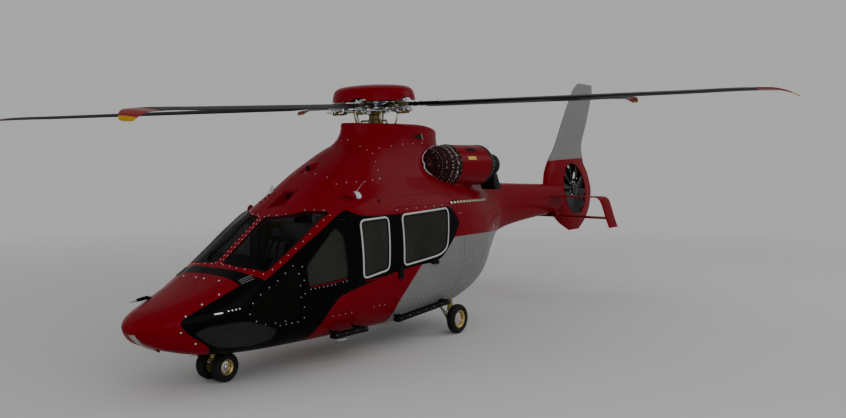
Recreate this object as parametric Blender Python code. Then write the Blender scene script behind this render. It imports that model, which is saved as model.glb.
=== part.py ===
"""Twin-engined rescue helicopter with a five-bladed rotor, a canted ducted tail fan and wheels.

Metres, +X forward, +Y to port, +Z up. Heights in the tables are above the ground; the
airframe datum lowers them so that the face of the belly hook plate is the origin.
"""
import math

import bmesh
import bpy
from mathutils import Matrix, Vector

# Clearances
FIT = 0.0003              # between pieces that touch
DOOR_GAP = 0.008          # round a door that opens
RUN_FIT = 0.0006          # round a shaft that turns in its hole

# Skins
WALL = 0.045              # cabin wall, doors, tail boom
COWL_WALL = 0.030
GLASS_RECESS = 0.004
GLASS = 0.010

# Hook plate, and the height of its face above the ground
HOOK_HEIGHT = 0.365
HOOK_PLATE = 0.30
HOOK_THICK = 0.015

# Where the body is divided
NOSE_TIP_X = 4.88
NOSE_TIP_Z = 0.95
NOSE_BACK_X = 3.40        # the nose cone lies ahead of this
NOSE_SPLIT = ((3.62, 1.80), (3.60, 1.41), (4.12, 1.14), (4.44, 0.96), (4.42, 0.86), (4.20, 0.72),
              (3.96, 0.52), (3.90, 0.10), (5.20, 0.10), (5.20, 1.80))
BOOM_JOINT_X = -3.05
BOOM_END_X = -6.50
DECK_Z = 2.36
HUMP_FRONT_X = 2.70
RING_STEPS = 3            # points for each span of a body section

# Body lines: x, keel height, side half width and height, eave half width and height,
# waist half width and height, crown height
BODY_LINES = (
    (4.80, 0.83, 0.20, 0.94, 0.17, 1.00, 0.10, 1.03, 1.04),
    (4.65, 0.71, 0.37, 0.93, 0.32, 1.04, 0.19, 1.10, 1.12),
    (4.35, 0.59, 0.56, 0.94, 0.50, 1.10, 0.31, 1.19, 1.22),
    (3.95, 0.50, 0.73, 0.97, 0.66, 1.20, 0.44, 1.32, 1.36),
    (3.45, 0.45, 0.88, 1.02, 0.79, 1.40, 0.54, 1.54, 1.59),
    (3.00, 0.43, 0.96, 1.07, 0.84, 1.66, 0.56, 1.84, 1.91),
    (2.55, 0.42, 1.01, 1.12, 0.87, 1.94, 0.58, 2.14, 2.24),
    (2.10, 0.41, 1.04, 1.16, 0.91, 2.14, 0.66, 2.34, 2.55),
    (1.40, 0.40, 1.05, 1.18, 0.97, 2.20, 0.74, 2.56, 3.01),
    (0.70, 0.39, 1.05, 1.20, 0.98, 2.20, 0.70, 2.74, 3.34),
    (0.00, 0.38, 1.05, 1.20, 0.98, 2.20, 0.66, 2.80, 3.44),
    (-0.90, 0.42, 1.03, 1.25, 0.95, 2.20, 0.62, 2.80, 3.40),
    (-1.50, 0.51, 0.98, 1.35, 0.89, 2.18, 0.55, 2.74, 3.26),
    (-2.10, 0.65, 0.88, 1.48, 0.78, 2.17, 0.46, 2.64, 3.00),
    (-2.60, 0.83, 0.72, 1.64, 0.63, 2.17, 0.36, 2.54, 2.78),
    (-3.05, 1.19, 0.53, 1.84, 0.48, 2.20, 0.27, 2.47, 2.63),
    (-3.50, 1.57, 0.41, 2.00, 0.37, 2.26, 0.22, 2.48, 2.57),
    (-4.20, 1.69, 0.35, 2.07, 0.30, 2.32, 0.18, 2.49, 2.54),
    (-5.50, 1.79, 0.29, 2.13, 0.24, 2.35, 0.14, 2.455, 2.49),
    (-6.60, 1.86, 0.24, 2.15, 0.19, 2.36, 0.11, 2.43, 2.455),
)
BILGE_OUT = 0.70          # lower corner, as shares of the side's half width
BILGE_UP = 0.11           # and of its height above the keel
BROW_OUT = 0.55           # upper corner, as shares of the waist's half width
BROW_UP = 0.80            # and of the rise from waist to crown

# Windows and doors of one side: x and height
COCKPIT_DOOR = ((2.73, 0.84), (2.73, 1.62), (2.10, 2.12), (1.96, 2.18), (1.73, 2.18), (1.73, 0.82))
COCKPIT_WINDOW = ((2.64, 1.30), (2.64, 1.58), (2.10, 2.03), (2.00, 2.07), (1.88, 1.96), (1.86, 1.34))
QUARTER_WINDOW = ((3.58, 1.10), (3.38, 1.26), (3.09, 1.41), (2.81, 1.60), (2.81, 0.90),
                  (3.32, 0.89), (3.52, 0.99))
SIDE_WINDOW = ((1.49, 2.14), (1.50, 1.29), (0.92, 1.31), (0.92, 2.15))
CABIN_DOOR = ((0.66, 2.30), (0.66, 0.80), (-1.10, 0.80), (-1.10, 2.30))
CABIN_WINDOW = ((0.50, 2.22), (0.48, 1.33), (-0.30, 1.49), (-0.60, 1.66), (-0.78, 2.02), (-0.74, 2.24))
CHIN_WINDOW = ((4.29, 0.81), (4.12, 0.91), (3.60, 0.93), (3.54, 0.87), (3.34, 0.80), (3.08, 0.76),
               (3.12, 0.60), (3.44, 0.57), (3.87, 0.61), (4.09, 0.69))
WINDSCREEN = ((3.37, 0.035), (3.35, 0.41), (3.23, 0.79), (2.03, 0.81), (2.31, 0.47), (2.47, 0.035))
HINGE_R = 0.012
HINGE_LOW = 1.00
HINGE_HIGH = 1.24
KNUCKLE = 0.07            # length of each knuckle on the shell
KNUCKLE_ROOM = 0.004      # round a knuckle, in the other piece
CORNER = 0.06             # radius of door and window corners
CORNER_STEPS = 3
CUT_INNER_Y = 0.30        # side cutters reach from here
CUT_OUTER_Y = 1.40        # to here
CUT_LOW_Z = 1.20          # windscreen cutters
CUT_HIGH_Z = 2.80

# Cabin furniture
FLOOR_Z = 0.62
FLOOR_THICK = 0.05
FLOOR_FRONT_X = 3.50
BULKHEAD_X = -1.25
PANEL_PROFILE = ((3.42, 0.00), (3.42, 0.78), (3.20, 0.84), (3.06, 0.76), (3.20, 0.34), (3.10, 0.00))
PANEL_HALF = 0.60
PILOT_SEAT = ((0.30, 0.00), (0.34, 0.34), (0.26, 0.40), (-0.10, 0.36), (-0.26, 1.00),
              (-0.22, 1.16), (-0.32, 1.18), (-0.38, 1.00), (-0.24, 0.28), (-0.20, 0.00))
PILOT_SEAT_X = 2.10
PILOT_SEAT_Y = 0.42
PILOT_SEAT_HALF = 0.24
BENCH_X = -0.76
BENCH_HALF = 0.72

# Steps below the doors: name, front x, rear x, height
STEPS = (("front", 2.10, 1.36, 0.545), ("rear", 0.62, -0.82, 0.56))
STEP_OUT = 1.02
STEP_IN = 0.88
STEP_THICK = 0.045
BRACKET_HALF = 0.03
BRACKET_IN = 0.60
BRACKET_INSET = 0.12      # from the step's ends

# Engine pods
POD_Y = 0.50
POD_Z = 2.94
POD_R = 0.37
DOME_TIP_X = -0.58
POD_FRONT_X = -1.38
POD_REAR_X = -2.40
SCREEN_WALL = 0.020
EXHAUST_R = 0.23
EXHAUST_WALL = 0.015
EXHAUST_REAR_X = -2.86
EXHAUST_INNER_X = -2.30

# Engines and main gearbox, as plain blocks
GEARBOX_HALF_X = 0.38
GEARBOX_HALF_Y = 0.30
GEARBOX_TOP = 3.10
BOSS_R = 0.18             # round the foot of the mast
BOSS_DEPTH = 0.25
ENGINE_FRONT_X = -1.44
ENGINE_REAR_X = -2.25
ENGINE_HALF = 0.20
SHAFT_HALF = 0.07

# Main rotor, turning about a mast that leans forward
MAST_TILT = math.radians(3.6)
ROTOR_Z = 3.96
ROTOR_R = 6.70
BLADES = 5
FIRST_BLADE = math.radians(18.0)
MAST_R = 0.12
MAST_LOW = -0.74          # below the blade plane
PLATE_R = 0.37
PLATE_TOP = -0.255
PLATE_THICK = 0.04
LINK_R = 0.016
LINK_RING = 0.33
HUB_R = 0.20
HUB_HALF = 0.075
ARM_HALF_WIDTH = 0.075
ARM_HALF_THICK = 0.045
ARM_R = 0.78
CAP_R = 0.70
CAP_LOW = 0.065
CAP_TOP = 0.345
CAP_WALL = 0.02
MAST_HOLE = 0.16

# Collar of the pylon round the mast: height, half length, half width
COLLAR_X = -0.44
COLLAR_LINES = ((3.10, 1.12, 0.42), (3.30, 1.13, 0.42), (3.48, 1.17, 0.45), (3.60, 1.24, 0.50),
                (3.62, 1.22, 0.48))
COLLAR_FALL = 0.13        # drop of its rear end
COLLAR_POINTS = 32

# Blade sections: radius, leading edge, trailing edge, half thickness, droop
BLADE_LINES = (
    (ARM_R, 0.070, -0.070, 0.028, 0.000),
    (ARM_R + 0.22, 0.075, -0.090, 0.026, 0.000),
    (ARM_R + 0.62, 0.095, -0.225, 0.020, 0.000),
    (ROTOR_R - 3.20, 0.095, -0.225, 0.018, 0.000),
    (ROTOR_R - 1.40, 0.095, -0.225, 0.016, 0.000),
    (ROTOR_R - 0.75, 0.135, -0.190, 0.014, 0.000),
    (ROTOR_R - 0.28, 0.105, -0.215, 0.012, 0.010),
    (ROTOR_R - 0.10, 0.030, -0.220, 0.010, 0.048),
    (ROTOR_R, -0.055, -0.215, 0.008, 0.097),
)

# Ducted fan in the fin, both leaning to starboard
FAN_X = -7.19
FAN_Y = 0.05
FAN_Z = 2.32
CANT = math.radians(9.0)
DUCT_R = 0.60
FAN_BLADES = 10
FAN_TIP_GAP = 0.012
FAN_HUB_R = 0.15
FAN_HUB_HALF = 0.07
FAN_CHORD_HALF = 0.045
FAN_BLADE_HALF = 0.008
FAN_PITCH = math.radians(35.0)
STATOR_OFFSET = -0.09     # stator to starboard of the duct's middle
FAN_OFFSET = STATOR_OFFSET + 2 * FAN_HUB_HALF + FIT
DUCT_SIDES = 48
STATOR_VANES = 11
STATOR_HALF = 0.045
VANE_HALF = 0.010

# Fin and duct body: height above the fan centre, leading edge, trailing edge, half thickness
FIN_LINES = (
    (-0.95, -6.80, -7.32, 0.030),
    (-0.70, -6.32, -7.74, 0.120),
    (-0.36, -6.00, -8.06, 0.190),
    (0.00, -5.88, -8.20, 0.210),
    (0.34, -5.98, -8.14, 0.200),
    (0.66, -6.22, -7.98, 0.150),
    (0.98, -6.60, -8.00, 0.100),
    (1.68, -7.25, -8.52, 0.080),
    (2.46, -8.04, -9.05, 0.055),
    (2.60, -8.30, -9.08, 0.030),
)

# Biplane stabiliser: half span station, height, leading edge, trailing edge, half thickness
STAB_LINES = (
    (0.15, 2.20, -5.74, -6.26, 0.030),
    (1.30, 2.22, -5.76, -6.24, 0.026),
    (1.41, 2.17, -5.80, -6.28, 0.024),
    (1.45, 2.05, -5.86, -6.32, 0.022),
    (1.48, 1.74, -6.02, -6.48, 0.020),
    (1.51, 1.54, -6.12, -6.58, 0.016),
)
LOWER_PLANE_Z = 1.75
LOWER_PLANE_FRONT = -6.06
LOWER_PLANE_REAR = -6.50
LOWER_PLANE_HALF = 0.022
STRUT_FRONT = -6.10
STRUT_REAR = -6.40
STRUT_HALF = 0.03
STRUT_TOP = 2.10          # inside the boom

# Nose gear
NOSE_STRUT_X = 3.49
NOSE_AXLE_X = 3.43
NOSE_WHEEL_Y = 0.155
NOSE_TYRE_R = 0.21
NOSE_TYRE_HALF = 0.082
NOSE_RIM_R = 0.11
NOSE_AXLE_R = 0.022
NOSE_LEG_R = 0.048
NOSE_LEG_LOW = 0.36
FORK_HUB_R = 0.042
FORK_HUB_HALF = 0.060
RIM_WEB_HALF = 0.060

# Main gear
WHEEL_SIDES = 24
MAIN_X = -1.18
MAIN_Y = 0.90
MAIN_TYRE_R = 0.255
MAIN_TYRE_HALF = 0.075
MAIN_RIM_R = 0.14
MAIN_LEG_Y = 0.74
MAIN_LEG_R = 0.050
MAIN_LEG_TOP = 0.80
MAIN_AXLE_R = 0.030
MAIN_KNUCKLE = 0.060

RED = (0.45, 0.012, 0.02, 1.0)
BLACK = (0.012, 0.013, 0.015, 1.0)
WHITE = (0.72, 0.72, 0.70, 1.0)
GREY = (0.22, 0.23, 0.24, 1.0)
STEEL = (0.55, 0.55, 0.56, 1.0)
RUBBER = (0.02, 0.02, 0.02, 1.0)
TINT = (0.03, 0.035, 0.04, 1.0)


def clear_scene():
    for item in list(bpy.data.objects):
        bpy.data.objects.remove(item, do_unlink=True)


def finish_material(name, color, rough, metal):
    material = bpy.data.materials.new(name)
    material.use_nodes = True
    shader = material.node_tree.nodes["Principled BSDF"]
    shader.inputs["Base Color"].default_value = color
    shader.inputs["Roughness"].default_value = rough
    shader.inputs["Metallic"].default_value = metal
    return material


def make_empty(name, place, turn, parent=None):
    empty = bpy.data.objects.new(name, None)
    bpy.context.scene.collection.objects.link(empty)
    empty.location = place
    empty.rotation_euler = turn
    empty.parent = parent
    return empty


def to_object(name, shape, parent, place=(0.0, 0.0, 0.0)):
    """Make an object of a bmesh; place is its origin, in the parent's space."""
    bmesh.ops.translate(shape, verts=shape.verts, vec=-Vector(place))
    bmesh.ops.recalc_face_normals(shape, faces=shape.faces)
    mesh = bpy.data.meshes.new(name)
    shape.to_mesh(mesh)
    shape.free()
    item = bpy.data.objects.new(name, mesh)
    bpy.context.scene.collection.objects.link(item)
    item.parent = parent
    item.location = place
    return item


def combine(item, tool, operation="DIFFERENCE", keep=False):
    """Cut, join or intersect an object with a tool object, and keep the result as its mesh."""
    modifier = item.modifiers.new("combine", "BOOLEAN")
    modifier.operation = operation
    modifier.solver = "EXACT"
    modifier.object = tool
    bpy.context.view_layer.update()
    graph = bpy.context.evaluated_depsgraph_get()
    mesh = bpy.data.meshes.new_from_object(item.evaluated_get(graph))
    item.modifiers.clear()
    old = item.data
    item.data = mesh
    bpy.data.meshes.remove(old)
    if not keep:
        bpy.data.objects.remove(tool, do_unlink=True)
    return item


def dress(item, color, rough=0.4, metal=0.0, sharp=35.0):
    """Give a finished piece its own material, and smooth shading between sharp edges."""
    item.data.materials.clear()
    item.data.materials.append(finish_material(item.name, color, rough, metal))
    for face in item.data.polygons:
        face.material_index = 0
    item.data.shade_smooth()
    item.data.set_sharp_from_angle(angle=math.radians(sharp))
    return item


# Curves and lofts

def slopes(values, spots):
    """Tangents that follow the values without overshoot."""
    steps = [(values[i + 1] - values[i]) / (spots[i + 1] - spots[i]) for i in range(len(spots) - 1)]
    inner = [2 * a * b / (a + b) if a * b > 0 else 0.0 for a, b in zip(steps, steps[1:])]
    return [steps[0]] + inner + [steps[-1]]


def read_line(spots, values, tangents, at):
    """Value of a smooth line at one spot."""
    i = 0
    while i < len(spots) - 2 and at > spots[i + 1]:
        i += 1
    span = spots[i + 1] - spots[i]
    t = (at - spots[i]) / span
    a, b = values[i], values[i + 1]
    return (a * (1 + 2 * t) * (1 - t) ** 2 + tangents[i] * span * t * (1 - t) ** 2
            + b * t * t * (3 - 2 * t) + tangents[i + 1] * span * t * t * (t - 1))


def along(x):
    """Distance down the body, opened out at the round nose."""
    return math.sqrt(max(NOSE_TIP_X - x, 0.0))


BODY_SPOTS = [0.0] + [along(row[0]) for row in BODY_LINES]
BODY_TIP = (NOSE_TIP_Z, 0.0, NOSE_TIP_Z, 0.0, NOSE_TIP_Z, 0.0, NOSE_TIP_Z, NOSE_TIP_Z)
BODY_COLUMNS = [list(column) for column in zip(BODY_TIP, *(row[1:] for row in BODY_LINES))]
BODY_SLOPES = [slopes(column, BODY_SPOTS) for column in BODY_COLUMNS]


def rounded_loop(points, steps):
    """Smooth closed curve through a list of points."""
    count = len(points)
    loop = []
    for i in range(count):
        a, b, c, d = (points[(i + k) % count] for k in (-1, 0, 1, 2))
        for step in range(steps):
            t = step / steps
            loop.append(0.5 * (2 * b + (c - a) * t + (2 * a - 5 * b + 4 * c - d) * t * t
                               + (3 * b - a - 3 * c + d) * t ** 3))
    return loop


def body_section(x, depth=0.0, steps=RING_STEPS):
    """Ring of the body at x, drawn in by a depth."""
    at = along(x)
    keel, side_w, side_z, eave_w, eave_z, waist_w, waist_z, crown = (
        read_line(BODY_SPOTS, column, tangent, at)
        for column, tangent in zip(BODY_COLUMNS, BODY_SLOPES))
    half = (
        Vector((BILGE_OUT * side_w, keel + BILGE_UP * (side_z - keel))),
        Vector((side_w, side_z)),
        Vector((eave_w, eave_z)),
        Vector((waist_w, waist_z)),
        Vector((BROW_OUT * waist_w, waist_z + BROW_UP * (crown - waist_z))),
    )
    mirrored = [Vector((-point.x, point.y)) for point in reversed(half)]
    loop = rounded_loop([Vector((0.0, keel)), *half, Vector((0.0, crown)), *mirrored], steps)
    ring = []
    count = len(loop)
    for i, point in enumerate(loop):
        run = (loop[(i + 1) % count] - loop[i - 1]).normalized()
        inward = Vector((-run.y, run.x))
        moved = point + inward * depth
        ring.append(Vector((x, moved.x, moved.y)))
    return ring


def loft(rings, shape=None):
    """Closed solid through rings of equal length, with flat ends."""
    shape = shape or bmesh.new()
    rows = [[shape.verts.new(point) for point in ring] for ring in rings]
    count = len(rows[0])
    for row, after in zip(rows, rows[1:]):
        for i in range(count):
            j = (i + 1) % count
            shape.faces.new((row[i], row[j], after[j], after[i]))
    shape.faces.new(reversed(rows[0]))
    shape.faces.new(rows[-1])
    bmesh.ops.triangulate(shape, faces=shape.faces)
    return shape


def split_faces(item):
    """Divide a piece's faces into triangles, for a clean cut later."""
    shape = bmesh.new()
    shape.from_mesh(item.data)
    bmesh.ops.triangulate(shape, faces=shape.faces)
    shape.to_mesh(item.data)
    shape.free()
    return item


def spread(front, back, step):
    count = max(2, round(abs(front - back) / step) + 1)
    return [front + (back - front) * i / (count - 1) for i in range(count)]


def body_stations(front, back):
    """Places of the body's rings between two ends, close together at the nose."""
    fixed = sorted([row[0] for row in BODY_LINES] + [BOOM_END_X], reverse=True)
    places = [front] + [x for x in fixed if back < x < front] + [back]
    full = []
    for a, b in zip(places, places[1:]):
        full += spread(a, b, 0.70)[:-1]
    return full + [back]


def body_solid(name, front, back, depth=0.0):
    """The body's outer form between two ends, drawn in by a depth."""
    return to_object(name, loft([body_section(x, depth) for x in body_stations(front, back)]), DATUM)


def box(name, low, high, parent=None):
    shape = bmesh.new()
    bmesh.ops.create_cube(shape, size=1.0)
    low, high = Vector(low), Vector(high)
    bmesh.ops.scale(shape, verts=shape.verts, vec=high - low)
    bmesh.ops.translate(shape, verts=shape.verts, vec=(low + high) / 2)
    return to_object(name, shape, parent or DATUM)


def inscribed(radius, sides):
    """Radius of the circle inside a many-sided bore."""
    return radius * math.cos(math.pi / sides)


def shaft_hole(radius, sides=20):
    """Radius of a bore in which a shaft of many sides can turn."""
    return (radius + RUN_FIT) / math.cos(math.pi / sides)


def rod(name, radius, start, end, parent=None, sides=20):
    """Cylinder between two points."""
    start, end = Vector(start), Vector(end)
    run = end - start
    shape = bmesh.new()
    turn = run.to_track_quat("Z", "Y").to_matrix().to_4x4()
    bmesh.ops.create_cone(shape, cap_ends=True, segments=sides, radius1=radius, radius2=radius,
                          depth=run.length, matrix=Matrix.Translation((start + end) / 2) @ turn)
    return to_object(name, shape, parent or DATUM)


def turned(name, profile, parent, place=(0.0, 0.0, 0.0), turn=None, sides=32):
    """Solid of revolution about Z through a closed profile of radius and height."""
    shape = bmesh.new()
    rows = []
    for i in range(sides):
        angle = 2 * math.pi * i / sides
        rows.append([shape.verts.new((r * math.cos(angle), r * math.sin(angle), z)) for r, z in profile])
    count = len(profile)
    for i in range(sides):
        row, after = rows[i], rows[(i + 1) % sides]
        for j in range(count):
            k = (j + 1) % count
            shape.faces.new((row[j], after[j], after[k], row[k]))
    bmesh.ops.remove_doubles(shape, verts=shape.verts, dist=1e-6)
    if turn:
        bmesh.ops.transform(shape, matrix=turn, verts=shape.verts)
    bmesh.ops.translate(shape, verts=shape.verts, vec=place)
    return to_object(name, shape, parent, place)


def soften(points, radius, steps):
    """Outline with its corners rounded."""
    points = [Vector(point) for point in points]
    outline = []
    for i, corner in enumerate(points):
        back = (points[i - 1] - corner)
        ahead = (points[(i + 1) % len(points)] - corner)
        reach = min(radius, 0.4 * back.length, 0.4 * ahead.length)
        start = corner + back.normalized() * reach
        end = corner + ahead.normalized() * reach
        for step in range(steps + 1):
            t = step / steps
            outline.append((1 - t) ** 2 * start + 2 * t * (1 - t) * corner + t * t * end)
    return outline


def grow(outline, distance):
    """Outline moved outwards by a distance."""
    area = sum(a.x * b.y - b.x * a.y for a, b in zip(outline, outline[1:] + outline[:1]))
    side = 1.0 if area > 0 else -1.0
    moved = []
    for i, point in enumerate(outline):
        before = (point - outline[i - 1]).normalized()
        after = (outline[(i + 1) % len(outline)] - point).normalized()
        out_a = Vector((before.y, -before.x)) * side
        out_b = Vector((after.y, -after.x)) * side
        bisector = (out_a + out_b).normalized()
        moved.append(point + bisector * (distance / max(bisector.dot(out_a), 0.5)))
    return moved


def prism(name, outline, low, high, axis, parent=None):
    """Outline extruded along Y (from x and height) or along Z (from x and y)."""
    shape = bmesh.new()
    ends = []
    for reach in (low, high):
        if axis == "Y":
            ends.append([shape.verts.new((p.x, reach, p.y)) for p in outline])
        else:
            ends.append([shape.verts.new((p.x, p.y, reach)) for p in outline])
    count = len(outline)
    shape.faces.new(ends[0])
    shape.faces.new(reversed(ends[1]))
    for i in range(count):
        j = (i + 1) % count
        shape.faces.new((ends[0][i], ends[1][i], ends[1][j], ends[0][j]))
    return to_object(name, shape, parent or DATUM)


def side_tool(points, side, distance=0.0, corner=CORNER):
    """Cutter through one side of the body: side is 1 for port, -1 for starboard."""
    outline = grow(soften(points, corner, CORNER_STEPS), distance)
    low, high = sorted((side * CUT_INNER_Y, side * CUT_OUTER_Y))
    return prism("tool", outline, low, high, "Y")


def top_tool(points, side, distance=0.0):
    outline = grow(soften([(x, side * y) for x, y in points], CORNER, CORNER_STEPS), distance)
    return prism("tool", outline, CUT_LOW_Z, CUT_HIGH_Z, "Z")


def wing(rows, thick_axis):
    """Loft of lens-shaped sections; each row gives nose, tail, middle and the thickness vector."""
    shares = ((0.0, 0.0), (0.06, 0.62), (0.25, 1.0), (0.55, 0.85), (0.85, 0.38), (1.0, 0.05))
    rings = []
    for nose, tail, half in rows:
        up = thick_axis if isinstance(thick_axis, Vector) else thick_axis(nose)
        top = [nose.lerp(tail, along_chord) + up * (half * share) for along_chord, share in shares]
        low = [nose.lerp(tail, along_chord) - up * (half * share) for along_chord, share in shares[1:]]
        rings.append(top + list(reversed(low)))
    return loft(rings)


# Airframe

def skin(name, front, back, outer, inner):
    """Body skin between two depths, closed at both ends."""
    shell = body_solid(name, front, back, outer)
    core = body_solid("core", front - (inner - outer), back + (inner - outer), inner)
    return split_faces(combine(shell, core))


def below_deck(item, height, keep_below=True):
    low, high = (height, 2 * ROTOR_Z) if keep_below else (0.0, height)
    return combine(item, box("tool", (BOOM_END_X, -CUT_OUTER_Y, low), (NOSE_TIP_X, CUT_OUTER_Y, high)))


def nose_tool(distance):
    """The room of the nose cone, grown by a distance."""
    outline = grow([Vector(point) for point in NOSE_SPLIT], distance)
    return prism("tool", outline, -CUT_OUTER_Y, CUT_OUTER_Y, "Y")


def make_cabin():
    front = BODY_LINES[0][0]
    shell = below_deck(body_solid("cabin_shell", front, BOOM_JOINT_X), DECK_Z)
    combine(shell, nose_tool(FIT))
    core = below_deck(body_solid("core", front, BOOM_JOINT_X + WALL, WALL), DECK_Z - WALL)
    combine(core, nose_tool(WALL))
    combine(shell, core)
    doors = {}
    for side, word in ((1, "port"), (-1, "starboard")):
        for name, outline, gap in (("cockpit_door", COCKPIT_DOOR, DOOR_GAP),
                                   ("cabin_door", CABIN_DOOR, FIT)):
            door = shell.copy()
            door.data = shell.data.copy()
            bpy.context.scene.collection.objects.link(door)
            door.name = f"{name}_{word}"
            doors[f"{name}_{word}"] = (door, outline, side, gap)
    for door, outline, side, gap in doors.values():
        combine(door, side_tool(outline, side), "INTERSECT")
        combine(shell, side_tool(outline, side, gap))
    for side in (1, -1):
        for outline in (QUARTER_WINDOW, SIDE_WINDOW, CHIN_WINDOW):
            combine(shell, side_tool(outline, side))
        combine(shell, top_tool(WINDSCREEN, side))
        word = "port" if side > 0 else "starboard"
        combine(doors[f"cockpit_door_{word}"][0], side_tool(COCKPIT_WINDOW, side))
        combine(doors[f"cabin_door_{word}"][0], side_tool(CABIN_WINDOW, side))
    for side, word in ((1, "port"), (-1, "starboard")):
        fit_hinge(shell, doors[f"cockpit_door_{word}"][0], side)
    dress(shell, RED, 0.25)
    for word in ("port", "starboard"):
        cabin_door = dress(doors[f"cabin_door_{word}"][0], RED, 0.25)
        cockpit_door = dress(doors[f"cockpit_door_{word}"][0], BLACK, 0.25)
        hang_on_hinge(cockpit_door, 1 if word == "port" else -1)
        cabin_door.data.update()


def hinge_rod(side, radius, low, high):
    place = hinge_point(side)
    return rod("tool", radius, (place.x, place.y, low), (place.x, place.y, high), None, 12)


def fit_hinge(shell, door, side):
    """Knuckles on the hinge axis: the door's one between the shell's two."""
    low, high = HINGE_LOW + KNUCKLE, HINGE_HIGH - KNUCKLE
    wide = HINGE_R + KNUCKLE_ROOM
    combine(shell, hinge_rod(side, wide, low - FIT, high + FIT))
    for start, end in ((HINGE_LOW, low - FIT), (high + FIT, HINGE_HIGH)):
        combine(shell, hinge_rod(side, HINGE_R, start, end), "UNION")
    combine(door, hinge_rod(side, wide, HINGE_LOW - KNUCKLE_ROOM, low))
    combine(door, hinge_rod(side, wide, high, HINGE_HIGH + KNUCKLE_ROOM))
    combine(door, hinge_rod(side, HINGE_R, low, high), "UNION")


def hinge_point(side):
    """On the body's side, in the middle of the gap ahead of the cockpit door."""
    front = COCKPIT_DOOR[0][0] + DOOR_GAP / 2
    reach = max(point.y for point in body_section(front))
    middle = (COCKPIT_DOOR[0][1] + COCKPIT_DOOR[1][1]) / 2
    return Vector((front, side * reach, middle))


def hang_on_hinge(item, side):
    """Move a piece's origin to the cockpit door's hinge axis."""
    place = hinge_point(side)
    item.data.transform(Matrix.Translation(-place))
    item.location = place


def make_glass():
    panes = (("cockpit_door_glass", COCKPIT_WINDOW, side_tool), ("quarter_glass", QUARTER_WINDOW, side_tool),
             ("side_glass", SIDE_WINDOW, side_tool), ("cabin_door_glass", CABIN_WINDOW, side_tool),
             ("chin_glass", CHIN_WINDOW, side_tool), ("windscreen", WINDSCREEN, top_tool))
    sheet = skin("sheet", BODY_LINES[1][0], BULKHEAD_X, GLASS_RECESS, GLASS_RECESS + GLASS)
    for side, word in ((1, "port"), (-1, "starboard")):
        for name, outline, tool in panes:
            pane = sheet.copy()
            pane.data = sheet.data.copy()
            bpy.context.scene.collection.objects.link(pane)
            pane.name = f"{name}_{word}"
            combine(pane, tool(outline, side, -FIT), "INTERSECT")
            dress(pane, TINT, 0.05)
            if name == "cockpit_door_glass":
                hang_on_hinge(pane, side)
    bpy.data.objects.remove(sheet, do_unlink=True)


def make_nose():
    tips = [NOSE_TIP_X - 0.0015, NOSE_TIP_X - 0.012, NOSE_TIP_X - 0.035]
    places = body_stations(BODY_LINES[0][0], NOSE_BACK_X)
    nose = to_object("nose_cone", loft([body_section(x) for x in tips + places]), DATUM)
    inner = places[1:] + [NOSE_BACK_X - 0.02]
    combine(nose, to_object("core", loft([body_section(x, COWL_WALL) for x in inner]), DATUM))
    combine(nose, nose_tool(0.0), "INTERSECT")
    dress(nose, RED, 0.25)


def pod_solid(name, side, radius, front, back, parent=None):
    return rod(name, radius, (front, side * POD_Y, POD_Z), (back, side * POD_Y, POD_Z), parent, 28)


def hump_solid(name, depth):
    return below_deck(body_solid(name, HUMP_FRONT_X, BOOM_JOINT_X + max(depth, 0.0), depth),
                      DECK_Z + (FIT if depth < 0.01 else -0.05), keep_below=False)


def collar_solid(depth):
    """Flared oval collar on top of the hump, drawn in by a depth."""
    rings = []
    for height, length, width in COLLAR_LINES:
        ring = []
        for i in range(COLLAR_POINTS):
            angle = 2 * math.pi * i / COLLAR_POINTS
            x = (length - depth) * math.cos(angle)
            fall = COLLAR_FALL * max(0.0, -x / length) ** 2
            ring.append((COLLAR_X + x, (width - depth) * math.sin(angle), height - depth - fall))
        rings.append(ring)
    return to_object("collar", loft(rings), DATUM)


def make_cowling():
    cowl = hump_solid("upper_cowling", 0.0)
    for side in (1, -1):
        combine(cowl, pod_solid("pod", side, POD_R, POD_FRONT_X, POD_REAR_X), "UNION")
    combine(cowl, collar_solid(0.0), "UNION")
    core = hump_solid("core", COWL_WALL)
    combine(core, collar_solid(COWL_WALL), "UNION")
    for side in (1, -1):
        pod = pod_solid("pod", side, POD_R - COWL_WALL, POD_FRONT_X - COWL_WALL, POD_REAR_X + COWL_WALL)
        combine(core, pod, "UNION")
    combine(cowl, core)
    lean = Vector((math.sin(MAST_TILT), 0.0, math.cos(MAST_TILT)))
    centre = Vector((0.0, 0.0, ROTOR_Z))
    combine(cowl, rod("tool", MAST_HOLE, centre - lean * 0.9, centre))
    for side in (1, -1):
        combine(cowl, pod_solid("tool", side, EXHAUST_R + FIT, POD_REAR_X + 0.2, POD_REAR_X - 0.1))
    dress(cowl, RED, 0.25)


def make_intakes():
    """Domed screens ahead of the engine pods, seated on the cowling."""
    for side, word in ((1, "port"), (-1, "starboard")):
        length = DOME_TIP_X - POD_FRONT_X
        profile = []
        for radius, reach in ((POD_R, length), (POD_R - SCREEN_WALL, length - SCREEN_WALL)):
            arc = [(radius * math.cos(a), reach * math.sin(a))
                   for a in (math.radians(18 * i) for i in range(6))]
            profile += arc if radius == POD_R else list(reversed(arc))
        turn = Matrix.Rotation(math.radians(90.0), 4, "Y")
        dome = turned(f"intake_screen_{word}", profile, DATUM, (POD_FRONT_X + FIT, side * POD_Y, POD_Z),
                      turn, 28)
        combine(dome, body_solid("tool", NOSE_BACK_X, BOOM_JOINT_X, -FIT))
        combine(dome, collar_solid(-FIT))
        dress(dome, BLACK, 0.5)


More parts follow.
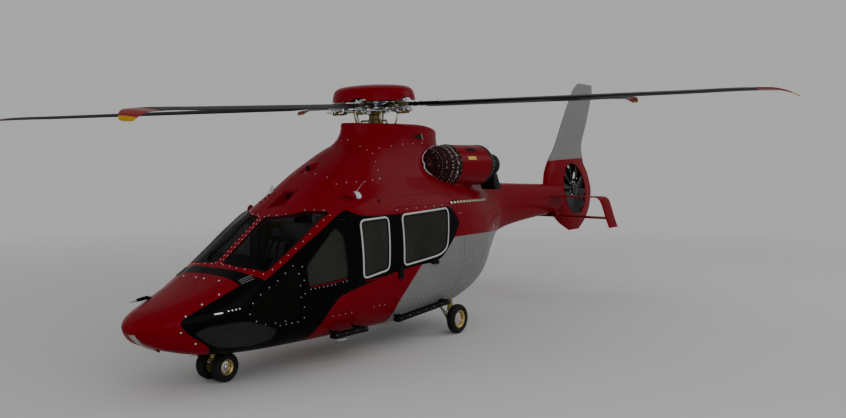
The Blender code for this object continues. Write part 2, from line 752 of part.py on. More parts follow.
def make_exhausts():
    for side, word in ((1, "port"), (-1, "starboard")):
        pipe = pod_solid(f"exhaust_{word}", side, EXHAUST_R, EXHAUST_INNER_X, EXHAUST_REAR_X)
        bore = pod_solid("tool", side, EXHAUST_R - EXHAUST_WALL, EXHAUST_INNER_X + 0.1, EXHAUST_REAR_X - 0.1)
        combine(pipe, bore)
        dress(pipe, BLACK, 0.6, 0.5)


def make_powerplant():
    """Main gearbox and both engines as plain blocks on the roof deck."""
    base = DECK_Z + FIT
    block = box("powerplant", (-GEARBOX_HALF_X, -GEARBOX_HALF_Y, base),
                (GEARBOX_HALF_X, GEARBOX_HALF_Y, GEARBOX_TOP))
    foot = MAST_LOW - FIT
    combine(block, rod("tool", BOSS_R, (0.0, 0.0, foot - BOSS_DEPTH), (0.0, 0.0, foot), ROTOR_AXIS), "UNION")
    for side in (1, -1):
        y = side * POD_Y
        combine(block, box("tool", (ENGINE_REAR_X, y - ENGINE_HALF, POD_Z - ENGINE_HALF),
                           (ENGINE_FRONT_X, y + ENGINE_HALF, POD_Z + ENGINE_HALF)), "UNION")
        inner = side * (GEARBOX_HALF_Y - SHAFT_HALF)
        low, high = sorted((inner - side * SHAFT_HALF, y - side * (ENGINE_HALF - SHAFT_HALF / 2)))
        combine(block, box("tool", (ENGINE_FRONT_X - SHAFT_HALF, low, POD_Z - SHAFT_HALF),
                           (-GEARBOX_HALF_X + SHAFT_HALF, high, POD_Z + SHAFT_HALF)), "UNION")
    dress(block, STEEL, 0.5, 0.8)


def make_boom():
    dress(body_solid("tail_boom", BOOM_JOINT_X - FIT, BOOM_END_X), RED, 0.25)


def make_fin():
    rows = [(Vector((nose, 0.0, up)), Vector((tail, 0.0, up)), half)
            for up, nose, tail, half in ((r[0], r[1] - FAN_X, r[2] - FAN_X, r[3]) for r in FIN_LINES)]
    fin = to_object("fin_and_duct", wing(rows, Vector((0.0, 1.0, 0.0))), FAN_AXIS)
    combine(fin, rod("tool", DUCT_R, (0.0, -1.0, 0.0), (0.0, 1.0, 0.0), FAN_AXIS, DUCT_SIDES))
    combine(fin, body_solid("tool", BOOM_JOINT_X, BOOM_END_X - FIT, -FIT))
    dress(fin, WHITE, 0.25)


def wheel_of_vanes(name, offset, half, vanes, tip, pitch, blade_half, chord_half):
    """Hub with a ring of vanes about the fan axis."""
    hub = rod(name, FAN_HUB_R, (0.0, offset - half, 0.0), (0.0, offset + half, 0.0), FAN_AXIS, 30)
    blades = bmesh.new()
    for i in range(vanes):
        start = len(blades.verts)
        bmesh.ops.create_cube(blades, size=1.0)
        blades.verts.ensure_lookup_table()
        verts = blades.verts[start:]
        inner = 0.8 * FAN_HUB_R
        bmesh.ops.scale(blades, verts=verts, vec=(2 * chord_half, 2 * blade_half, tip - inner))
        bmesh.ops.translate(blades, verts=verts, vec=(0.0, 0.0, (tip + inner) / 2))
        bmesh.ops.rotate(blades, verts=verts, matrix=Matrix.Rotation(pitch, 3, "Z"))
        turn = Matrix.Rotation(2 * math.pi * i / vanes, 3, "Y")
        bmesh.ops.rotate(blades, verts=verts, matrix=turn)
        bmesh.ops.translate(blades, verts=verts, vec=(0.0, offset, 0.0))
    return combine(hub, to_object("tool", blades, FAN_AXIS), "UNION")


def make_fan():
    rotor = wheel_of_vanes("tail_fan", FAN_OFFSET, FAN_HUB_HALF, FAN_BLADES, DUCT_R - FAN_TIP_GAP,
                           FAN_PITCH, FAN_BLADE_HALF, FAN_CHORD_HALF)
    dress(rotor, GREY, 0.4, 0.5)
    stator = wheel_of_vanes("fan_stator", STATOR_OFFSET, FAN_HUB_HALF, STATOR_VANES,
                            inscribed(DUCT_R, DUCT_SIDES) - FIT, math.pi / 2, VANE_HALF, STATOR_HALF)
    dress(stator, GREY, 0.4)


def plate_reach(height):
    """Half span of the stabiliser's end plates at a height."""
    for upper, lower in zip(STAB_LINES, STAB_LINES[1:]):
        if lower[1] <= height <= upper[1]:
            share = (upper[1] - height) / (upper[1] - lower[1])
            return upper[0] + share * (lower[0] - upper[0])
    return STAB_LINES[-1][0]


def make_stabiliser():
    """Upper and lower planes joined by their end plates, with a strut up to the boom."""
    lower = bmesh.new()
    bmesh.ops.create_cube(lower, size=1.0)
    size = (LOWER_PLANE_FRONT - LOWER_PLANE_REAR, 2 * plate_reach(LOWER_PLANE_Z), 2 * LOWER_PLANE_HALF)
    bmesh.ops.scale(lower, verts=lower.verts, vec=size)
    middle = (LOWER_PLANE_FRONT + LOWER_PLANE_REAR) / 2
    bmesh.ops.translate(lower, verts=lower.verts, vec=(middle, 0.0, LOWER_PLANE_Z))
    planes = to_object("stabiliser", lower, DATUM)
    for side in (1, -1):
        rows, normals = [], {}
        for i, (y, z, nose, tail, half) in enumerate(STAB_LINES):
            before = STAB_LINES[max(i - 1, 0)]
            after = STAB_LINES[min(i + 1, len(STAB_LINES) - 1)]
            run = Vector((0.0, side * (after[0] - before[0]), after[1] - before[1])).normalized()
            rows.append((Vector((nose, side * y, z)), Vector((tail, side * y, z)), half))
            normals[rows[-1][0].freeze()] = Vector((0.0, -run.z, run.y)) * side
        half_plane = to_object("tool", wing(rows, lambda nose: normals[nose]), DATUM)
        combine(planes, half_plane, "UNION")
    combine(planes, box("tool", (STRUT_REAR, -STRUT_HALF, LOWER_PLANE_Z),
                        (STRUT_FRONT, STRUT_HALF, STRUT_TOP)), "UNION")
    combine(planes, body_solid("tool", BOOM_JOINT_X, BOOM_END_X - 0.2, -FIT))
    combine(planes, bpy.data.objects["fin_tool"])
    dress(planes, RED, 0.25)


def make_fin_tool():
    """The duct body a little larger, to cut what seats against it."""
    rows = [(Vector((nose + FIT, 0.0, up)), Vector((tail - FIT, 0.0, up)), half + 2 * FIT)
            for up, nose, tail, half in ((r[0], r[1] - FAN_X, r[2] - FAN_X, r[3]) for r in FIN_LINES)]
    to_object("fin_tool", wing(rows, Vector((0.0, 1.0, 0.0))), FAN_AXIS)


# Main rotor

def make_mast():
    low = PLATE_TOP - PLATE_THICK
    profile = [(0.0, MAST_LOW), (MAST_R, MAST_LOW), (MAST_R, low), (PLATE_R, low), (PLATE_R, PLATE_TOP),
               (MAST_R, PLATE_TOP), (MAST_R, -HUB_HALF - FIT), (0.0, -HUB_HALF - FIT)]
    mast = turned("rotor_mast", profile, ROTOR_AXIS, sides=24)
    for i in range(BLADES):
        angle = FIRST_BLADE + 2 * math.pi * i / BLADES
        x, y = LINK_RING * math.cos(angle), LINK_RING * math.sin(angle)
        combine(mast, rod("tool", LINK_R, (x, y, PLATE_TOP - PLATE_THICK / 2),
                          (x, y, -ARM_HALF_THICK - FIT), ROTOR_AXIS, 10), "UNION")
    dress(mast, STEEL, 0.4, 0.8)


def make_hub():
    hub = turned("rotor_hub", [(0.0, -HUB_HALF), (HUB_R, -HUB_HALF), (HUB_R, HUB_HALF), (0.0, HUB_HALF)],
                 ROTOR_AXIS, sides=30)
    for i in range(BLADES):
        arm = box("tool", (HUB_R * 0.5, -ARM_HALF_WIDTH, -ARM_HALF_THICK),
                  (ARM_R, ARM_HALF_WIDTH, ARM_HALF_THICK), ROTOR_AXIS)
        arm.rotation_euler = (0.0, 0.0, FIRST_BLADE + 2 * math.pi * i / BLADES)
        combine(hub, arm, "UNION")
    dress(hub, STEEL, 0.4, 0.8)


def make_cap():
    rim = CAP_LOW + 0.10
    outer = [(0.0, CAP_TOP), (0.30 * CAP_R, CAP_TOP - 0.004), (0.62 * CAP_R, CAP_TOP - 0.022),
             (0.86 * CAP_R, CAP_TOP - 0.07), (0.97 * CAP_R, rim + 0.02), (CAP_R, CAP_LOW)]
    inner = [(r - CAP_WALL if r > 0.1 else r, z - CAP_WALL) for r, z in outer[:-1]]
    inner.append((CAP_R - CAP_WALL, CAP_LOW))
    cap = turned("rotor_cap", outer + list(reversed(inner)), ROTOR_AXIS, sides=36)
    post = rod("tool", 0.10, (0.0, 0.0, HUB_HALF + FIT), (0.0, 0.0, CAP_TOP - CAP_WALL / 2), ROTOR_AXIS, 20)
    combine(cap, post, "UNION")
    dress(cap, RED, 0.25)


def make_blades():
    for i in range(BLADES):
        rows = []
        for radius, lead, trail, half, droop in BLADE_LINES:
            reach = radius + FIT if radius == ARM_R else radius
            rows.append((Vector((reach, -lead, -droop)), Vector((reach, -trail, -droop)), half))
        blade = to_object(f"rotor_blade_{i + 1}", wing(rows, Vector((0.0, 0.0, 1.0))), ROTOR_AXIS)
        blade.rotation_euler = (0.0, 0.0, FIRST_BLADE + 2 * math.pi * i / BLADES)
        dress(blade, BLACK, 0.4)


# Landing gear

def tyre_profile(outer, rim, half):
    """Round-shouldered tyre section of radius and width."""
    low_wall, high_wall = rim + 0.35 * (outer - rim), outer - 0.25 * (outer - rim)
    return [(rim, -half * 0.75), (low_wall, -half), (high_wall, -half * 0.9), (outer, -half * 0.45),
            (outer, half * 0.45), (high_wall, half * 0.9), (low_wall, half), (rim, half * 0.75)]


def make_tyre(name, outer, rim, half, place):
    turn = Matrix.Rotation(math.radians(90.0), 4, "X")
    tyre = turned(name, tyre_profile(outer, rim, half), DATUM, place, turn, WHEEL_SIDES)
    dress(tyre, RUBBER, 0.8)


def make_nose_gear():
    leg = rod("nose_leg", NOSE_LEG_R, (NOSE_STRUT_X, 0.0, NOSE_LEG_LOW), (NOSE_STRUT_X, 0.0, 0.60))
    combine(leg, body_solid("tool", NOSE_BACK_X + 0.6, BULKHEAD_X, -FIT))
    keep_lowest(leg)
    dress(leg, GREY, 0.4, 0.4)
    top = NOSE_LEG_LOW - FIT
    fork = rod("nose_fork", NOSE_LEG_R, (NOSE_STRUT_X, 0.0, NOSE_TYRE_R), (NOSE_STRUT_X, 0.0, top))
    combine(fork, rod("tool", FORK_HUB_R, (NOSE_AXLE_X, -FORK_HUB_HALF, NOSE_TYRE_R),
                      (NOSE_AXLE_X, FORK_HUB_HALF, NOSE_TYRE_R)), "UNION")
    combine(fork, rod("tool", shaft_hole(NOSE_AXLE_R), (NOSE_AXLE_X, -0.2, NOSE_TYRE_R),
                      (NOSE_AXLE_X, 0.2, NOSE_TYRE_R)))
    place_origin(fork, (NOSE_STRUT_X, 0.0, NOSE_TYRE_R))
    dress(fork, STEEL, 0.3, 0.8)
    hub = rod("nose_rims", NOSE_AXLE_R, (NOSE_AXLE_X, -NOSE_WHEEL_Y, NOSE_TYRE_R),
              (NOSE_AXLE_X, NOSE_WHEEL_Y, NOSE_TYRE_R))
    for side, word in ((1, "port"), (-1, "starboard")):
        y = side * NOSE_WHEEL_Y
        combine(hub, rod("tool", NOSE_RIM_R - FIT, (NOSE_AXLE_X, y - RIM_WEB_HALF, NOSE_TYRE_R),
                         (NOSE_AXLE_X, y + RIM_WEB_HALF, NOSE_TYRE_R), None, WHEEL_SIDES), "UNION")
        make_tyre(f"nose_tyre_{word}", NOSE_TYRE_R, NOSE_RIM_R, NOSE_TYRE_HALF,
                  (NOSE_AXLE_X, y, NOSE_TYRE_R))
    place_origin(hub, (NOSE_AXLE_X, 0.0, NOSE_TYRE_R))
    dress(hub, STEEL, 0.3, 0.9)


def place_origin(item, place):
    place = Vector(place)
    item.data.transform(Matrix.Translation(-place))
    item.location = place


def keep_lowest(item):
    """Of a piece that a cut has parted, keep the lowest part."""
    shape = bmesh.new()
    shape.from_mesh(item.data)
    shape.verts.ensure_lookup_table()
    loose = set(shape.verts)
    parts = []
    while loose:
        heap = [loose.pop()]
        part = set(heap)
        while heap:
            for edge in heap.pop().link_edges:
                for vert in edge.verts:
                    if vert not in part:
                        part.add(vert)
                        heap.append(vert)
        loose -= part
        parts.append(part)
    lowest = min(parts, key=lambda part: min(vert.co.z for vert in part))
    extra = [vert for part in parts if part is not lowest for vert in part]
    bmesh.ops.delete(shape, geom=extra, context="VERTS")
    shape.to_mesh(item.data)
    shape.free()


def make_main_gear():
    for side, word in ((1, "port"), (-1, "starboard")):
        y = side * MAIN_LEG_Y
        leg = rod(f"main_leg_{word}", MAIN_LEG_R, (MAIN_X, y, MAIN_TYRE_R), (MAIN_X, y, MAIN_LEG_TOP))
        combine(leg, rod("tool", MAIN_KNUCKLE, (MAIN_X, y - side * MAIN_KNUCKLE, MAIN_TYRE_R),
                         (MAIN_X, side * (MAIN_Y - MAIN_TYRE_HALF - 0.006), MAIN_TYRE_R)), "UNION")
        combine(leg, rod("tool", MAIN_AXLE_R, (MAIN_X, y, MAIN_TYRE_R),
                         (MAIN_X, side * MAIN_Y, MAIN_TYRE_R)), "UNION")
        combine(leg, body_solid("tool", NOSE_BACK_X, BOOM_JOINT_X, -FIT))
        keep_lowest(leg)
        dress(leg, GREY, 0.4, 0.4)
        rim = rod(f"main_rim_{word}", MAIN_RIM_R - FIT, (MAIN_X, side * (MAIN_Y - RIM_WEB_HALF), MAIN_TYRE_R),
                  (MAIN_X, side * (MAIN_Y + RIM_WEB_HALF), MAIN_TYRE_R), None, WHEEL_SIDES)
        inner = side * (MAIN_Y - RIM_WEB_HALF - 0.1)
        combine(rim, rod("tool", shaft_hole(MAIN_AXLE_R), (MAIN_X, inner, MAIN_TYRE_R),
                         (MAIN_X, side * (MAIN_Y + FIT), MAIN_TYRE_R)))
        place_origin(rim, (MAIN_X, side * MAIN_Y, MAIN_TYRE_R))
        dress(rim, STEEL, 0.3, 0.9)
        make_tyre(f"main_tyre_{word}", MAIN_TYRE_R, MAIN_RIM_R, MAIN_TYRE_HALF,
                  (MAIN_X, side * MAIN_Y, MAIN_TYRE_R))


# Inside and underside

def make_floor():
    floor = box("cabin_floor", (BULKHEAD_X - FLOOR_THICK, -CUT_OUTER_Y, FLOOR_Z),
                (FLOOR_FRONT_X, CUT_OUTER_Y, FLOOR_Z + FLOOR_THICK))
    wall = box("tool", (BULKHEAD_X - FLOOR_THICK, -CUT_OUTER_Y, FLOOR_Z),
               (BULKHEAD_X, CUT_OUTER_Y, DECK_Z - WALL - FIT))
    combine(floor, wall, "UNION")
    combine(floor, body_solid("tool", BODY_LINES[3][0], BOOM_JOINT_X + WALL, WALL + FIT), "INTERSECT")
    dress(floor, GREY, 0.7)


def make_furniture():
    base = FLOOR_Z + FLOOR_THICK + FIT
    outline = [Vector((x, z + base)) for x, z in PANEL_PROFILE]
    dress(prism("instrument_panel", outline, -PANEL_HALF, PANEL_HALF, "Y"), BLACK, 0.6)
    seats = (("pilot_seat_port", PILOT_SEAT_X, PILOT_SEAT_Y, PILOT_SEAT_HALF),
             ("pilot_seat_starboard", PILOT_SEAT_X, -PILOT_SEAT_Y, PILOT_SEAT_HALF),
             ("cabin_bench", BENCH_X, 0.0, BENCH_HALF))
    for name, x, y, half in seats:
        outline = [Vector((x + dx, base + dz)) for dx, dz in PILOT_SEAT]
        dress(prism(name, outline, y - half, y + half, "Y"), GREY, 0.8)


def make_steps():
    for side, word in ((1, "port"), (-1, "starboard")):
        for name, front, back, height in STEPS:
            low, high = sorted((side * STEP_IN, side * STEP_OUT))
            step = box(f"{name}_step_{word}", (back, low, height - STEP_THICK), (front, high, height))
            low, high = sorted((side * BRACKET_IN, side * (STEP_IN + BRACKET_HALF)))
            for x in (back + BRACKET_INSET, front - BRACKET_INSET):
                combine(step, box("tool", (x - BRACKET_HALF, low, height - STEP_THICK),
                                  (x + BRACKET_HALF, high, height)), "UNION")
            combine(step, body_solid("tool", NOSE_BACK_X, BOOM_JOINT_X, -FIT))
            dress(step, BLACK, 0.6)


def make_hook_plate():
    half = HOOK_PLATE / 2
    plate = box("hook_plate", (-half, -half, HOOK_HEIGHT), (half, half, HOOK_HEIGHT + HOOK_THICK + 0.1))
    combine(plate, body_solid("tool", NOSE_BACK_X, BOOM_JOINT_X, -FIT))
    dress(plate, STEEL, 0.4, 0.8)


clear_scene()
DATUM = make_empty("airframe_datum", (0.0, 0.0, -HOOK_HEIGHT), (0.0, 0.0, 0.0))
ROTOR_AXIS = make_empty("rotor_axis", (0.0, 0.0, ROTOR_Z), (0.0, MAST_TILT, 0.0), DATUM)
FAN_AXIS = make_empty("fan_axis", (FAN_X, FAN_Y, FAN_Z), (CANT, 0.0, 0.0), DATUM)
make_cabin()
make_glass()
make_nose()
make_cowling()
make_intakes()
make_exhausts()
make_powerplant()
make_boom()
make_fin()
make_fin_tool()
make_fan()
make_stabiliser()
make_mast()
make_hub()
make_cap()
make_blades()
make_nose_gear()
make_main_gear()
make_floor()
make_furniture()
make_steps()
make_hook_plate()
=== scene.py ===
"""Looks of a twin-engined rescue helicopter: paint, glass, cabin, rotor head, gear and small fittings.
"""
import functools
import math

import bmesh
import bpy
from mathutils import Matrix, Vector, noise
from mathutils.bvhtree import BVHTree
from mathutils.interpolate import poly_3d_calc


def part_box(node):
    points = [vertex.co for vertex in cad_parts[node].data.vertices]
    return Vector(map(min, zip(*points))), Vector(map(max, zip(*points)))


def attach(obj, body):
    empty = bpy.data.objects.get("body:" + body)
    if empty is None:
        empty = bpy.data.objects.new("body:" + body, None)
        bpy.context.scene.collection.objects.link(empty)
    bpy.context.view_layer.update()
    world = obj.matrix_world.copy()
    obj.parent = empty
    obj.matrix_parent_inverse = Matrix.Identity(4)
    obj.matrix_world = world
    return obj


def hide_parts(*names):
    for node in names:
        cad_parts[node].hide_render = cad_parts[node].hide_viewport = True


bl_info = {
    "name": "Rescue helicopter",
    "version": (1, 0, 0),
    "blender": (4, 5, 0),
    "location": "3D View > Sidebar > Helicopter",
    "description": "Dresses the rescue helicopter's frame with skin, glass, cabin, rotor and gear",
    "category": "Object",
}

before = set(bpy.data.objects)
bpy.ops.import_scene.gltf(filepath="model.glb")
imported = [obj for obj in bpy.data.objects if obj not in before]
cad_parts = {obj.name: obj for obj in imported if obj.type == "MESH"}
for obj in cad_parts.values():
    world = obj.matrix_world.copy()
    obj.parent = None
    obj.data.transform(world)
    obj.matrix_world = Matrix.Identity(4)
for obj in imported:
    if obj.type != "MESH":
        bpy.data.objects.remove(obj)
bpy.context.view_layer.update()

GROUND = 0.365            # depth of the ground below the frame's origin

# Where the body is divided
NOSE_TIP_X = 4.88
NOSE_TIP_Z = 0.95
NOSE_SPLIT = ((3.62, 1.80), (3.60, 1.405), (3.90, 1.270), (4.17, 1.160), (4.36, 1.078), (4.415, 1.040), (4.432, 1.005),
              (4.420, 0.960), (4.355, 0.875), (4.26, 0.80), (4.14, 0.72), (4.04, 0.645), (3.96, 0.52), (3.90, 0.10),
              (5.20, 0.10), (5.20, 1.80))
BOOM_JOINT_X = -3.05
BOOM_END_X = -6.50
DECK_Z = 2.36

# Body lines: x, keel height, side half width and height, eave half width and height,
# waist half width and height, crown height
BODY_LINES = (
    (4.80, 0.83, 0.20, 0.94, 0.17, 1.00, 0.10, 1.03, 1.04),
    (4.65, 0.71, 0.37, 0.93, 0.32, 1.04, 0.19, 1.10, 1.12),
    (4.35, 0.59, 0.56, 0.94, 0.50, 1.10, 0.31, 1.19, 1.22),
    (3.95, 0.50, 0.73, 0.97, 0.66, 1.20, 0.44, 1.32, 1.36),
    (3.45, 0.45, 0.88, 1.02, 0.79, 1.40, 0.54, 1.54, 1.59),
    (3.00, 0.43, 0.96, 1.07, 0.84, 1.66, 0.56, 1.84, 1.91),
    (2.55, 0.42, 1.01, 1.12, 0.87, 1.94, 0.58, 2.14, 2.24),
    (2.10, 0.41, 1.04, 1.16, 0.91, 2.14, 0.66, 2.34, 2.55),
    (1.40, 0.40, 1.05, 1.18, 0.97, 2.20, 0.74, 2.56, 3.01),
    (0.70, 0.39, 1.05, 1.20, 0.98, 2.20, 0.70, 2.74, 3.34),
    (0.00, 0.38, 1.05, 1.20, 0.98, 2.20, 0.66, 2.80, 3.44),
    (-0.90, 0.42, 1.03, 1.25, 0.95, 2.20, 0.62, 2.80, 3.40),
    (-1.50, 0.51, 0.98, 1.35, 0.89, 2.18, 0.55, 2.74, 3.26),
    (-2.10, 0.65, 0.88, 1.48, 0.78, 2.17, 0.46, 2.64, 3.00),
    (-2.60, 0.83, 0.72, 1.64, 0.63, 2.17, 0.36, 2.54, 2.78),
    (-3.05, 1.19, 0.53, 1.84, 0.48, 2.20, 0.27, 2.47, 2.63),
    (-3.50, 1.57, 0.41, 2.00, 0.37, 2.26, 0.22, 2.48, 2.57),
    (-4.20, 1.69, 0.35, 2.07, 0.30, 2.32, 0.18, 2.49, 2.54),
    (-5.50, 1.79, 0.29, 2.13, 0.24, 2.35, 0.14, 2.455, 2.49),
    (-6.60, 1.86, 0.24, 2.15, 0.19, 2.36, 0.11, 2.43, 2.455),
)
BILGE_OUT, BILGE_UP = 0.70, 0.11
BROW_OUT, BROW_UP = 0.55, 0.80

# Windows and doors of one side: x and height (the windscreen: x and half width)
COCKPIT_DOOR = ((2.73, 0.84), (2.73, 1.62), (2.10, 2.12), (1.96, 2.18), (1.73, 2.18), (1.73, 0.82))
COCKPIT_WINDOW = ((2.64, 1.30), (2.64, 1.58), (2.10, 2.03), (2.00, 2.07), (1.88, 1.96), (1.86, 1.34))
QUARTER_WINDOW = ((3.58, 1.10), (3.38, 1.26), (3.09, 1.41), (2.81, 1.60), (2.81, 0.90),
                  (3.32, 0.89), (3.52, 0.99))
SIDE_WINDOW = ((1.505, 2.14), (1.52, 1.30), (0.94, 1.372), (0.872, 2.158))
CABIN_DOOR = ((0.66, 2.30), (0.66, 0.80), (-1.10, 0.80), (-1.10, 2.30))
CABIN_WINDOW = ((0.505, 2.170), (0.545, 1.395), (-0.30, 1.462), (-0.48, 1.495), (-0.61, 1.560), (-0.665, 1.65),
                (-0.780, 2.15), (-0.755, 2.213))
CHIN_WINDOW = ((4.285, 0.862), (4.14, 0.935), (3.90, 0.958), (3.58, 0.952), (3.35, 0.872), (3.09, 0.76),
               (3.11, 0.60), (3.42, 0.548), (3.87, 0.597), (4.045, 0.674))
WINDSCREEN = ((3.375, 0.060), (3.38, 0.44), (3.26, 0.785), (2.64, 0.838), (2.02, 0.843), (2.12, 0.70), (2.28, 0.552),
              (2.40, 0.482), (2.53, 0.30), (2.575, 0.055))
CORNER = 0.06

SCOOP_CORNERS = ((2.400, -0.057, 2.345), (2.316, 0.204, 2.394), (1.998, 0.178, 2.612), (2.029, -0.045, 2.598))
SCOOP_DEPTHS = (0.018, 0.030, 0.14, 0.14)
SCOOP_LIFT = Vector((0.06, 0.0, 0.10))      # the way out of the inlet

# Engine pods, intake domes, exhausts and the collar round the mast
POD_Y, POD_Z, POD_R = 0.50, 2.94, 0.37
DOME_TIP_X, POD_FRONT_X, POD_REAR_X = -0.58, -1.38, -2.40
EXHAUST_REAR_X = -2.86
COLLAR_X, COLLAR_FALL = -0.44, 0.13
COLLAR_LINES = ((3.10, 1.15, 0.430), (3.30, 1.155, 0.435), (3.50, 1.160, 0.445), (3.60, 1.175, 0.466),
                (3.645, 1.165, 0.458))
SPINE_Z = 2.75            # the body is drawn out to the pods from this line
BLEND = 0.08              # radius where the pods run into the body
FOOT_FRONT, FOOT_REAR = 0.42, 0.14    # how far the collar's foot runs out over the hump

# Main rotor
MAST_TILT = math.radians(3.6)
ROTOR_Z = 3.96
ROTOR_R = 6.70
BLADES = 5
FIRST_BLADE = math.radians(18.0)
ARM_R = 0.78              # where a blade begins
BLADE_PITCH = math.radians(12.0)
BLADE_BODY = 1.6          # a section's real half thickness over its lens's
BLADE_LINES = (
    (0.78, 0.070, -0.070, 0.028, 0.000), (1.00, 0.075, -0.090, 0.026, 0.000),
    (1.40, 0.095, -0.225, 0.020, 0.000), (3.50, 0.095, -0.225, 0.018, 0.000),
    (5.30, 0.095, -0.225, 0.016, 0.000), (5.95, 0.135, -0.190, 0.014, 0.000),
    (6.42, 0.105, -0.215, 0.012, 0.010), (6.60, 0.030, -0.220, 0.010, 0.048),
    (6.70, -0.055, -0.215, 0.008, 0.097),
)

# Fin, fan and stabiliser
FAN_PLACE = Vector((-7.19, 0.05, 2.32))
CANT = math.radians(9.0)
DUCT_R = 0.60
STATOR_OFFSET = -0.09
FAN_OFFSET = 0.0503
FIN_LINES = (
    (-0.95, -6.80, -7.32, 0.030), (-0.70, -6.32, -7.74, 0.120), (-0.36, -6.00, -8.06, 0.190),
    (0.00, -5.88, -8.20, 0.210), (0.34, -5.98, -8.14, 0.200), (0.66, -6.22, -7.98, 0.150),
    (0.98, -6.60, -8.00, 0.100), (1.68, -7.25, -8.52, 0.080), (2.46, -8.04, -9.05, 0.055),
    (2.60, -8.30, -9.08, 0.030),
)
STAB_LINES = (
    (0.15, 2.20, -5.74, -6.26, 0.030), (1.30, 2.22, -5.76, -6.24, 0.026), (1.41, 2.17, -5.80, -6.28, 0.024),
    (1.45, 2.05, -5.86, -6.32, 0.022), (1.48, 1.74, -6.02, -6.48, 0.020), (1.51, 1.54, -6.12, -6.58, 0.016),
)

# Landing gear
NOSE_STRUT_X, NOSE_AXLE_X = 3.49, 3.43
NOSE_WHEEL_Y, NOSE_TYRE_R, NOSE_TYRE_HALF, NOSE_RIM_R = 0.155, 0.21, 0.082, 0.11
NOSE_LEG_LOW = 0.36
MAIN_X, MAIN_Y, MAIN_LEG_Y = -1.18, 0.90, 0.74
MAIN_TYRE_R, MAIN_TYRE_HALF, MAIN_RIM_R = 0.255, 0.075, 0.150
RIM_HALF = 0.062
STEP_BOARDS = (("front", 2.10, 1.36, 0.545, 0.0), ("rear", 0.62, -0.82, 0.56, 0.10))   # front, back, height, rise aft

# Cabin
FLOOR_TOP = 0.67
PILOT_SEAT_X, PILOT_SEAT_Y = 2.10, 0.42
BENCH_X = -0.76

SIDES = ((1, "port"), (-1, "starboard"))
UP = Vector((0.0, 0.0, 1.0))
OVER_ROOF, OVER_COLLAR, BESIDE_BODY = 4.6, 4.5, 1.6     # where rays at the body start from
SEAM_R = 0.0026


# Curves, as the frame's own surface is drawn

def slopes(values, spots):
    steps = [(values[i + 1] - values[i]) / (spots[i + 1] - spots[i]) for i in range(len(spots) - 1)]
    inner = [2 * a * b / (a + b) if a * b > 0 else 0.0 for a, b in zip(steps, steps[1:])]
    return [steps[0]] + inner + [steps[-1]]


def read_line(spots, values, tangents, at):
    i = 0
    while i < len(spots) - 2 and at > spots[i + 1]:
        i += 1
    gap = spots[i + 1] - spots[i]
    t = (at - spots[i]) / gap
    return (values[i] * (1 + 2 * t) * (1 - t) ** 2 + tangents[i] * gap * t * (1 - t) ** 2
            + values[i + 1] * t * t * (3 - 2 * t) + tangents[i + 1] * gap * t * t * (t - 1))


def smooth_table(rows, at):
    """One row of a table read between its rows; the first column is what it is read by."""
    rows = rows if rows[0][0] < rows[-1][0] else tuple(reversed(rows))
    spots = [row[0] for row in rows]
    return [read_line(spots, column, slopes(column, spots), at) for column in zip(*(row[1:] for row in rows))]


def along(x):
    return math.sqrt(max(NOSE_TIP_X - x, 0.0))


BODY_SPOTS = [0.0] + [along(row[0]) for row in BODY_LINES]
BODY_TIP = (NOSE_TIP_Z, 0.0, NOSE_TIP_Z, 0.0, NOSE_TIP_Z, 0.0, NOSE_TIP_Z, NOSE_TIP_Z)
BODY_COLUMNS = [list(column) for column in zip(BODY_TIP, *(row[1:] for row in BODY_LINES))]
BODY_SLOPES = [slopes(column, BODY_SPOTS) for column in BODY_COLUMNS]


def rounded_loop(points, steps):
    """Smooth closed curve through a few points."""
    count, loop = len(points), []
    for i in range(count):
        a, b, c, d = (points[(i + k) % count] for k in (-1, 0, 1, 2))
        for step in range(steps):
            t = step / steps
            loop.append(0.5 * (2 * b + (c - a) * t + (2 * a - 5 * b + 4 * c - d) * t * t
                               + (3 * b - a - 3 * c + d) * t ** 3))
    return loop


def turns(count):
    """Angles that part a full turn evenly."""
    return [2 * math.pi * k / count for k in range(count)]


def smooth_max(a, b, reach):
    share = max(reach - abs(a - b), 0.0) / reach
    return max(a, b) + share * share * reach / 4


def swell(x, y, height):
    """Where a point of the plain body lies once the engine pods are blended on."""
    if not POD_REAR_X <= x <= POD_FRONT_X:
        return y, height
    run = Vector((y, height - SPINE_Z))
    reach = run.length
    run.normalize()
    centre = Vector((math.copysign(POD_Y, y), POD_Z - SPINE_Z))
    middle = run.dot(centre)
    left = middle * middle - centre.length_squared + POD_R * POD_R
    if left > 0:
        reach = smooth_max(reach, middle + math.sqrt(left), BLEND)
    return run.x * reach, SPINE_Z + run.y * reach


def body_ring(x, depth=0.0, steps=12, pods=False):
    """Ring of the body at x, drawn in by a depth, with or without the engine pods."""
    keel, side_w, side_z, eave_w, eave_z, waist_w, waist_z, crown = (
        read_line(BODY_SPOTS, column, tangent, along(x)) for column, tangent in zip(BODY_COLUMNS, BODY_SLOPES))
    half = (Vector((BILGE_OUT * side_w, keel + BILGE_UP * (side_z - keel))), Vector((side_w, side_z)),
            Vector((eave_w, eave_z)), Vector((waist_w, waist_z)),
            Vector((BROW_OUT * waist_w, waist_z + BROW_UP * (crown - waist_z))))
    mirrored = [Vector((-point.x, point.y)) for point in reversed(half)]
    loop = rounded_loop([Vector((0.0, keel)), *half, Vector((0.0, crown)), *mirrored], steps)
    ring, count = [], len(loop)
    for i, point in enumerate(loop):
        run = (loop[(i + 1) % count] - loop[i - 1]).normalized()
        moved = point + Vector((-run.y, run.x)) * depth
        ring.append(Vector((x, *(swell(x, moved.x, moved.y) if pods else moved))))
    return ring


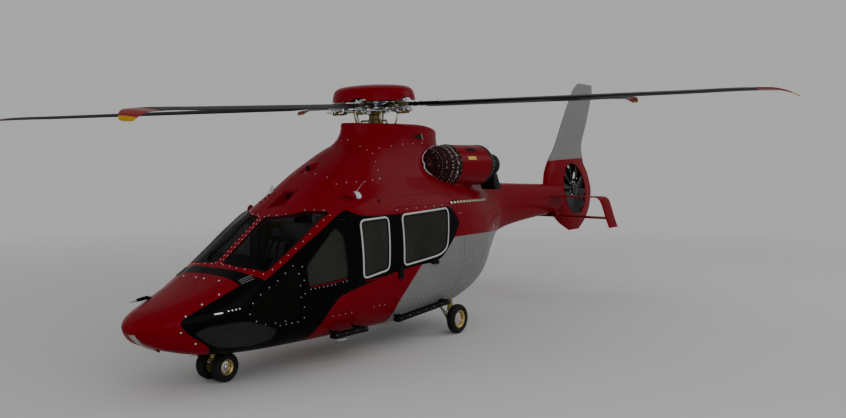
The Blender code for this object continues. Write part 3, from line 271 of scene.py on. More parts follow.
def collar_ring(height, out, steps=120):
    """Oval ring of the collar at a height, with its fall towards the tail. It is drawn in by metres (below 0),
    or moved out by a share of the foot's reach (above 0)."""
    length, width = smooth_table(COLLAR_LINES, height)
    ring = []
    for angle in turns(steps):
        reach = out * (FOOT_FRONT + FOOT_REAR + (FOOT_FRONT - FOOT_REAR) * math.cos(angle)) / 2 if out > 0 else out
        x = (length + reach) * math.cos(angle)
        fall = COLLAR_FALL * max(0.0, -x / (length + reach)) ** 2
        ring.append(Vector((COLLAR_X + x, (width + 0.75 * reach) * math.sin(angle), height - fall)))
    return ring


def collar(tube):
    """The collar with a foot that runs out into the hump it stands on."""
    ground = BVHTree.FromBMesh(tube)

    def drop(point):
        return ground.ray_cast(Vector((point.x, point.y, OVER_COLLAR)), -UP)[0]

    neck, foot = collar_ring(3.59, 0.0), [drop(point) for point in collar_ring(3.57, 1.0)]
    wall = [drop(point) for point in neck]
    rings = [[point - 0.06 * UP for point in foot]]
    for step in range(13):
        t = step / 12
        rings.append([(1 - t) ** 2 * a + 2 * t * (1 - t) * b + t * t * c - 0.003 * UP
                      for a, b, c in zip(foot, wall, neck)])
    rings += [collar_ring(height, out) for height, out in (
        (3.607, 0.0), (3.624, 0.0), (3.637, 0.0), (3.644, -0.010), (3.644, -0.030), (3.629, -0.040), (3.56, -0.05))]
    return wrap_rings(rings)


# Meshes

def wrap_grid(shape, columns, rows, place):
    """A grid of faces whose corners are put where place(column, row) says."""
    made = bmesh.ops.create_grid(shape, x_segments=columns - 1, y_segments=rows - 1, size=0.5)["verts"]
    for vert in made:
        vert.co = place(round((vert.co.x + 0.5) * (columns - 1)), round((vert.co.y + 0.5) * (rows - 1)))
    return made


def wrap_rings(rings, closed_ends=True):
    """Skin through rings of equal length."""
    shape = bmesh.new()
    count = len(rings[0])
    wrap_grid(shape, len(rings), count + 1, lambda i, j: rings[i][j % count])
    bmesh.ops.remove_doubles(shape, verts=shape.verts, dist=1e-6)
    if closed_ends:
        bmesh.ops.holes_fill(shape, edges=[edge for edge in shape.edges if edge.is_boundary], sides=0)
    bmesh.ops.recalc_face_normals(shape, faces=shape.faces)
    return shape


def join(shape, part, matrix=None, slot=0):
    """Put a part into a piece, turned by a matrix, with one of the piece's materials or, for None, its own."""
    if matrix is not None:
        bmesh.ops.transform(part, matrix=matrix, verts=part.verts)
    if slot is not None:
        for face in part.faces:
            face.material_index = slot
    mesh = bpy.data.meshes.new("part")
    part.to_mesh(mesh)
    part.free()
    shape.from_mesh(mesh)
    bpy.data.meshes.remove(mesh)
    return shape


def soften(points, radius, steps=6):
    """Closed outline with round corners."""
    points, outline = vectors(points), []
    for i, corner in enumerate(points):
        back, ahead = points[i - 1] - corner, points[(i + 1) % len(points)] - corner
        reach = min(radius, 0.4 * back.length, 0.4 * ahead.length)
        start, end = corner + back.normalized() * reach, corner + ahead.normalized() * reach
        for step in range(steps + 1):
            t = step / steps
            outline.append((1 - t) ** 2 * start + 2 * t * (1 - t) * corner + t * t * end)
    return outline


def grow(outline, distance):
    """Closed flat outline moved outwards."""
    area = sum(a.x * b.y - b.x * a.y for a, b in zip(outline, outline[1:] + outline[:1]))
    side = 1.0 if area > 0 else -1.0
    moved = []
    for i, point in enumerate(outline):
        before, after = point - outline[i - 1], outline[(i + 1) % len(outline)] - point
        out_a = Vector((before.y, -before.x)).normalized() * side
        out_b = Vector((after.y, -after.x)).normalized() * side
        bisector = (out_a + out_b).normalized()
        moved.append(point + bisector * (distance / max(bisector.dot(out_a), 0.5)))
    return moved


def edge_line(outline, out=0.0, pitch=0.03, corner=CORNER):
    """Evenly spaced points on an outline with round corners, moved outwards."""
    return spaced(grow(soften(outline, corner), out), pitch)


def vectors(points):
    return [Vector(point) for point in points]


def line_points(corners, pitch, closed=False):
    return spaced(vectors(corners), pitch, closed)


def span(side, near, far):
    """Low and high end of a reach given as distances from the middle plane."""
    return sorted((side * near, side * far))


def spaced(points, pitch, closed=True):
    """Points at even spacing along a line."""
    line = list(points) + ([points[0]] if closed else [])
    total = sum((b - a).length for a, b in zip(line, line[1:]))
    count = max(2, round(total / pitch))
    even, at, i = [], 0.0, 0
    for step in range(count + (0 if closed else 1)):
        want = total * step / count
        while i < len(line) - 2 and at + (line[i + 1] - line[i]).length < want:
            at += (line[i + 1] - line[i]).length
            i += 1
        run = line[i + 1] - line[i]
        even.append(line[i] + run * ((want - at) / run.length if run.length else 0.0))
    return even


def prism(outline, low, high, axis="Y"):
    """Outline extruded along Y (drawn in x and height) or along Z (drawn in x and y)."""
    shape = bmesh.new()
    put = (lambda p: (p.x, low, p.y)) if axis == "Y" else (lambda p: (p.x, p.y, low))
    face = shape.faces.new([shape.verts.new(put(point)) for point in outline])
    made = bmesh.ops.extrude_face_region(shape, geom=[face])["geom"]
    lift = (high - low) * (Vector((0.0, 1.0, 0.0)) if axis == "Y" else UP)
    bmesh.ops.translate(shape, verts=[item for item in made if isinstance(item, bmesh.types.BMVert)], vec=lift)
    bmesh.ops.recalc_face_normals(shape, faces=shape.faces)
    return shape


def lathe(profile, steps=48, closed=False):
    """Profile of radius and height turned about Z."""
    shape = bmesh.new()
    verts = [shape.verts.new((r, 0.0, z)) for r, z in profile]
    edges = [shape.edges.new(pair) for pair in zip(verts, verts[1:] + (verts[:1] if closed else []))]
    bmesh.ops.spin(shape, geom=verts + edges, cent=(0, 0, 0), axis=(0, 0, 1), angle=2 * math.pi, steps=steps,
                   use_merge=True)
    bmesh.ops.remove_doubles(shape, verts=shape.verts, dist=1e-6)
    bmesh.ops.recalc_face_normals(shape, faces=shape.faces)
    return shape


def ease(shape, offset, segments=2, edges=None):
    """Round all edges of a shape, or the given ones."""
    bmesh.ops.bevel(shape, geom=shape.edges[:] if edges is None else edges, offset=offset, segments=segments,
                    profile=0.5, affect="EDGES", material=-1)
    return shape


def level_edges(shape):
    return [edge for edge in shape.edges if abs(edge.verts[0].co.z - edge.verts[1].co.z) < 1e-6]


def bar(start, end, radius, steps=16, radius_end=None, chamfer=0.0):
    """Round bar between two points."""
    start, end = Vector(start), Vector(end)
    run = end - start
    shape = bmesh.new()
    bmesh.ops.create_cone(shape, cap_ends=True, segments=steps, radius1=radius,
                          radius2=radius if radius_end is None else radius_end, depth=run.length)
    if chamfer:
        ease(shape, chamfer, edges=level_edges(shape))
    turn = run.to_track_quat("Z", "Y").to_matrix().to_4x4()
    bmesh.ops.transform(shape, matrix=Matrix.Translation((start + end) / 2) @ turn, verts=shape.verts)
    return shape


def block(low, high, edge=0.0, segments=2):
    """Box with softened edges."""
    shape = bmesh.new()
    bmesh.ops.create_cube(shape, size=1.0)
    low, high = Vector(low), Vector(high)
    bmesh.ops.scale(shape, verts=shape.verts, vec=high - low)
    bmesh.ops.translate(shape, verts=shape.verts, vec=(low + high) / 2)
    return ease(shape, edge, segments) if edge else shape


def pipe(points, radius, sides=10, closed=False):
    """Round tube along a line of points; radius may be one number or one for each point."""
    points = vectors(points)
    count = len(points)
    radii = radius if isinstance(radius, (list, tuple)) else [radius] * count
    rings, side = [], None
    for i, point in enumerate(points):
        after = points[(i + 1) % count] if closed or i < count - 1 else point
        before = points[i - 1] if closed or i else point
        run = (after - before).normalized()
        if side is None:
            side = run.orthogonal()
        side = (side - run * side.dot(run)).normalized()
        up = run.cross(side)
        rings.append([point + (side * math.cos(a) + up * math.sin(a)) * radii[i] for a in turns(sides)])
    if closed:
        rings.append(rings[0])
    return wrap_rings(rings, not closed)


def add_bars(shape, rows, place=None):
    """Join round bars: start, end, radius, sides, chamfer and material of each."""
    for start, end, radius, sides, chamfer, slot in rows:
        join(shape, bar(start, end, radius, sides, chamfer=chamfer), place, slot)


def add_blocks(shape, rows, place=None):
    """Join softened boxes: low corner, high corner, edge, its segments and material of each."""
    for low, high, edge, segments, slot in rows:
        join(shape, block(low, high, edge, segments), place, slot)


def add_turned(shape, rows, place):
    """Join lathed parts: profile, steps, spot and material of each."""
    for profile, steps, spot, slot in rows:
        join(shape, lathe(profile, steps), place @ Matrix.Translation(spot), slot)


def both_sides(rows):
    """Rows of bars, with the same again on the other side of the middle plane."""
    return [*rows, *(((a[0], -a[1], a[2]), (b[0], -b[1], b[2]), *rest) for a, b, *rest in rows)]


def wing(rows, up, count=14):
    """Lens-shaped sections between noses and tails; each row has nose, tail and half thickness."""
    rings = []
    for index, (nose, tail, half) in enumerate(rows):
        lift = up(index) if callable(up) else up
        top = []
        for k in range(count + 1):
            share = (1 - math.cos(math.pi * k / count)) / 2
            thick = 2.6 * (0.62 * math.sqrt(share) - 0.30 * share - 0.30 * share ** 2 + 0.02) * half
            if k == 0:
                thick = 0.0
            top.append((share, max(thick, 0.0)))
        upper = [nose.lerp(tail, share) + lift * thick for share, thick in top]
        lower = [nose.lerp(tail, share) - lift * thick for share, thick in top[1:-1]]
        rings.append(upper + list(reversed(lower)))
    return wrap_rings(rings)


def to_object(name, shape):
    mesh = bpy.data.meshes.new(name)
    shape.to_mesh(mesh)
    shape.free()
    item = bpy.data.objects.new(name, mesh)
    bpy.context.scene.collection.objects.link(item)
    return item


def combine(shape, tool, operation="DIFFERENCE"):
    """Cut, join or intersect one part with another; both are used up."""
    for part in (shape, tool):
        bmesh.ops.triangulate(part, faces=part.faces)
    item, cutter = to_object("part", shape), to_object("tool", tool)
    modifier = item.modifiers.new("combine", "BOOLEAN")
    modifier.operation, modifier.solver, modifier.object = operation, "EXACT", cutter
    bpy.context.view_layer.update()
    mesh = bpy.data.meshes.new_from_object(item.evaluated_get(bpy.context.evaluated_depsgraph_get()))
    for scrap in (item, cutter):
        old = scrap.data
        bpy.data.objects.remove(scrap, do_unlink=True)
        bpy.data.meshes.remove(old)
    made = bmesh.new()
    made.from_mesh(mesh)
    bpy.data.meshes.remove(mesh)
    return made


def finish(name, shape, body, looks, stands_for=(), sharp=35.0, form=None, lining=None):
    """Make a piece of a shape: lowered to the frame, shaded, painted and riding on its body."""
    if form:
        smooth = form_normals(shape, form, lining)
    bmesh.ops.translate(shape, verts=shape.verts, vec=-GROUND * UP)
    item = to_object(name, shape)
    for look in looks if isinstance(looks, (list, tuple)) else [looks]:
        item.data.materials.append(look)
    item.data.shade_smooth()
    if form:
        item.data.normals_split_custom_set(smooth)
    elif sharp:
        item.data.set_sharp_from_angle(angle=math.radians(sharp))
    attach(item, body)
    if stands_for:
        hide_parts(*stands_for)
    return item


# The fine body surface that panels are cut from and fittings lie on

class Form:
    """A closed fine surface with the normals at its corners."""

    def __init__(self, shape, sharp=38.0):
        mesh = bpy.data.meshes.new("form")
        shape.to_mesh(mesh)
        shape.free()
        mesh.shade_smooth()
        mesh.set_sharp_from_angle(angle=math.radians(sharp))
        self.points = [vert.co.copy() for vert in mesh.vertices]
        self.faces = [tuple(face.vertices) for face in mesh.polygons]
        loops = [normal.vector.copy() for normal in mesh.corner_normals]
        self.normals = [loops[face.loop_start:face.loop_start + face.loop_total] for face in mesh.polygons]
        self.tree = BVHTree.FromPolygons(self.points, self.faces)
        bpy.data.meshes.remove(mesh)

    def _normal(self, spot, index):
        weights = poly_3d_calc([self.points[i] for i in self.faces[index]], spot)
        return sum((n * w for n, w in zip(self.normals[index], weights)), Vector()).normalized()

    def near(self, point):
        spot, _, index, _ = self.tree.find_nearest(point)
        return spot, self._normal(spot, index)

    def cast(self, start, run):
        spot, _, index, _ = self.tree.ray_cast(Vector(start), Vector(run))
        if spot is None:
            raise ValueError(f"nothing below {tuple(start)}")
        return spot, self._normal(spot, index)


def form_normals(shape, form, lining):
    """Corner normals taken from a form where a face lies along it, flat elsewhere.
    Faces that look inwards get the lining's material."""
    shape.faces.ensure_lookup_table()
    normals = []
    for face in shape.faces:
        centre = face.calc_center_median()
        flat = face.normal
        facing = form.near(centre)[1].dot(flat)
        if facing < -0.7 and lining is not None:
            face.material_index = lining
        for loop in face.loops:
            if abs(facing) > 0.8:
                normal = form.near(loop.vert.co.lerp(centre, 0.02))[1]
                normals.append(normal if facing > 0 else -normal)
            else:
                normals.append(flat.copy())
    return normals


def body_places(front, back, fine=0.03, coarse=0.07):
    """Stations down the body, closer at the nose tip and round the pods and collar."""
    places, x = [], front
    while x > back:
        places.append(x)
        if x > 3.4:
            x = NOSE_TIP_X - (along(x) + fine) ** 2
        else:
            x -= fine if -2.6 < x < 1.0 else coarse
    places.append(back)
    for edge in (POD_FRONT_X, POD_REAR_X):
        if back < edge < front:
            places = [x for x in places if abs(x - edge) > 0.012] + [edge + 0.0005, edge - 0.0005]
    return sorted(places, reverse=True)


def body_tube(front, back, depth, steps=12, fine=0.03, coarse=0.07, pods=False):
    return wrap_rings([body_ring(x, depth, steps, pods) for x in body_places(front, back, fine, coarse)])


def hollow(outer, inner):
    """A solid with a hollow of its own inside it."""
    bmesh.ops.reverse_faces(inner, faces=inner.faces)
    mesh = bpy.data.meshes.new("part")
    inner.to_mesh(mesh)
    inner.free()
    outer.from_mesh(mesh)
    bpy.data.meshes.remove(mesh)
    return outer


def body_outside():
    """The whole body as one closed surface: pods blended on, collar joined on top."""
    hump = body_tube(1.6, BOOM_JOINT_X, 0.0)
    top = collar(hump)
    hump.free()
    return combine(body_tube(NOSE_TIP_X - 0.0015, BOOM_END_X, 0.0, pods=True), top, "UNION")


@functools.cache
def body_form():
    return Form(body_outside())


def islands(shape):
    """The separate parts of a shape, each as a list of vertices."""
    loose, parts = set(shape.verts), []
    while loose:
        heap = [loose.pop()]
        part = set(heap)
        while heap:
            for edge in heap.pop().link_edges:
                for vert in edge.verts:
                    if vert not in part:
                        part.add(vert)
                        heap.append(vert)
        loose -= part
        parts.append(list(part))
    return parts


def pick(shape, wanted):
    """A copy of those separate parts of a shape whose middle is wanted."""
    copy = shape.copy()
    extra = []
    for part in islands(copy):
        low = Vector([min(vert.co[k] for vert in part) for k in range(3)])
        high = Vector([max(vert.co[k] for vert in part) for k in range(3)])
        if not wanted((low + high) / 2):
            extra += part
    bmesh.ops.delete(copy, geom=extra, context="VERTS")
    return copy


def on_side(form, side, x, height):
    """The body's side seen from outside at x and height, and the normal there."""
    return form.cast((x, side * BESIDE_BODY, height), (0.0, -side, 0.0))


def on_top(form, x, y):
    return form.cast((x, y, OVER_ROOF), -UP)


def draped(form, line, side, from_top=False):
    """Points and normals of a drawn line laid on the body, from the side or from above."""
    if from_top:
        return [on_top(form, p.x, side * p.y) for p in line]
    return [on_side(form, side, p.x, p.y) for p in line]


def strip(spots, profile, closed=True):
    """A bar of any section along points with normals; the profile is drawn across and out."""
    rings, count = [], len(spots)
    for i, (point, out) in enumerate(spots):
        after = spots[(i + 1) % count][0] if closed or i < count - 1 else point
        before = spots[i - 1][0] if closed or i else point
        run = (after - before).normalized()
        across = run.cross(out).normalized()
        rings.append([point + across * a + out * b for a, b in profile])
    if closed:
        rings.append(rings[0])
    return wrap_rings(rings, not closed)


def half_round(width, height, sink=0.004):
    """Section of a raised strip: flat below, rounded above."""
    return [(-width / 2, -sink)] + [(-width / 2 * math.cos(a), height * math.sin(a) ** 0.6)
                                    for a in (math.pi * k / 8 for k in range(1, 8))] + [(width / 2, -sink)]


def screws(spots, radius, height=0.0035):
    """Low round heads at points with normals."""
    whole = bmesh.new()
    for point, out in spots:
        turn = out.to_track_quat("Z", "Y").to_matrix().to_4x4()
        bmesh.ops.create_cone(whole, cap_ends=True, segments=8, radius1=radius, radius2=0.62 * radius,
                              depth=height + 0.002,
                              matrix=Matrix.Translation(point + out * (height / 2 - 0.001)) @ turn)
    return whole


def side_prism(points, side, distance=0.0):
    return prism(grow(soften(points, CORNER), distance), *span(side, 0.30, 1.40))


def top_prism(points, side, distance=0.0):
    return prism(grow(soften([(x, side * y) for x, y in points], CORNER), distance), 1.20, 2.80, "Z")


def slice_off(shape, spot, normal, before=False):
    """Take away what lies past a plane, or before it."""
    bmesh.ops.bisect_plane(shape, geom=shape.verts[:] + shape.edges[:] + shape.faces[:], plane_co=spot,
                           plane_no=normal, clear_inner=before, clear_outer=not before)


def gather(parts):
    whole = bmesh.new()
    for part in parts:
        join(whole, part)
    return whole


def middle(points):
    return Vector((sum(p[0] for p in points) / len(points), sum(p[1] for p in points) / len(points)))


# Materials

def link(tree, source, target):
    tree.links.new(source, target)


def node(tree, kind, inputs=(), **values):
    """A shader node; inputs are numbers, colours or other nodes' outputs, by socket name or number."""
    made = tree.nodes.new("ShaderNode" + kind)
    for name, value in values.items():
        setattr(made, name, value)
    for name, value in dict(inputs).items():
        socket = made.inputs[name]
        if isinstance(value, bpy.types.NodeSocket):
            tree.links.new(value, socket)
        else:
            socket.default_value = value
    return made


def math_node(tree, operation, a, b=0.5, c=0.5):
    return node(tree, "Math", {0: a, 1: b, 2: c}, operation=operation).outputs[0]


def mix(tree, factor, a, b):
    return node(tree, "Mix", {0: factor, 6: a, 7: b}, data_type="RGBA").outputs[2]


def effect(name, sockets, outputs):
    """A node group with number inputs and named outputs; gives its tree and end nodes."""
    group = bpy.data.node_groups.new(name, "ShaderNodeTree")
    for label, kind, value in sockets:
        made = group.interface.new_socket(label, in_out="INPUT", socket_type=kind)
        made.default_value = value
    for label, kind in outputs:
        group.interface.new_socket(label, in_out="OUTPUT", socket_type=kind)
    return group, group.nodes.new("NodeGroupInput").outputs, group.nodes.new("NodeGroupOutput").inputs


def place_group(tree, group, inputs=()):
    made = tree.nodes.new("ShaderNodeGroup")
    made.node_tree = group
    for name, value in dict(inputs).items():
        if isinstance(value, bpy.types.NodeSocket):
            tree.links.new(value, made.inputs[name])
        else:
            made.inputs[name].default_value = value
    return made.outputs


@functools.cache
def grime():
    """Slow change of tone and fine dust, with a height for a bump."""
    group, given, out = effect("surface_wear", (
        ("Scale", "NodeSocketFloat", 3.0), ("Tone", "NodeSocketFloat", 0.08), ("Dust", "NodeSocketFloat", 0.1)),
        (("Shade", "NodeSocketFloat"), ("Dust", "NodeSocketFloat"), ("Height", "NodeSocketFloat")))
    place = node(group, "TexCoord").outputs["Object"]
    slow = node(group, "TexNoise", {"Vector": place, "Scale": given["Scale"], "Detail": 3.0}).outputs[0]
    fine_scale = math_node(group, "MULTIPLY", given["Scale"], 24.0)
    fine = node(group, "TexNoise", {"Vector": place, "Scale": fine_scale, "Detail": 4.0}).outputs[0]
    spread = math_node(group, "SUBTRACT", slow, 0.5)
    link(group, math_node(group, "MULTIPLY_ADD", spread, given["Tone"], 1.0), out["Shade"])
    specks = math_node(group, "MULTIPLY", fine, slow)
    link(group, math_node(group, "MULTIPLY", specks, given["Dust"]), out["Dust"])
    link(group, math_node(group, "MULTIPLY_ADD", fine, 0.6, slow), out["Height"])
    return group


def material(name):
    look = bpy.data.materials.new(name)
    look.use_nodes = True
    tree = look.node_tree
    return look, tree, tree.nodes["Principled BSDF"]


def set_sockets(shader, values):
    for name, value in values.items():
        shader.inputs[name].default_value = value


@functools.cache
def finish_of(name, color, rough=0.4, metal=0.0, scale=4.0, tone=0.25, dust=0.15, bump=0.0004, coat=0.0, dirt=None,
              specular=0.5):
    """A worn plain finish: metal, plastic, rubber or plain paint."""
    look, tree, shader = material(name)
    wear = place_group(tree, grime(), {"Scale": scale, "Tone": tone, "Dust": dust})
    base = node(tree, "HueSaturation", {"Color": (*color, 1.0), "Value": wear["Shade"]}).outputs[0]
    soiled = dirt or tuple(min(0.8, 1.3 * c + 0.012) for c in color)
    link(tree, mix(tree, wear["Dust"], base, (*soiled, 1.0)), shader.inputs["Base Color"])
    link(tree, math_node(tree, "MULTIPLY_ADD", wear["Dust"], 1.2, rough), shader.inputs["Roughness"])
    set_sockets(shader, {"Metallic": metal, "Coat Weight": coat, "Coat Roughness": 0.03,
                         "Specular IOR Level": specular})
    if bump:
        height = node(tree, "Bump", {"Height": wear["Height"], "Distance": bump, "Strength": 0.6})
        link(tree, height.outputs[0], shader.inputs["Normal"])
    return look


def curve_of(tree, value, low, high, points, top):
    """A drawn line: height at each x, read by a curve node."""
    share = node(tree, "MapRange", {"Value": value, "From Min": low, "From Max": high}).outputs[0]
    line = node(tree, "FloatCurve", {"Value": share})
    curve = line.mapping.curves[0]
    marks = sorted(((x - low) / (high - low), height / top) for x, height in points)
    curve.points[0].location, curve.points[1].location = marks[0], marks[-1]
    for mark in marks[1:-1]:
        curve.points.new(*mark)
    for point in curve.points:
        point.handle_type = "AUTO_CLAMPED"
    line.mapping.update()
    return math_node(tree, "MULTIPLY", line.outputs[0], top)


# Edges of the painted areas: x and height
BLACK_TOP = ((-1.30, 0.9), (-1.13, 1.80), (-1.11, 1.97), (-1.02, 2.12), (-0.90, 2.23), (-0.78, 2.255), (-0.46, 2.24),
             (0.01, 2.21), (0.55, 2.20), (1.10, 2.20), (1.32, 2.21), (1.48, 2.23), (1.62, 2.27), (1.75, 2.315),
             (1.90, 2.26), (2.06, 2.18), (2.25, 2.07), (2.42, 1.97), (2.60, 1.87), (2.76, 1.77), (2.93, 1.66),
             (3.09, 1.57), (3.24, 1.48), (3.40, 1.38))
BLACK_LOW = ((-1.30, 2.2), (-1.13, 2.05), (-1.10, 1.94), (-1.00, 1.83), (-0.88, 1.71), (-0.68, 1.55), (-0.56, 1.46),
             (-0.44, 1.40), (-0.27, 1.365), (0.13, 1.35), (0.70, 1.31), (1.04, 1.26), (1.38, 1.21), (1.69, 1.155),
             (1.86, 1.12), (2.00, 1.08), (2.11, 0.99), (2.19, 0.90), (2.27, 0.75), (2.35, 0.62), (2.41, 0.45),
             (2.46, 0.10), (3.40, 0.05))
WHITE_TOP = ((-4.30, 0.30), (-3.75, 1.30), (-3.33, 1.61), (-2.80, 1.665), (-2.20, 1.70), (-0.92, 1.725),
             (-0.60, 1.72), (-0.40, 1.60), (0.02, 1.39), (0.23, 1.20), (0.41, 0.985), (0.55, 0.76), (0.60, 0.30))
FIN_EDGE = ((-7.60, 3.045), (-6.90, 3.020), (-6.49, 3.008), (-6.25, 2.990), (-6.12, 3.030), (-6.00, 3.090))
BAR_EDGE = ((0.0, 3.472), (0.36, 3.452), (0.63, 3.41), (0.80, 3.325), (0.86, 3.24), (1.05, 3.0))


@functools.cache
def body_paint():
    """Gloss paint of the body: red above, black round the glass, white aft and below."""
    look, tree, shader = material("body_paint")
    paint = bpy.context.scene.helicopter_paint
    place = node(tree, "SeparateXYZ", {0: node(tree, "TexCoord").outputs["Object"]}).outputs
    height = math_node(tree, "ADD", place["Z"], GROUND)
    across = math_node(tree, "ABSOLUTE", place["Y"])
    x = place["X"]
    under_top = math_node(tree, "LESS_THAN", height, curve_of(tree, x, -1.30, 3.40, BLACK_TOP, 3.0))
    over_low = math_node(tree, "GREATER_THAN", height, curve_of(tree, x, -1.30, 3.40, BLACK_LOW, 3.0))
    ahead = math_node(tree, "GREATER_THAN", x, curve_of(tree, across, 0.0, 1.05, BAR_EDGE, 4.0))
    band = math_node(tree, "MULTIPLY", under_top, over_low)
    inside = math_node(tree, "GREATER_THAN", x, -1.29)
    black = math_node(tree, "MAXIMUM", math_node(tree, "MULTIPLY", band, inside), ahead)
    aft = math_node(tree, "LESS_THAN", height, curve_of(tree, x, -4.30, 0.60, WHITE_TOP, 3.0))
    behind = math_node(tree, "MULTIPLY", math_node(tree, "LESS_THAN", x, 0.595),
                       math_node(tree, "GREATER_THAN", x, -4.2))
    white = math_node(tree, "MULTIPLY", aft, behind)
    color = mix(tree, white, tuple(paint.red), tuple(paint.white))
    return gloss(look, tree, shader, mix(tree, black, color, tuple(paint.black)))


def gloss(look, tree, shader, color):
    """Clear-coated aircraft paint over a colour."""
    wear = place_group(tree, grime(), {"Scale": 1.7, "Tone": 0.12, "Dust": 0.014})
    base = node(tree, "HueSaturation", {"Color": color, "Value": wear["Shade"]}).outputs[0]
    link(tree, mix(tree, wear["Dust"], base, (0.20, 0.16, 0.12, 1.0)), shader.inputs["Base Color"])
    link(tree, math_node(tree, "MULTIPLY_ADD", wear["Dust"], 2.0, 0.26), shader.inputs["Roughness"])
    set_sockets(shader, {"Coat Weight": 0.045, "Coat Roughness": 0.05, "Coat IOR": 1.35, "Specular IOR Level": 0.02})
    peel = node(tree, "Bump", {"Height": wear["Height"], "Distance": 0.0005, "Strength": 0.14})
    link(tree, peel.outputs[0], shader.inputs["Normal"])
    return look


@functools.cache
def plain_gloss(name, color):
    look, tree, shader = material(name)
    base = node(tree, "RGB")
    base.outputs[0].default_value = color
    return gloss(look, tree, shader, base.outputs[0])


def red_gloss():
    return plain_gloss("red_gloss", tuple(bpy.context.scene.helicopter_paint.red))


@functools.cache
def fin_paint():
    """Fin: white above the duct, red below, with a soft sweep in the edge at the front."""
    look, tree, shader = material("fin_paint")
    paint = bpy.context.scene.helicopter_paint
    place = node(tree, "SeparateXYZ", {0: node(tree, "TexCoord").outputs["Object"]}).outputs
    height = math_node(tree, "ADD", place["Z"], GROUND)
    white = math_node(tree, "GREATER_THAN", height, curve_of(tree, place["X"], -7.60, -6.00, FIN_EDGE, 4.0))
    return gloss(look, tree, shader, mix(tree, white, tuple(paint.red), tuple(paint.white)))


@functools.cache
def tinted_glass(name="side_glass", alpha=0.76, tint=(0.032, 0.031, 0.027)):
    """Smoked pane with faint dust and a gradient of tint."""
    look, tree, shader = material(name)
    wear = place_group(tree, grime(), {"Scale": 2.4, "Tone": 1.1, "Dust": 0.02})
    base = node(tree, "HueSaturation", {"Color": (*tint, 1.0), "Value": wear["Shade"]}).outputs[0]
    link(tree, mix(tree, wear["Dust"], base, (0.06, 0.06, 0.06, 1.0)), shader.inputs["Base Color"])
    link(tree, math_node(tree, "MULTIPLY_ADD", wear["Dust"], 0.3, alpha), shader.inputs["Alpha"])
    link(tree, math_node(tree, "MULTIPLY_ADD", wear["Dust"], 0.2, 0.01), shader.inputs["Roughness"])
    set_sockets(shader, {"IOR": 1.45, "Specular IOR Level": 0.05})
    return look


def lining():
    return finish_of("cabin_lining", (0.16, 0.155, 0.145), 0.7, tone=0.3, scale=9.0, bump=0.001)


# Settings

def color_setting(name, description, *value):
    return bpy.props.FloatVectorProperty(name=name, description=description, subtype="COLOR", size=len(value),
                                         min=0.0, max=1.0, default=value)


def length_setting(name, description, value):
    return bpy.props.FloatProperty(name=name, description=description, unit="LENGTH", default=value)


class HelicopterPaint(bpy.types.PropertyGroup):
    """Colours of the outside."""
    red: color_setting("Red", "Upper body, nose and tail", 0.182, 0.0001, 0.0070, 1.0)
    # The white is white paint darkened to a mid grey; the darkening is painted shade of the white sides.
    white: color_setting("White", "Lower body aft and fin", 0.205, 0.205, 0.203, 1.0)
    black: color_setting("Black", "Surround of the windows", 0.0016, 0.0016, 0.0018, 1.0)


class HelicopterTrim(bpy.types.PropertyGroup):
    """Sizes of gaps, seals and screws."""
    door_gap: length_setting("Door gap", "Round a crew door", 0.008)
    panel_gap: length_setting("Panel gap", "Round a fixed panel", 0.005)
    wall: length_setting("Wall", "Thickness of the cabin wall", 0.040)
    seal_width: length_setting("Seal width", "Light frame round a cabin window", 0.032)
    seal_height: length_setting("Seal height", "How far that frame stands proud", 0.012)
    screw_radius: length_setting("Screw radius", "Head of a panel screw", 0.0090)
    screw_pitch: length_setting("Screw pitch", "Between panel screws", 0.125)


class HelicopterCabin(bpy.types.PropertyGroup):
    """Seats of the cabin."""
    seat_rise: length_setting("Seat rise", "How much higher the pilots sit than the bench", 0.16)
    voxel: length_setting("Cushion mesh", "Edge of the mesh a cushion is filled on", 0.006)
    give: length_setting("Cushion swell", "Most that a filled cushion swells", 0.012)


class HelicopterStage(bpy.types.PropertyGroup):
    """Floor, light and camera."""
    floor: color_setting("Floor", "Colour of the floor", 0.66, 0.66, 0.655)
    sky: color_setting("Sky", "Even light all round", 0.470, 0.470, 0.465)
    lens: bpy.props.FloatProperty(name="Lens", description="Focal length on a 36 mm wide sensor", min=1.0,
                                  default=36.55)


# Operators

PANES = (("cockpit_door_glass", COCKPIT_WINDOW, side_prism), ("quarter_glass", QUARTER_WINDOW, side_prism),
         ("side_glass", SIDE_WINDOW, side_prism), ("cabin_door_glass", CABIN_WINDOW, side_prism),
         ("chin_glass", CHIN_WINDOW, side_prism), ("windscreen", WINDSCREEN, top_prism))
DOORS = (("cockpit_door", COCKPIT_DOOR, COCKPIT_WINDOW), ("cabin_door", CABIN_DOOR, CABIN_WINDOW))


def nose_prism(distance):
    return prism(grow([Vector(point) for point in NOSE_SPLIT], distance), -1.40, 1.40)


def roof_scoop(form, rise):
    """Wedge of the sunk inlet in the roof: its floor falls away to the rear; rise lifts its open side."""
    spots = [form.cast(Vector(corner) + SCOOP_LIFT * 4, -SCOOP_LIFT)[0] for corner in SCOOP_CORNERS]
    corners = [spot - deep * UP for spot, deep in zip(spots, SCOOP_DEPTHS)] + [p + SCOOP_LIFT * rise for p in spots]
    shape = bmesh.new()
    bmesh.ops.convex_hull(shape, input=[shape.verts.new(point) for point in corners])
    bmesh.ops.recalc_face_normals(shape, faces=shape.faces)
    return shape


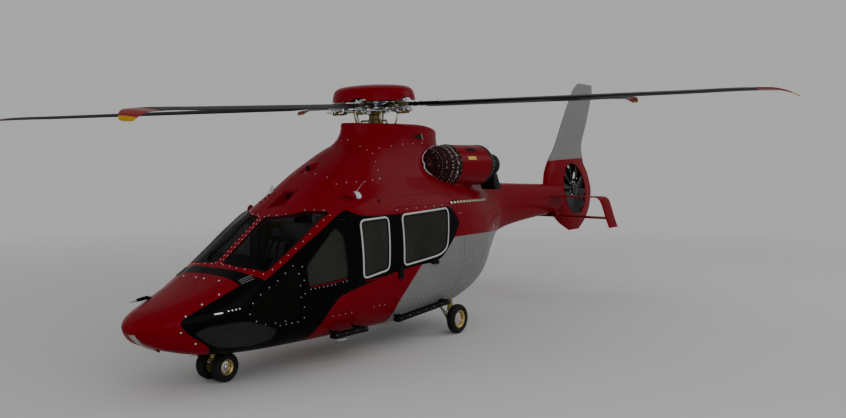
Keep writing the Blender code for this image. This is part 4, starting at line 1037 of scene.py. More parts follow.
class HELICOPTER_OT_skin(bpy.types.Operator):
    """Cut the cabin shell, cowling, boom, nose and doors from one fine body surface"""
    bl_idname = "helicopter.skin"
    bl_label = "Body skin"

    def execute(self, context):
        trim = context.scene.helicopter_trim
        form = body_form()
        wall = hollow(body_outside(),
                      body_tube(BODY_LINES[0][0] - 0.06, BOOM_JOINT_X - 0.4, trim.wall, 4, 0.10, 0.16))
        tools = [nose_prism(trim.panel_gap)]
        frames = []
        for side, _ in SIDES:
            for name, outline, window in DOORS:
                gap = trim.door_gap if name == "cockpit_door" else trim.panel_gap
                tools.append(side_prism(outline, side, gap))
                frames.append(combine(side_prism(outline, side), side_prism(window, side)))
            tools += [side_prism(outline, side) for outline in (QUARTER_WINDOW, SIDE_WINDOW, CHIN_WINDOW)]
            tools.append(top_prism(WINDSCREEN, side))
        tools.append(roof_scoop(form, 1.0))
        doors = combine(wall.copy(), gather(frames), "INTERSECT")
        nose = combine(wall.copy(), nose_prism(0.0), "INTERSECT")
        shell = combine(wall, gather(tools))
        if not shell.faces or not doors.faces or not nose.faces:
            raise RuntimeError("the body could not be cut")
        skins = [body_paint(), lining()]
        for side, word in SIDES:
            for name, outline, _ in DOORS:
                spot = middle(outline)
                door = pick(doors, lambda at: at.y * side > 0 and abs(at.x - spot.x) < 0.6)
                body = f"crew_door_{word}" if name == "cockpit_door" else "airframe"
                finish(f"{name}_panel_{word}", door, body, skins, [f"{name}_{word}"],
                       form=form, lining=1)
        doors.free()
        scoop = roof_scoop(form, -0.004)
        away = [face for face in scoop.faces if face.normal.dot(SCOOP_LIFT.normalized()) > 0.8]
        bmesh.ops.delete(scoop, geom=away, context="FACES")
        bmesh.ops.reverse_faces(scoop, faces=scoop.faces)
        for face in scoop.faces:
            face.material_index = 1 if face.normal.x > 0.6 and face.normal.z < 0.4 else 0
        bmesh.ops.solidify(scoop, geom=scoop.faces[:], thickness=-0.003)
        shadow = finish_of("scoop_shadow", (0.020, 0.0006, 0.001), 0.5, tone=0.5, scale=9.0, specular=0.1)
        finish("roof_scoop_liner", scoop, "airframe", [red_gloss(), shadow], sharp=20)
        finish("nose_panel", nose, "airframe", [red_gloss(), lining()], ["nose_cone"], form=form,
               lining=1)
        joint = (BOOM_JOINT_X, 0.0, 0.0)
        for name, node_name, above in (("cabin_skin", "cabin_shell", False), ("cowling_skin", "upper_cowling", True)):
            part = shell.copy()
            slice_off(part, DECK_Z * UP, UP, above)
            slice_off(part, joint, (-1.0, 0.0, 0.0))
            finish(name, part, "airframe", skins, [node_name], form=form, lining=1)
        slice_off(shell, joint, (1.0, 0.0, 0.0))
        finish("boom_skin", shell, "airframe", skins, ["tail_boom"], form=form, lining=1)
        return {"FINISHED"}


class HELICOPTER_OT_glass(bpy.types.Operator):
    """Set the panes into their openings"""
    bl_idname = "helicopter.glass"
    bl_label = "Glass"

    def execute(self, context):
        sheet = hollow(body_tube(4.60, -1.10, 0.006, 8, 0.06, 0.07), body_tube(4.58, -1.08, 0.014, 8, 0.06, 0.07))
        cuts = gather([tool(outline, side, -0.0005) for side, _ in SIDES for _, outline, tool in PANES])
        panes = combine(sheet, cuts, "INTERSECT")
        form = body_form()
        looks = {"windscreen": tinted_glass("screen_glass", 0.36, (0.0012, 0.0012, 0.0020)),
                 "quarter_glass": tinted_glass("quarter_tint", 0.86, (0.004, 0.004, 0.003)),
                 "chin_glass": tinted_glass("chin_tint", 0.86, (0.026, 0.0255, 0.0245))}
        for side, word in SIDES:
            for name, outline, tool in PANES:
                spot = middle(outline)
                if tool is top_prism:
                    part = pick(panes, lambda at: at.y * side > 0 and at.z > 1.75 and abs(at.y) < 0.6)
                else:
                    part = pick(panes, lambda at: at.y * side > 0 and abs(at.y) > 0.5
                                and abs(at.x - spot.x) < 0.22 and abs(at.z - spot.y) < 0.22)
                if not part.faces:
                    raise RuntimeError(f"no pane for {name}")
                body = f"crew_door_{word}" if name == "cockpit_door_glass" else "airframe"
                finish(f"{name}_pane_{word}", part, body, looks.get(name, tinted_glass()), [f"{name}_{word}"],
                       form=form)
        panes.free()
        return {"FINISHED"}


SCREW_ROWS = (
    # x and height pairs seen from the side, with the pitch of their screws
    (((0.61, 2.262), (0.12, 2.268), (-0.39, 2.277), (-0.66, 2.283)), 0.25),
    (((1.58, 2.689), (1.42, 2.710), (1.29, 2.719), (1.15, 2.704), (0.90, 2.735), (0.71, 2.747)), 0.16),
    (((0.67, 3.204), (0.40, 3.238), (-0.148, 3.307), (-0.72, 3.33)), 0.27),
    (((0.60, 3.15), (0.625, 3.03), (0.655, 2.887), (0.70, 2.76)), 0.13),
    (((0.39, 0.808), (0.01, 0.801), (-0.37, 0.795), (-0.73, 0.815)), 0.12),
    (((-1.12, 1.165), (-1.40, 1.23), (-1.75, 1.325)), 0.13),
    (((-0.86, 0.812), (-1.07, 0.863), (-1.29, 0.888), (-1.69, 0.890)), 0.15),
    (((-1.16, 2.12), (-1.30, 2.10)), 0.12),
    (((2.09, 0.802), (1.68, 0.791)), 0.15),
    (((1.17, 0.808), (0.90, 0.801)), 0.13),
    (((2.77, 0.82), (3.07, 0.81)), 0.09),
)
TOP_SCREW_ROWS = (
    # x and half width seen from above
    (((1.66, 0.00), (1.66, 0.20), (1.62, 0.42)), 0.19),
    (((0.83, 0.00), (0.794, 0.112), (0.779, 0.205), (0.743, 0.308), (0.672, 0.407)), 0.12),
)
NOSE_STUDS = ((3.860, 1.311), (4.106, 1.210), (4.349, 1.089), (4.423, 0.892), (4.221, 0.719))
SEAMS = (
    ((2.16, 2.41), (1.63, 2.49), (0.90, 2.47), (0.00, 2.48), (-0.90, 2.47), (-1.60, 2.42), (-2.50, 2.34)),
    ((0.67, 2.48), (0.711, 2.70), (0.655, 2.887), (0.622, 3.045), (0.594, 3.172)),
    ((-1.19, 2.30), (-1.22, 1.80), (-1.22, 1.30), (-1.17, 0.90)),
    ((-2.38, 2.32), (-2.33, 1.90), (-2.22, 1.50), (-2.08, 1.20)),
)


def seal_metal():
    return finish_of("seal_grey", (0.50, 0.51, 0.51), 0.5, 0.1, tone=0.15, bump=0.0003)


def gasket():
    return finish_of("gasket_black", (0.004, 0.004, 0.004), 0.7, tone=0.3, bump=0.0004, dust=0.05, specular=0.08)


def bright_steel():
    return finish_of("bright_steel", (0.62, 0.62, 0.62), 0.22, 1.0, scale=12.0, tone=0.3, bump=0.0002)


class HELICOPTER_OT_trim(bpy.types.Operator):
    """Lay seals round the windows, edge strips, rails and panel seams on the body"""
    bl_idname = "helicopter.trim"
    bl_label = "Seals and seams"

    def execute(self, context):
        trim = context.scene.helicopter_trim
        form = body_form()
        brass = finish_of("rail_brass", (0.34, 0.22, 0.035), 0.35, 0.6, scale=10.0, tone=0.6)

        def lay(shape, line, section, closed=True, from_top=False):
            join(shape, strip(draped(form, line, side, from_top), half_round(*section), closed))

        for side, word in SIDES:
            light, dark, seam, door, low, sill, rail = (bmesh.new() for _ in range(7))
            for outline in (SIDE_WINDOW, CABIN_WINDOW):
                lay(light, edge_line(outline, 0.010, corner=CORNER + 0.02), (trim.seal_width, trim.seal_height))
                lay(dark, edge_line(outline, -0.012), (0.020, 0.006, 0.010))
            for outline in (QUARTER_WINDOW, CHIN_WINDOW):
                lay(dark, edge_line(outline), (0.016, 0.0035, 0.008))
            lay(dark, edge_line(WINDSCREEN), (0.014, 0.003, 0.008), from_top=True)
            lay(door, edge_line(COCKPIT_WINDOW), (0.016, 0.0035, 0.008))
            lay(low, line_points(((1.89, 1.325), (2.20, 1.305), (2.60, 1.29)), 0.03), (0.018, 0.004), False)
            lay(sill, line_points(((1.47, 1.245), (0.96, 1.262)), 0.03), (0.020, 0.004), False)
            for corners in SEAMS:
                spots = [point - out * 0.0012 for point, out in draped(form, line_points(corners, 0.05), side)]
                join(seam, pipe(spots, SEAM_R, 6))
            for x in (BOOM_JOINT_X, -5.86):
                ring = [form.near(point)[0] for point in spaced(body_ring(x), 0.05, False)]
                half = [point for point in ring if point.y * side >= -0.001]
                half.sort(key=lambda point: math.atan2(point.z - 2.1, abs(point.y)))
                join(seam, pipe(half, SEAM_R, 6))
            line = line_points(((-0.94, 2.30), (-1.32, 2.30), (-1.74, 2.295), (-2.54, 2.28)), 0.04)
            spots = [point + out * 0.012 for point, out in draped(form, line, side)]
            join(rail, pipe(spots, 0.015, 10))
            for spot in spots[::3]:
                out = form.near(spot)[1]
                join(rail, bar(spot - out * 0.016, spot + out * 0.014, 0.026, 12, chamfer=0.004), None, 1)
            for name, shape, body, looks, slot in (
                    ("window_seals", light, "airframe", seal_metal(), "bright_steel"),
                    ("window_gaskets", dark, "airframe", gasket(), "dark_plastic"),
                    ("panel_seams", seam, "airframe", gasket(), "dark_plastic"),
                    ("door_window_gasket", door, f"crew_door_{word}", gasket(), "dark_plastic"),
                    ("door_sill_strip", low, f"crew_door_{word}", red_gloss(), "red_paint"),
                    ("side_sill_strip", sill, "airframe", red_gloss(), "red_paint"),
                    ("door_rail", rail, "airframe", [brass, bright_steel()], "bright_steel")):
                finish(f"{name}_{word}", shape, body, looks)
        return {"FINISHED"}


class HELICOPTER_OT_screws(bpy.types.Operator):
    """Set the screws along frames, doors and panel joints"""
    bl_idname = "helicopter.screws"
    bl_label = "Screws"

    def execute(self, context):
        trim = context.scene.helicopter_trim
        form = body_form()
        pitch, radius = trim.screw_pitch, trim.screw_radius
        fixed, studs = [], []

        def kept(spots):
            """Screws without the few that uneven light hides."""
            return [spot for spot in spots if noise.noise(spot[0] * 7.3) > -0.42]

        for side, word in SIDES:
            fixed += draped(form, edge_line(QUARTER_WINDOW, 0.032, pitch * 1.3), side)
            frame_line = edge_line(WINDSCREEN, 0.026, pitch * 1.1)
            post = edge_line(WINDSCREEN, 0.024, pitch * 0.55)
            fixed += draped(form, [point for point in frame_line if point.y > 0.10], side, True)
            fixed += draped(form, [point for point in post if point.y < 0.06], side, True)
            for corners, step in SCREW_ROWS:
                fixed += draped(form, line_points(corners, step), side)
            for corners, step in TOP_SCREW_ROWS:
                fixed += draped(form, line_points(corners, step), side, True)
            studs += [on_side(form, side, x, height) for x, height in NOSE_STUDS]
            studs += [on_top(form, 3.705, side * 0.084), on_top(form, 3.685, side * 0.369)]
            edge = edge_line(COCKPIT_DOOR, -0.024, pitch * 1.5)
            moving = draped(form, [point for point in edge if point.x > 2.6], side)
            moving += draped(form, line_points(((1.90, 1.295), (2.20, 1.275), (2.60, 1.26)), pitch * 0.62), side)
            finish(f"door_screws_{word}", screws(kept(moving), radius), f"crew_door_{word}", screw_steel())
        heads = screws(kept(fixed), radius)
        join(heads, screws(studs, 0.015, 0.006))
        finish("panel_screws", heads, "airframe", screw_steel())
        return {"FINISHED"}


def screw_steel():
    return finish_of("screw_steel", (0.60, 0.65, 0.72), 0.35, 0.3, scale=30.0, tone=1.2, bump=0.0)


@functools.cache
def intake_mesh():
    """Woven wire screen: black with holes, with painted glints on the wire, more of them towards the pod, and painted
    red reflections in arcs.
    """
    look, tree, shader = material("intake_mesh")
    place = node(tree, "TexCoord").outputs["Object"]
    cells = node(tree, "TexVoronoi", {"Vector": place, "Scale": 46.0, "Randomness": 0.25}, feature="F1").outputs[0]
    flecks = node(tree, "TexNoise", {"Vector": place, "Scale": 34.0, "Detail": 1.0}).outputs[0]
    bands = node(tree, "TexWave", {"Vector": place, "Scale": 2.1, "Distortion": 2.0, "Detail": 1.0}).outputs["Fac"]
    x = node(tree, "SeparateXYZ", {0: place}).outputs["X"]
    # more painted glints towards the pod
    aft = node(tree, "MapRange", {"Value": x, "From Min": DOME_TIP_X - 0.16, "From Max": POD_FRONT_X + 0.02,
                                  "To Min": 0.0, "To Max": 0.22}).outputs[0]
    level = math_node(tree, "MULTIPLY", flecks, math_node(tree, "MULTIPLY_ADD", bands, 0.5, 0.5))
    level = math_node(tree, "ADD", level, aft)
    # light grey painted glints on the wire
    painted_glints = node(tree, "MapRange", {"Value": level, "From Min": 0.68, "From Max": 0.73}).outputs[0]
    # dark red arcs on the wire: painted reflection of the red body
    reflection_arcs = node(tree, "TexWave", {"Vector": place, "Scale": 7.0, "Distortion": 5.0, "Detail": 2.0,
                                  "Detail Scale": 3.0}).outputs["Fac"]
    red_reflection = node(tree, "MapRange", {"Value": reflection_arcs, "From Min": 0.62, "From Max": 0.80}).outputs[0]
    color = mix(tree, red_reflection, (0.002, 0.002, 0.002, 1.0), (0.055, 0.0004, 0.0010, 1.0))
    color = mix(tree, painted_glints, color, (0.42, 0.42, 0.41, 1.0))
    link(tree, color, shader.inputs["Base Color"])
    hole = node(tree, "MapRange", {"Value": cells, "From Min": 0.0055, "From Max": 0.0075, "To Min": 0.15,
                                   "To Max": 1.0}).outputs[0]
    link(tree, hole, shader.inputs["Alpha"])
    link(tree, math_node(tree, "MULTIPLY_ADD", flecks, 0.3, 0.35), shader.inputs["Roughness"])
    height = node(tree, "Bump", {"Height": cells, "Distance": 0.004, "Strength": 0.8})
    link(tree, height.outputs[0], shader.inputs["Normal"])
    set_sockets(shader, {"Metallic": 0.0, "Specular IOR Level": 0.08})
    return look


def dome_ring(side, share, out=0.0, steps=72):
    """Ring of the intake dome; share runs from 0 at the pod to 1 at the tip."""
    reach = DOME_TIP_X - POD_FRONT_X
    radius = POD_R * math.sqrt(max(0.0, 1 - share * share)) + out
    return [Vector((POD_FRONT_X + reach * share, side * POD_Y + radius * math.cos(a), POD_Z + radius * math.sin(a)))
            for a in turns(steps)]


def from_pod_axis(side, point, ahead=0.0):
    """Direction off the pod's axis through a point."""
    return Vector((ahead, point.y - side * POD_Y, point.z - POD_Z)).normalized()


def outside(form, point):
    spot, out = form.near(point)
    return (point - spot).dot(out) > 0


class HELICOPTER_OT_intakes(bpy.types.Operator):
    """Set the domed wire screens ahead of the engine pods, with their steel edge"""
    bl_idname = "helicopter.intakes"
    bl_label = "Intake screens"

    def execute(self, context):
        form = body_form()
        shadow = finish_of("duct_shadow", (0.004, 0.0004, 0.0006), 0.7, tone=0.9, scale=7.0, dust=0.02, specular=0.05)
        ribs = finish_of("rib_grey", (0.30, 0.29, 0.28), 0.4, 0.8, scale=14.0)
        for side, word in SIDES:
            shares = [math.sin(math.pi / 2 * k / 30) for k in range(30)] + [0.9995]
            screen = wrap_rings([dome_ring(side, share, -0.002) for share in shares], False)
            bmesh.ops.holes_fill(screen, edges=[e for e in screen.edges if e.is_boundary and
                                                e.verts[0].co.x > DOME_TIP_X - 0.05], sides=0)
            bmesh.ops.solidify(screen, geom=screen.faces[:], thickness=0.002)
            finish(f"intake_mesh_{word}", screen, "airframe", intake_mesh(), [f"intake_screen_{word}"],
                   sharp=60)
            # near-black dome inside the screen: painted shade behind the wire
            core = wrap_rings([dome_ring(side, share, -0.045) for share in shares[:-1]])
            finish(f"intake_shade_core_{word}", core, "airframe", shadow)
            # where the body's surface lets go of the dome, followed right round
            edge, trace = bmesh.new(), []
            rings = [dome_ring(side, 1 - i / 60) for i in range(61)]
            for column in zip(*rings):
                first = next((i for i, point in enumerate(column) if outside(form, point)), None)
                trace.append(column[first] if first not in (None, 0) and first < 58 else None)
            gap = max(range(72), key=lambda k: sum(trace[(k + j) % 72] is None for j in range(12)))
            line = [point for point in trace[gap:] + trace[:gap] if point is not None]
            line = [sum(near, Vector()) / len(near) for near in (line[max(i - 1, 0):i + 2] for i in range(len(line)))]
            join(edge, pipe([p + form.near(p)[1] * 0.007 for p in line], 0.014, 8))
            foot = dome_ring(side, 0.0, 0.001)
            join(edge, pipe([p + Vector((0.004, 0.0, 0.0)) for p in foot], 0.006, 8, True), None, 2)
            for share in (0.30, 0.62):
                spots = [point for point in dome_ring(side, share, 0.001) if outside(form, point)]
                spots.sort(key=lambda point: math.atan2(point.z - POD_Z, side * (point.y - side * POD_Y)))
                join(edge, screws([(spot, from_pod_axis(side, spot, 0.1)) for spot in spots[::2]], 0.0075, 0.005))
            heads = [(point + Vector((0.020, 0.0, 0.0)), from_pod_axis(side, point)) for point in foot[::3]]
            join(edge, screws(heads, 0.0075))
            finish(f"intake_edge_{word}", edge, "airframe", [bright_steel(), ribs, gasket()])
        return {"FINISHED"}


def pod_place(side, x):
    return Matrix.Translation((x, side * POD_Y, POD_Z)) @ Matrix.Rotation(-math.pi / 2, 4, "Y")


class HELICOPTER_OT_exhausts(bpy.types.Operator):
    """Close the pods with their dark frames and exhaust pipes"""
    bl_idname = "helicopter.exhausts"
    bl_label = "Exhausts"

    def execute(self, context):
        sooty = finish_of("exhaust_steel", (0.012, 0.011, 0.010), 0.5, 0.7, scale=5.0, tone=0.8, dust=0.3, bump=0.001)
        tail = POD_REAR_X - EXHAUST_REAR_X + 0.06
        tube = [(0.150, -0.08), (0.178, 0.02), (0.184, 0.10), (0.192, 0.13), (0.192, 0.16), (0.184, 0.18),
                (0.184, tail - 0.10), (0.200, tail - 0.085), (0.200, tail - 0.008), (0.194, tail),
                (0.182, tail - 0.002), (0.176, tail - 0.03), (0.166, 0.10), (0.13, -0.06)]
        plate = [(0.14, -0.012), (0.360, -0.016), (0.360, -0.050), (0.374, -0.052), (0.375, 0.010), (0.362, 0.030),
                 (0.350, 0.034), (0.340, 0.085), (0.318, 0.100), (0.300, 0.104), (0.286, 0.160), (0.205, 0.180),
                 (0.186, 0.150), (0.14, 0.10)]
        cone = [(0.0, 0.30), (0.02, 0.295), (0.06, 0.20), (0.09, 0.05), (0.10, -0.06), (0.0, -0.06)]
        saddle = vectors(((-2.62, 2.74), (-2.64, 2.58), (-2.71, 2.47), (-2.93, 2.47), (-2.91, 2.52), (-2.82, 2.64),
                          (-2.75, 2.78), (-2.66, 2.80)))
        for side, word in SIDES:
            shape, place = bmesh.new(), pod_place(side, POD_REAR_X)
            for profile, steps in ((tube, 64), (plate, 64), (cone, 40)):
                join(shape, lathe(profile, steps), place)
            for turn in turns(5):
                join(shape, block((0.08, -0.006, 0.02), (0.172, 0.006, 0.14), 0.003),
                     place @ Matrix.Rotation(turn, 4, "Z"))
            heads = [(Vector((POD_REAR_X - 0.085, side * POD_Y + 0.340 * math.cos(a), POD_Z + 0.340 * math.sin(a))),
                      Vector((0.0, math.cos(a), math.sin(a)))) for a in turns(28)]
            join(shape, screws(heads, 0.008), None, 1)
            join(shape, ease(prism(saddle, *span(side, 0.42, 0.74)), 0.012))
            finish(f"exhaust_pipe_{word}", shape, "airframe", [sooty, screw_steel()], [f"exhaust_{word}"])
        return {"FINISHED"}


# Rotor

def rotor_place(turn=0.0):
    return (Matrix.Translation((0.0, 0.0, ROTOR_Z)) @ Matrix.Rotation(MAST_TILT, 4, "Y")
            @ Matrix.Rotation(turn, 4, "Z"))


def blade_turns():
    return [FIRST_BLADE + turn for turn in turns(BLADES)]


class HELICOPTER_OT_rotor_head(bpy.types.Operator):
    """Build mast, swashplate, links, hub arms, dampers and bolts"""
    bl_idname = "helicopter.rotor_head"
    bl_label = "Rotor head"

    def execute(self, context):
        olive = finish_of("mast_olive", (0.150, 0.125, 0.040), 0.40, 0.6, scale=7.0, tone=0.8, dust=0.3, bump=0.001)
        titanium = finish_of("hub_titanium", (0.42, 0.45, 0.50), 0.28, 0.9, scale=9.0, tone=0.5, dust=0.2)
        brass = finish_of("link_brass", (0.42, 0.32, 0.10), 0.30, 0.9, scale=11.0, tone=0.5)
        rubber = finish_of("bearing_rubber", (0.010, 0.010, 0.011), 0.6, scale=15.0, bump=0.0008)
        place = rotor_place()
        mast = bmesh.new()
        low = -0.74
        join(mast, lathe([(0.0, low), (0.085, low), (0.085, -0.42), (0.118, -0.40), (0.118, -0.365), (0.098, -0.35),
                          (0.098, -0.31), (0.112, -0.30), (0.112, -0.245), (0.100, -0.235), (0.096, -0.17),
                          (0.115, -0.15), (0.115, -0.10), (0.0, -0.10)], 48), place)
        plate = [(0.125, -0.362), (0.20, -0.365), (0.24, -0.358), (0.27, -0.358), (0.30, -0.352), (0.30, -0.332),
                 (0.255, -0.326), (0.20, -0.326), (0.125, -0.332)]
        join(mast, lathe(plate, 64, True), place, 1)
        ring = [(0.205, -0.395), (0.255, -0.395), (0.262, -0.38), (0.255, -0.367), (0.205, -0.367)]
        join(mast, lathe(ring, 64, True), place, 0)
        for turn in blade_turns():
            arm, mid = rotor_place(turn), rotor_place(turn + math.pi / BLADES)
            add_blocks(mast, (((0.27, -0.028, -0.362), (0.372, 0.028, -0.328), 0.010, 3, 1),), mid)
            add_blocks(mast, (((0.10, -0.02, -0.275), (0.235, 0.02, -0.245), 0.006, 2, 0),), arm)
            add_bars(mast, (((0.352, -0.034, -0.345), (0.352, 0.034, -0.345), 0.011, 12, 0.003, 3),
                            ((0.354, 0.0, -0.305), (0.408, 0.0, -0.10), 0.0145, 14, 0.0, 2),
                            ((0.373, 0.0, -0.235), (0.395, 0.0, -0.150), 0.0190, 6, 0.0, 3)), mid)
            add_bars(mast, (((0.225, 0.0, -0.265), (0.27, 0.0, -0.335), 0.012, 10, 0.0, 3),), arm)
            add_turned(mast, (([(0.0, 0.0), (0.018, 0.004), (0.024, 0.02), (0.018, 0.036), (0.0, 0.04)], 20,
                               (0.352, 0.0, -0.335), 3),
                              ([(0.0, 0.0), (0.017, 0.004), (0.022, 0.018), (0.017, 0.032), (0.0, 0.036)], 20,
                               (0.408, 0.0, -0.105), 3)), mid)
        finish("swashplate_and_mast", mast, "main_rotor", [olive, titanium, brass, bright_steel()], ["rotor_mast"])
        hub = bmesh.new()
        join(hub, lathe([(0.06, -0.075), (0.17, -0.075), (0.19, -0.062), (0.19, -0.035), (0.145, -0.02), (0.14, 0.02),
                         (0.185, 0.035), (0.185, 0.060), (0.165, 0.075), (0.06, 0.075)], 60, True), place, 0)
        for turn in turns(15):
            add_bars(hub, (((0.165, 0.0, 0.0752), (0.165, 0.0, 0.090), 0.011, 6, 0.0, 2),
                           ((0.165, 0.0, -0.088), (0.165, 0.0, -0.0752), 0.011, 6, 0.0, 2)), rotor_place(turn))
        front = [(0.15, -0.06), (0.30, -0.072), (0.44, -0.058), (0.50, -0.066), (0.66, -0.073), (0.775, -0.060)]
        outline = soften(front + [(x, -y) for x, y in reversed(front)], 0.03, 4)
        nut = [(0.0, 0.0), (0.030, 0.0), (0.030, 0.006), (0.022, 0.012), (0.0, 0.012)]
        washer = [(0.0, 0.0), (0.027, 0.0), (0.027, 0.005), (0.0, 0.005)]
        bearing = [(0.0, -0.027), (0.050, -0.027), (0.056, -0.018), (0.050, -0.010), (0.056, 0.0), (0.050, 0.010),
                   (0.056, 0.018), (0.050, 0.027), (0.0, 0.027)]
        drum = [(0.0, -0.030), (0.030, -0.030), (0.036, -0.012), (0.036, 0.012), (0.030, 0.030), (0.0, 0.030)]
        ball = [(0.0, -0.028), (0.026, -0.022), (0.034, 0.0), (0.026, 0.022), (0.0, 0.028)]
        for turn in blade_turns():
            arm, mid = rotor_place(turn), rotor_place(turn + math.pi / BLADES)
            for up in (1, -1):
                fork = prism(outline, *span(up, 0.028, 0.0445), "Z")
                join(hub, ease(fork, 0.004, edges=level_edges(fork)), arm, 0)
                flip = Matrix.Rotation(0 if up > 0 else math.pi, 4, "X")
                join(hub, lathe(nut, 24), arm @ Matrix.Translation((0.60, 0.0, up * 0.046)) @ flip, 2)
            add_turned(hub, ((bearing, 32, (0.33, 0.0, 0.0), 3), (drum, 20, (0.255, 0.0, -0.118), 2),
                             (washer, 20, (0.50, 0.0, 0.0446), 2), (washer, 20, (0.70, 0.0, 0.0446), 2)), arm)
            add_turned(hub, ((ball, 20, (0.30, 0.17, -0.085), 2), (ball, 20, (0.30, -0.17, -0.085), 2)), mid)
            add_blocks(hub, (((0.46, -0.050, -0.026), (0.775, 0.050, 0.026), 0.012, 3, 1),
                             ((0.48, -0.062, 0.046), (0.70, 0.062, 0.060), 0.006, 2, 2),
                             ((0.54, -0.030, 0.058), (0.64, 0.030, 0.088), 0.010, 2, 0),
                             ((0.44, -0.058, -0.078), (0.74, 0.058, -0.0505), 0.010, 2, 0),
                             ((0.17, -0.045, -0.135), (0.26, 0.045, -0.090), 0.010, 2, 1)), arm)
            add_bars(hub, both_sides((
                ((0.24, 0.092, -0.012), (0.52, 0.088, -0.012), 0.022, 16, 0.005, 1),
                ((0.285, 0.092, -0.012), (0.40, 0.090, -0.012), 0.030, 18, 0.006, 3),
                ((0.52, 0.088, -0.012), (0.56, 0.060, -0.012), 0.016, 12, 0.0, 2),
                ((0.24, 0.092, -0.012), (0.19, 0.070, -0.012), 0.016, 12, 0.0, 2),
                ((0.52, 0.040, 0.058), (0.52, 0.040, 0.094), 0.016, 6, 0.0, 2),
                ((0.52, 0.040, -0.060), (0.52, 0.040, -0.110), 0.016, 6, 0.0, 2),
                ((0.66, 0.040, 0.058), (0.66, 0.040, 0.094), 0.016, 6, 0.0, 2),
                ((0.66, 0.040, -0.060), (0.66, 0.040, -0.110), 0.016, 6, 0.0, 2))), arm)
            add_bars(hub, (((0.33, 0.0, -0.075), (0.33, 0.0, 0.062), 0.018, 8, 0.004, 2),
                           ((0.50, 0.0, -0.064), (0.50, 0.0, 0.066), 0.017, 6, 0.0, 2),
                           ((0.70, 0.0, -0.064), (0.70, 0.0, 0.066), 0.017, 6, 0.0, 2),
                           ((0.47, 0.0, -0.112), (0.70, 0.0, -0.120), 0.034, 18, 0.008, 1),
                           ((0.52, 0.0, -0.1135), (0.60, 0.0, -0.1165), 0.041, 18, 0.006, 2),
                           ((0.70, 0.0, -0.120), (0.80, 0.0, -0.090), 0.015, 12, 0.004, 2),
                           ((0.47, 0.0, -0.112), (0.36, 0.0, -0.100), 0.017, 12, 0.004, 2),
                           ((0.50, 0.075, -0.075), (0.335, 0.238, -0.090), 0.020, 14, 0.005, 0),
                           ((0.47, 0.030, -0.070), (0.52, 0.105, -0.070), 0.028, 16, 0.006, 2)), arm)
            add_bars(hub, (((0.30, -0.16, -0.085), (0.30, 0.16, -0.085), 0.019, 14, 0.004, 0),
                           ((0.30, -0.07, -0.085), (0.30, 0.07, -0.085), 0.029, 16, 0.006, 1)), mid)
            hose = [(0.20, 0.05, 0.060), (0.34, 0.085, 0.070), (0.46, 0.075, 0.062), (0.58, 0.05, 0.058)]
            join(hub, pipe(hose, 0.006, 8), arm, 3)
        finish("hub_arms_and_dampers", hub, "main_rotor", [titanium, olive, bright_steel(), rubber], ["rotor_hub"])
        return {"FINISHED"}


class HELICOPTER_OT_cap(bpy.types.Operator):
    """Turn the domed cap and notch its rim above each blade root"""
    bl_idname = "helicopter.cap"
    bl_label = "Rotor cap"

    def execute(self, context):
        skirt = [(0.0, 0.3449), (0.10, 0.3442), (0.21, 0.341), (0.32, 0.334), (0.42, 0.325), (0.50, 0.313),
                 (0.56, 0.299), (0.605, 0.281), (0.637, 0.258), (0.660, 0.228), (0.675, 0.190), (0.686, 0.145),
                 (0.694, 0.10), (0.699, 0.072), (0.697, 0.066), (0.690, 0.065), (0.684, 0.072), (0.670, 0.14),
                 (0.655, 0.20), (0.625, 0.245), (0.585, 0.272), (0.50, 0.298), (0.32, 0.318), (0.0, 0.328)]
        shape = lathe(skirt, 144)
        tool = bmesh.new()
        for turn in blade_turns():
            arch = [Vector((0.150 * math.cos(a), 0.055 + 0.062 * math.sin(a)))
                    for a in (math.pi * k / 16 for k in range(17))]
            piece = prism([Vector((0.150, 0.0))] + arch + [Vector((-0.150, 0.0))], 0.40, 0.90)
            join(tool, piece, Matrix.Rotation(turn - math.pi / 2, 4, "Z"))
        shape = combine(shape, tool)
        bmesh.ops.transform(shape, matrix=rotor_place(), verts=shape.verts)
        paint = plain_gloss("cap_paint", tuple(context.scene.helicopter_paint.red))
        finish("cap_dome", shape, "main_rotor", paint, ["rotor_cap"], sharp=30)
        post = bmesh.new()
        join(post, lathe([(0.0, 0.078), (0.135, 0.078), (0.135, 0.088), (0.085, 0.094), (0.080, 0.18), (0.10, 0.30),
                          (0.16, 0.322), (0.0, 0.322)], 40), rotor_place())
        for turn in blade_turns():
            join(post, bar((0.13, 0.0, 0.085), (0.42, 0.0, 0.300), 0.012, 10), rotor_place(turn + math.pi / BLADES))
        finish("cap_post", post, "main_rotor", bright_steel())
        return {"FINISHED"}


def blade_skin():
    return finish_of("blade_composite", (0.0030, 0.0042, 0.0062), 0.30, scale=5.0, tone=0.45, dust=0.12, bump=0.0005,
                     dirt=(0.045, 0.045, 0.04), specular=0.008)


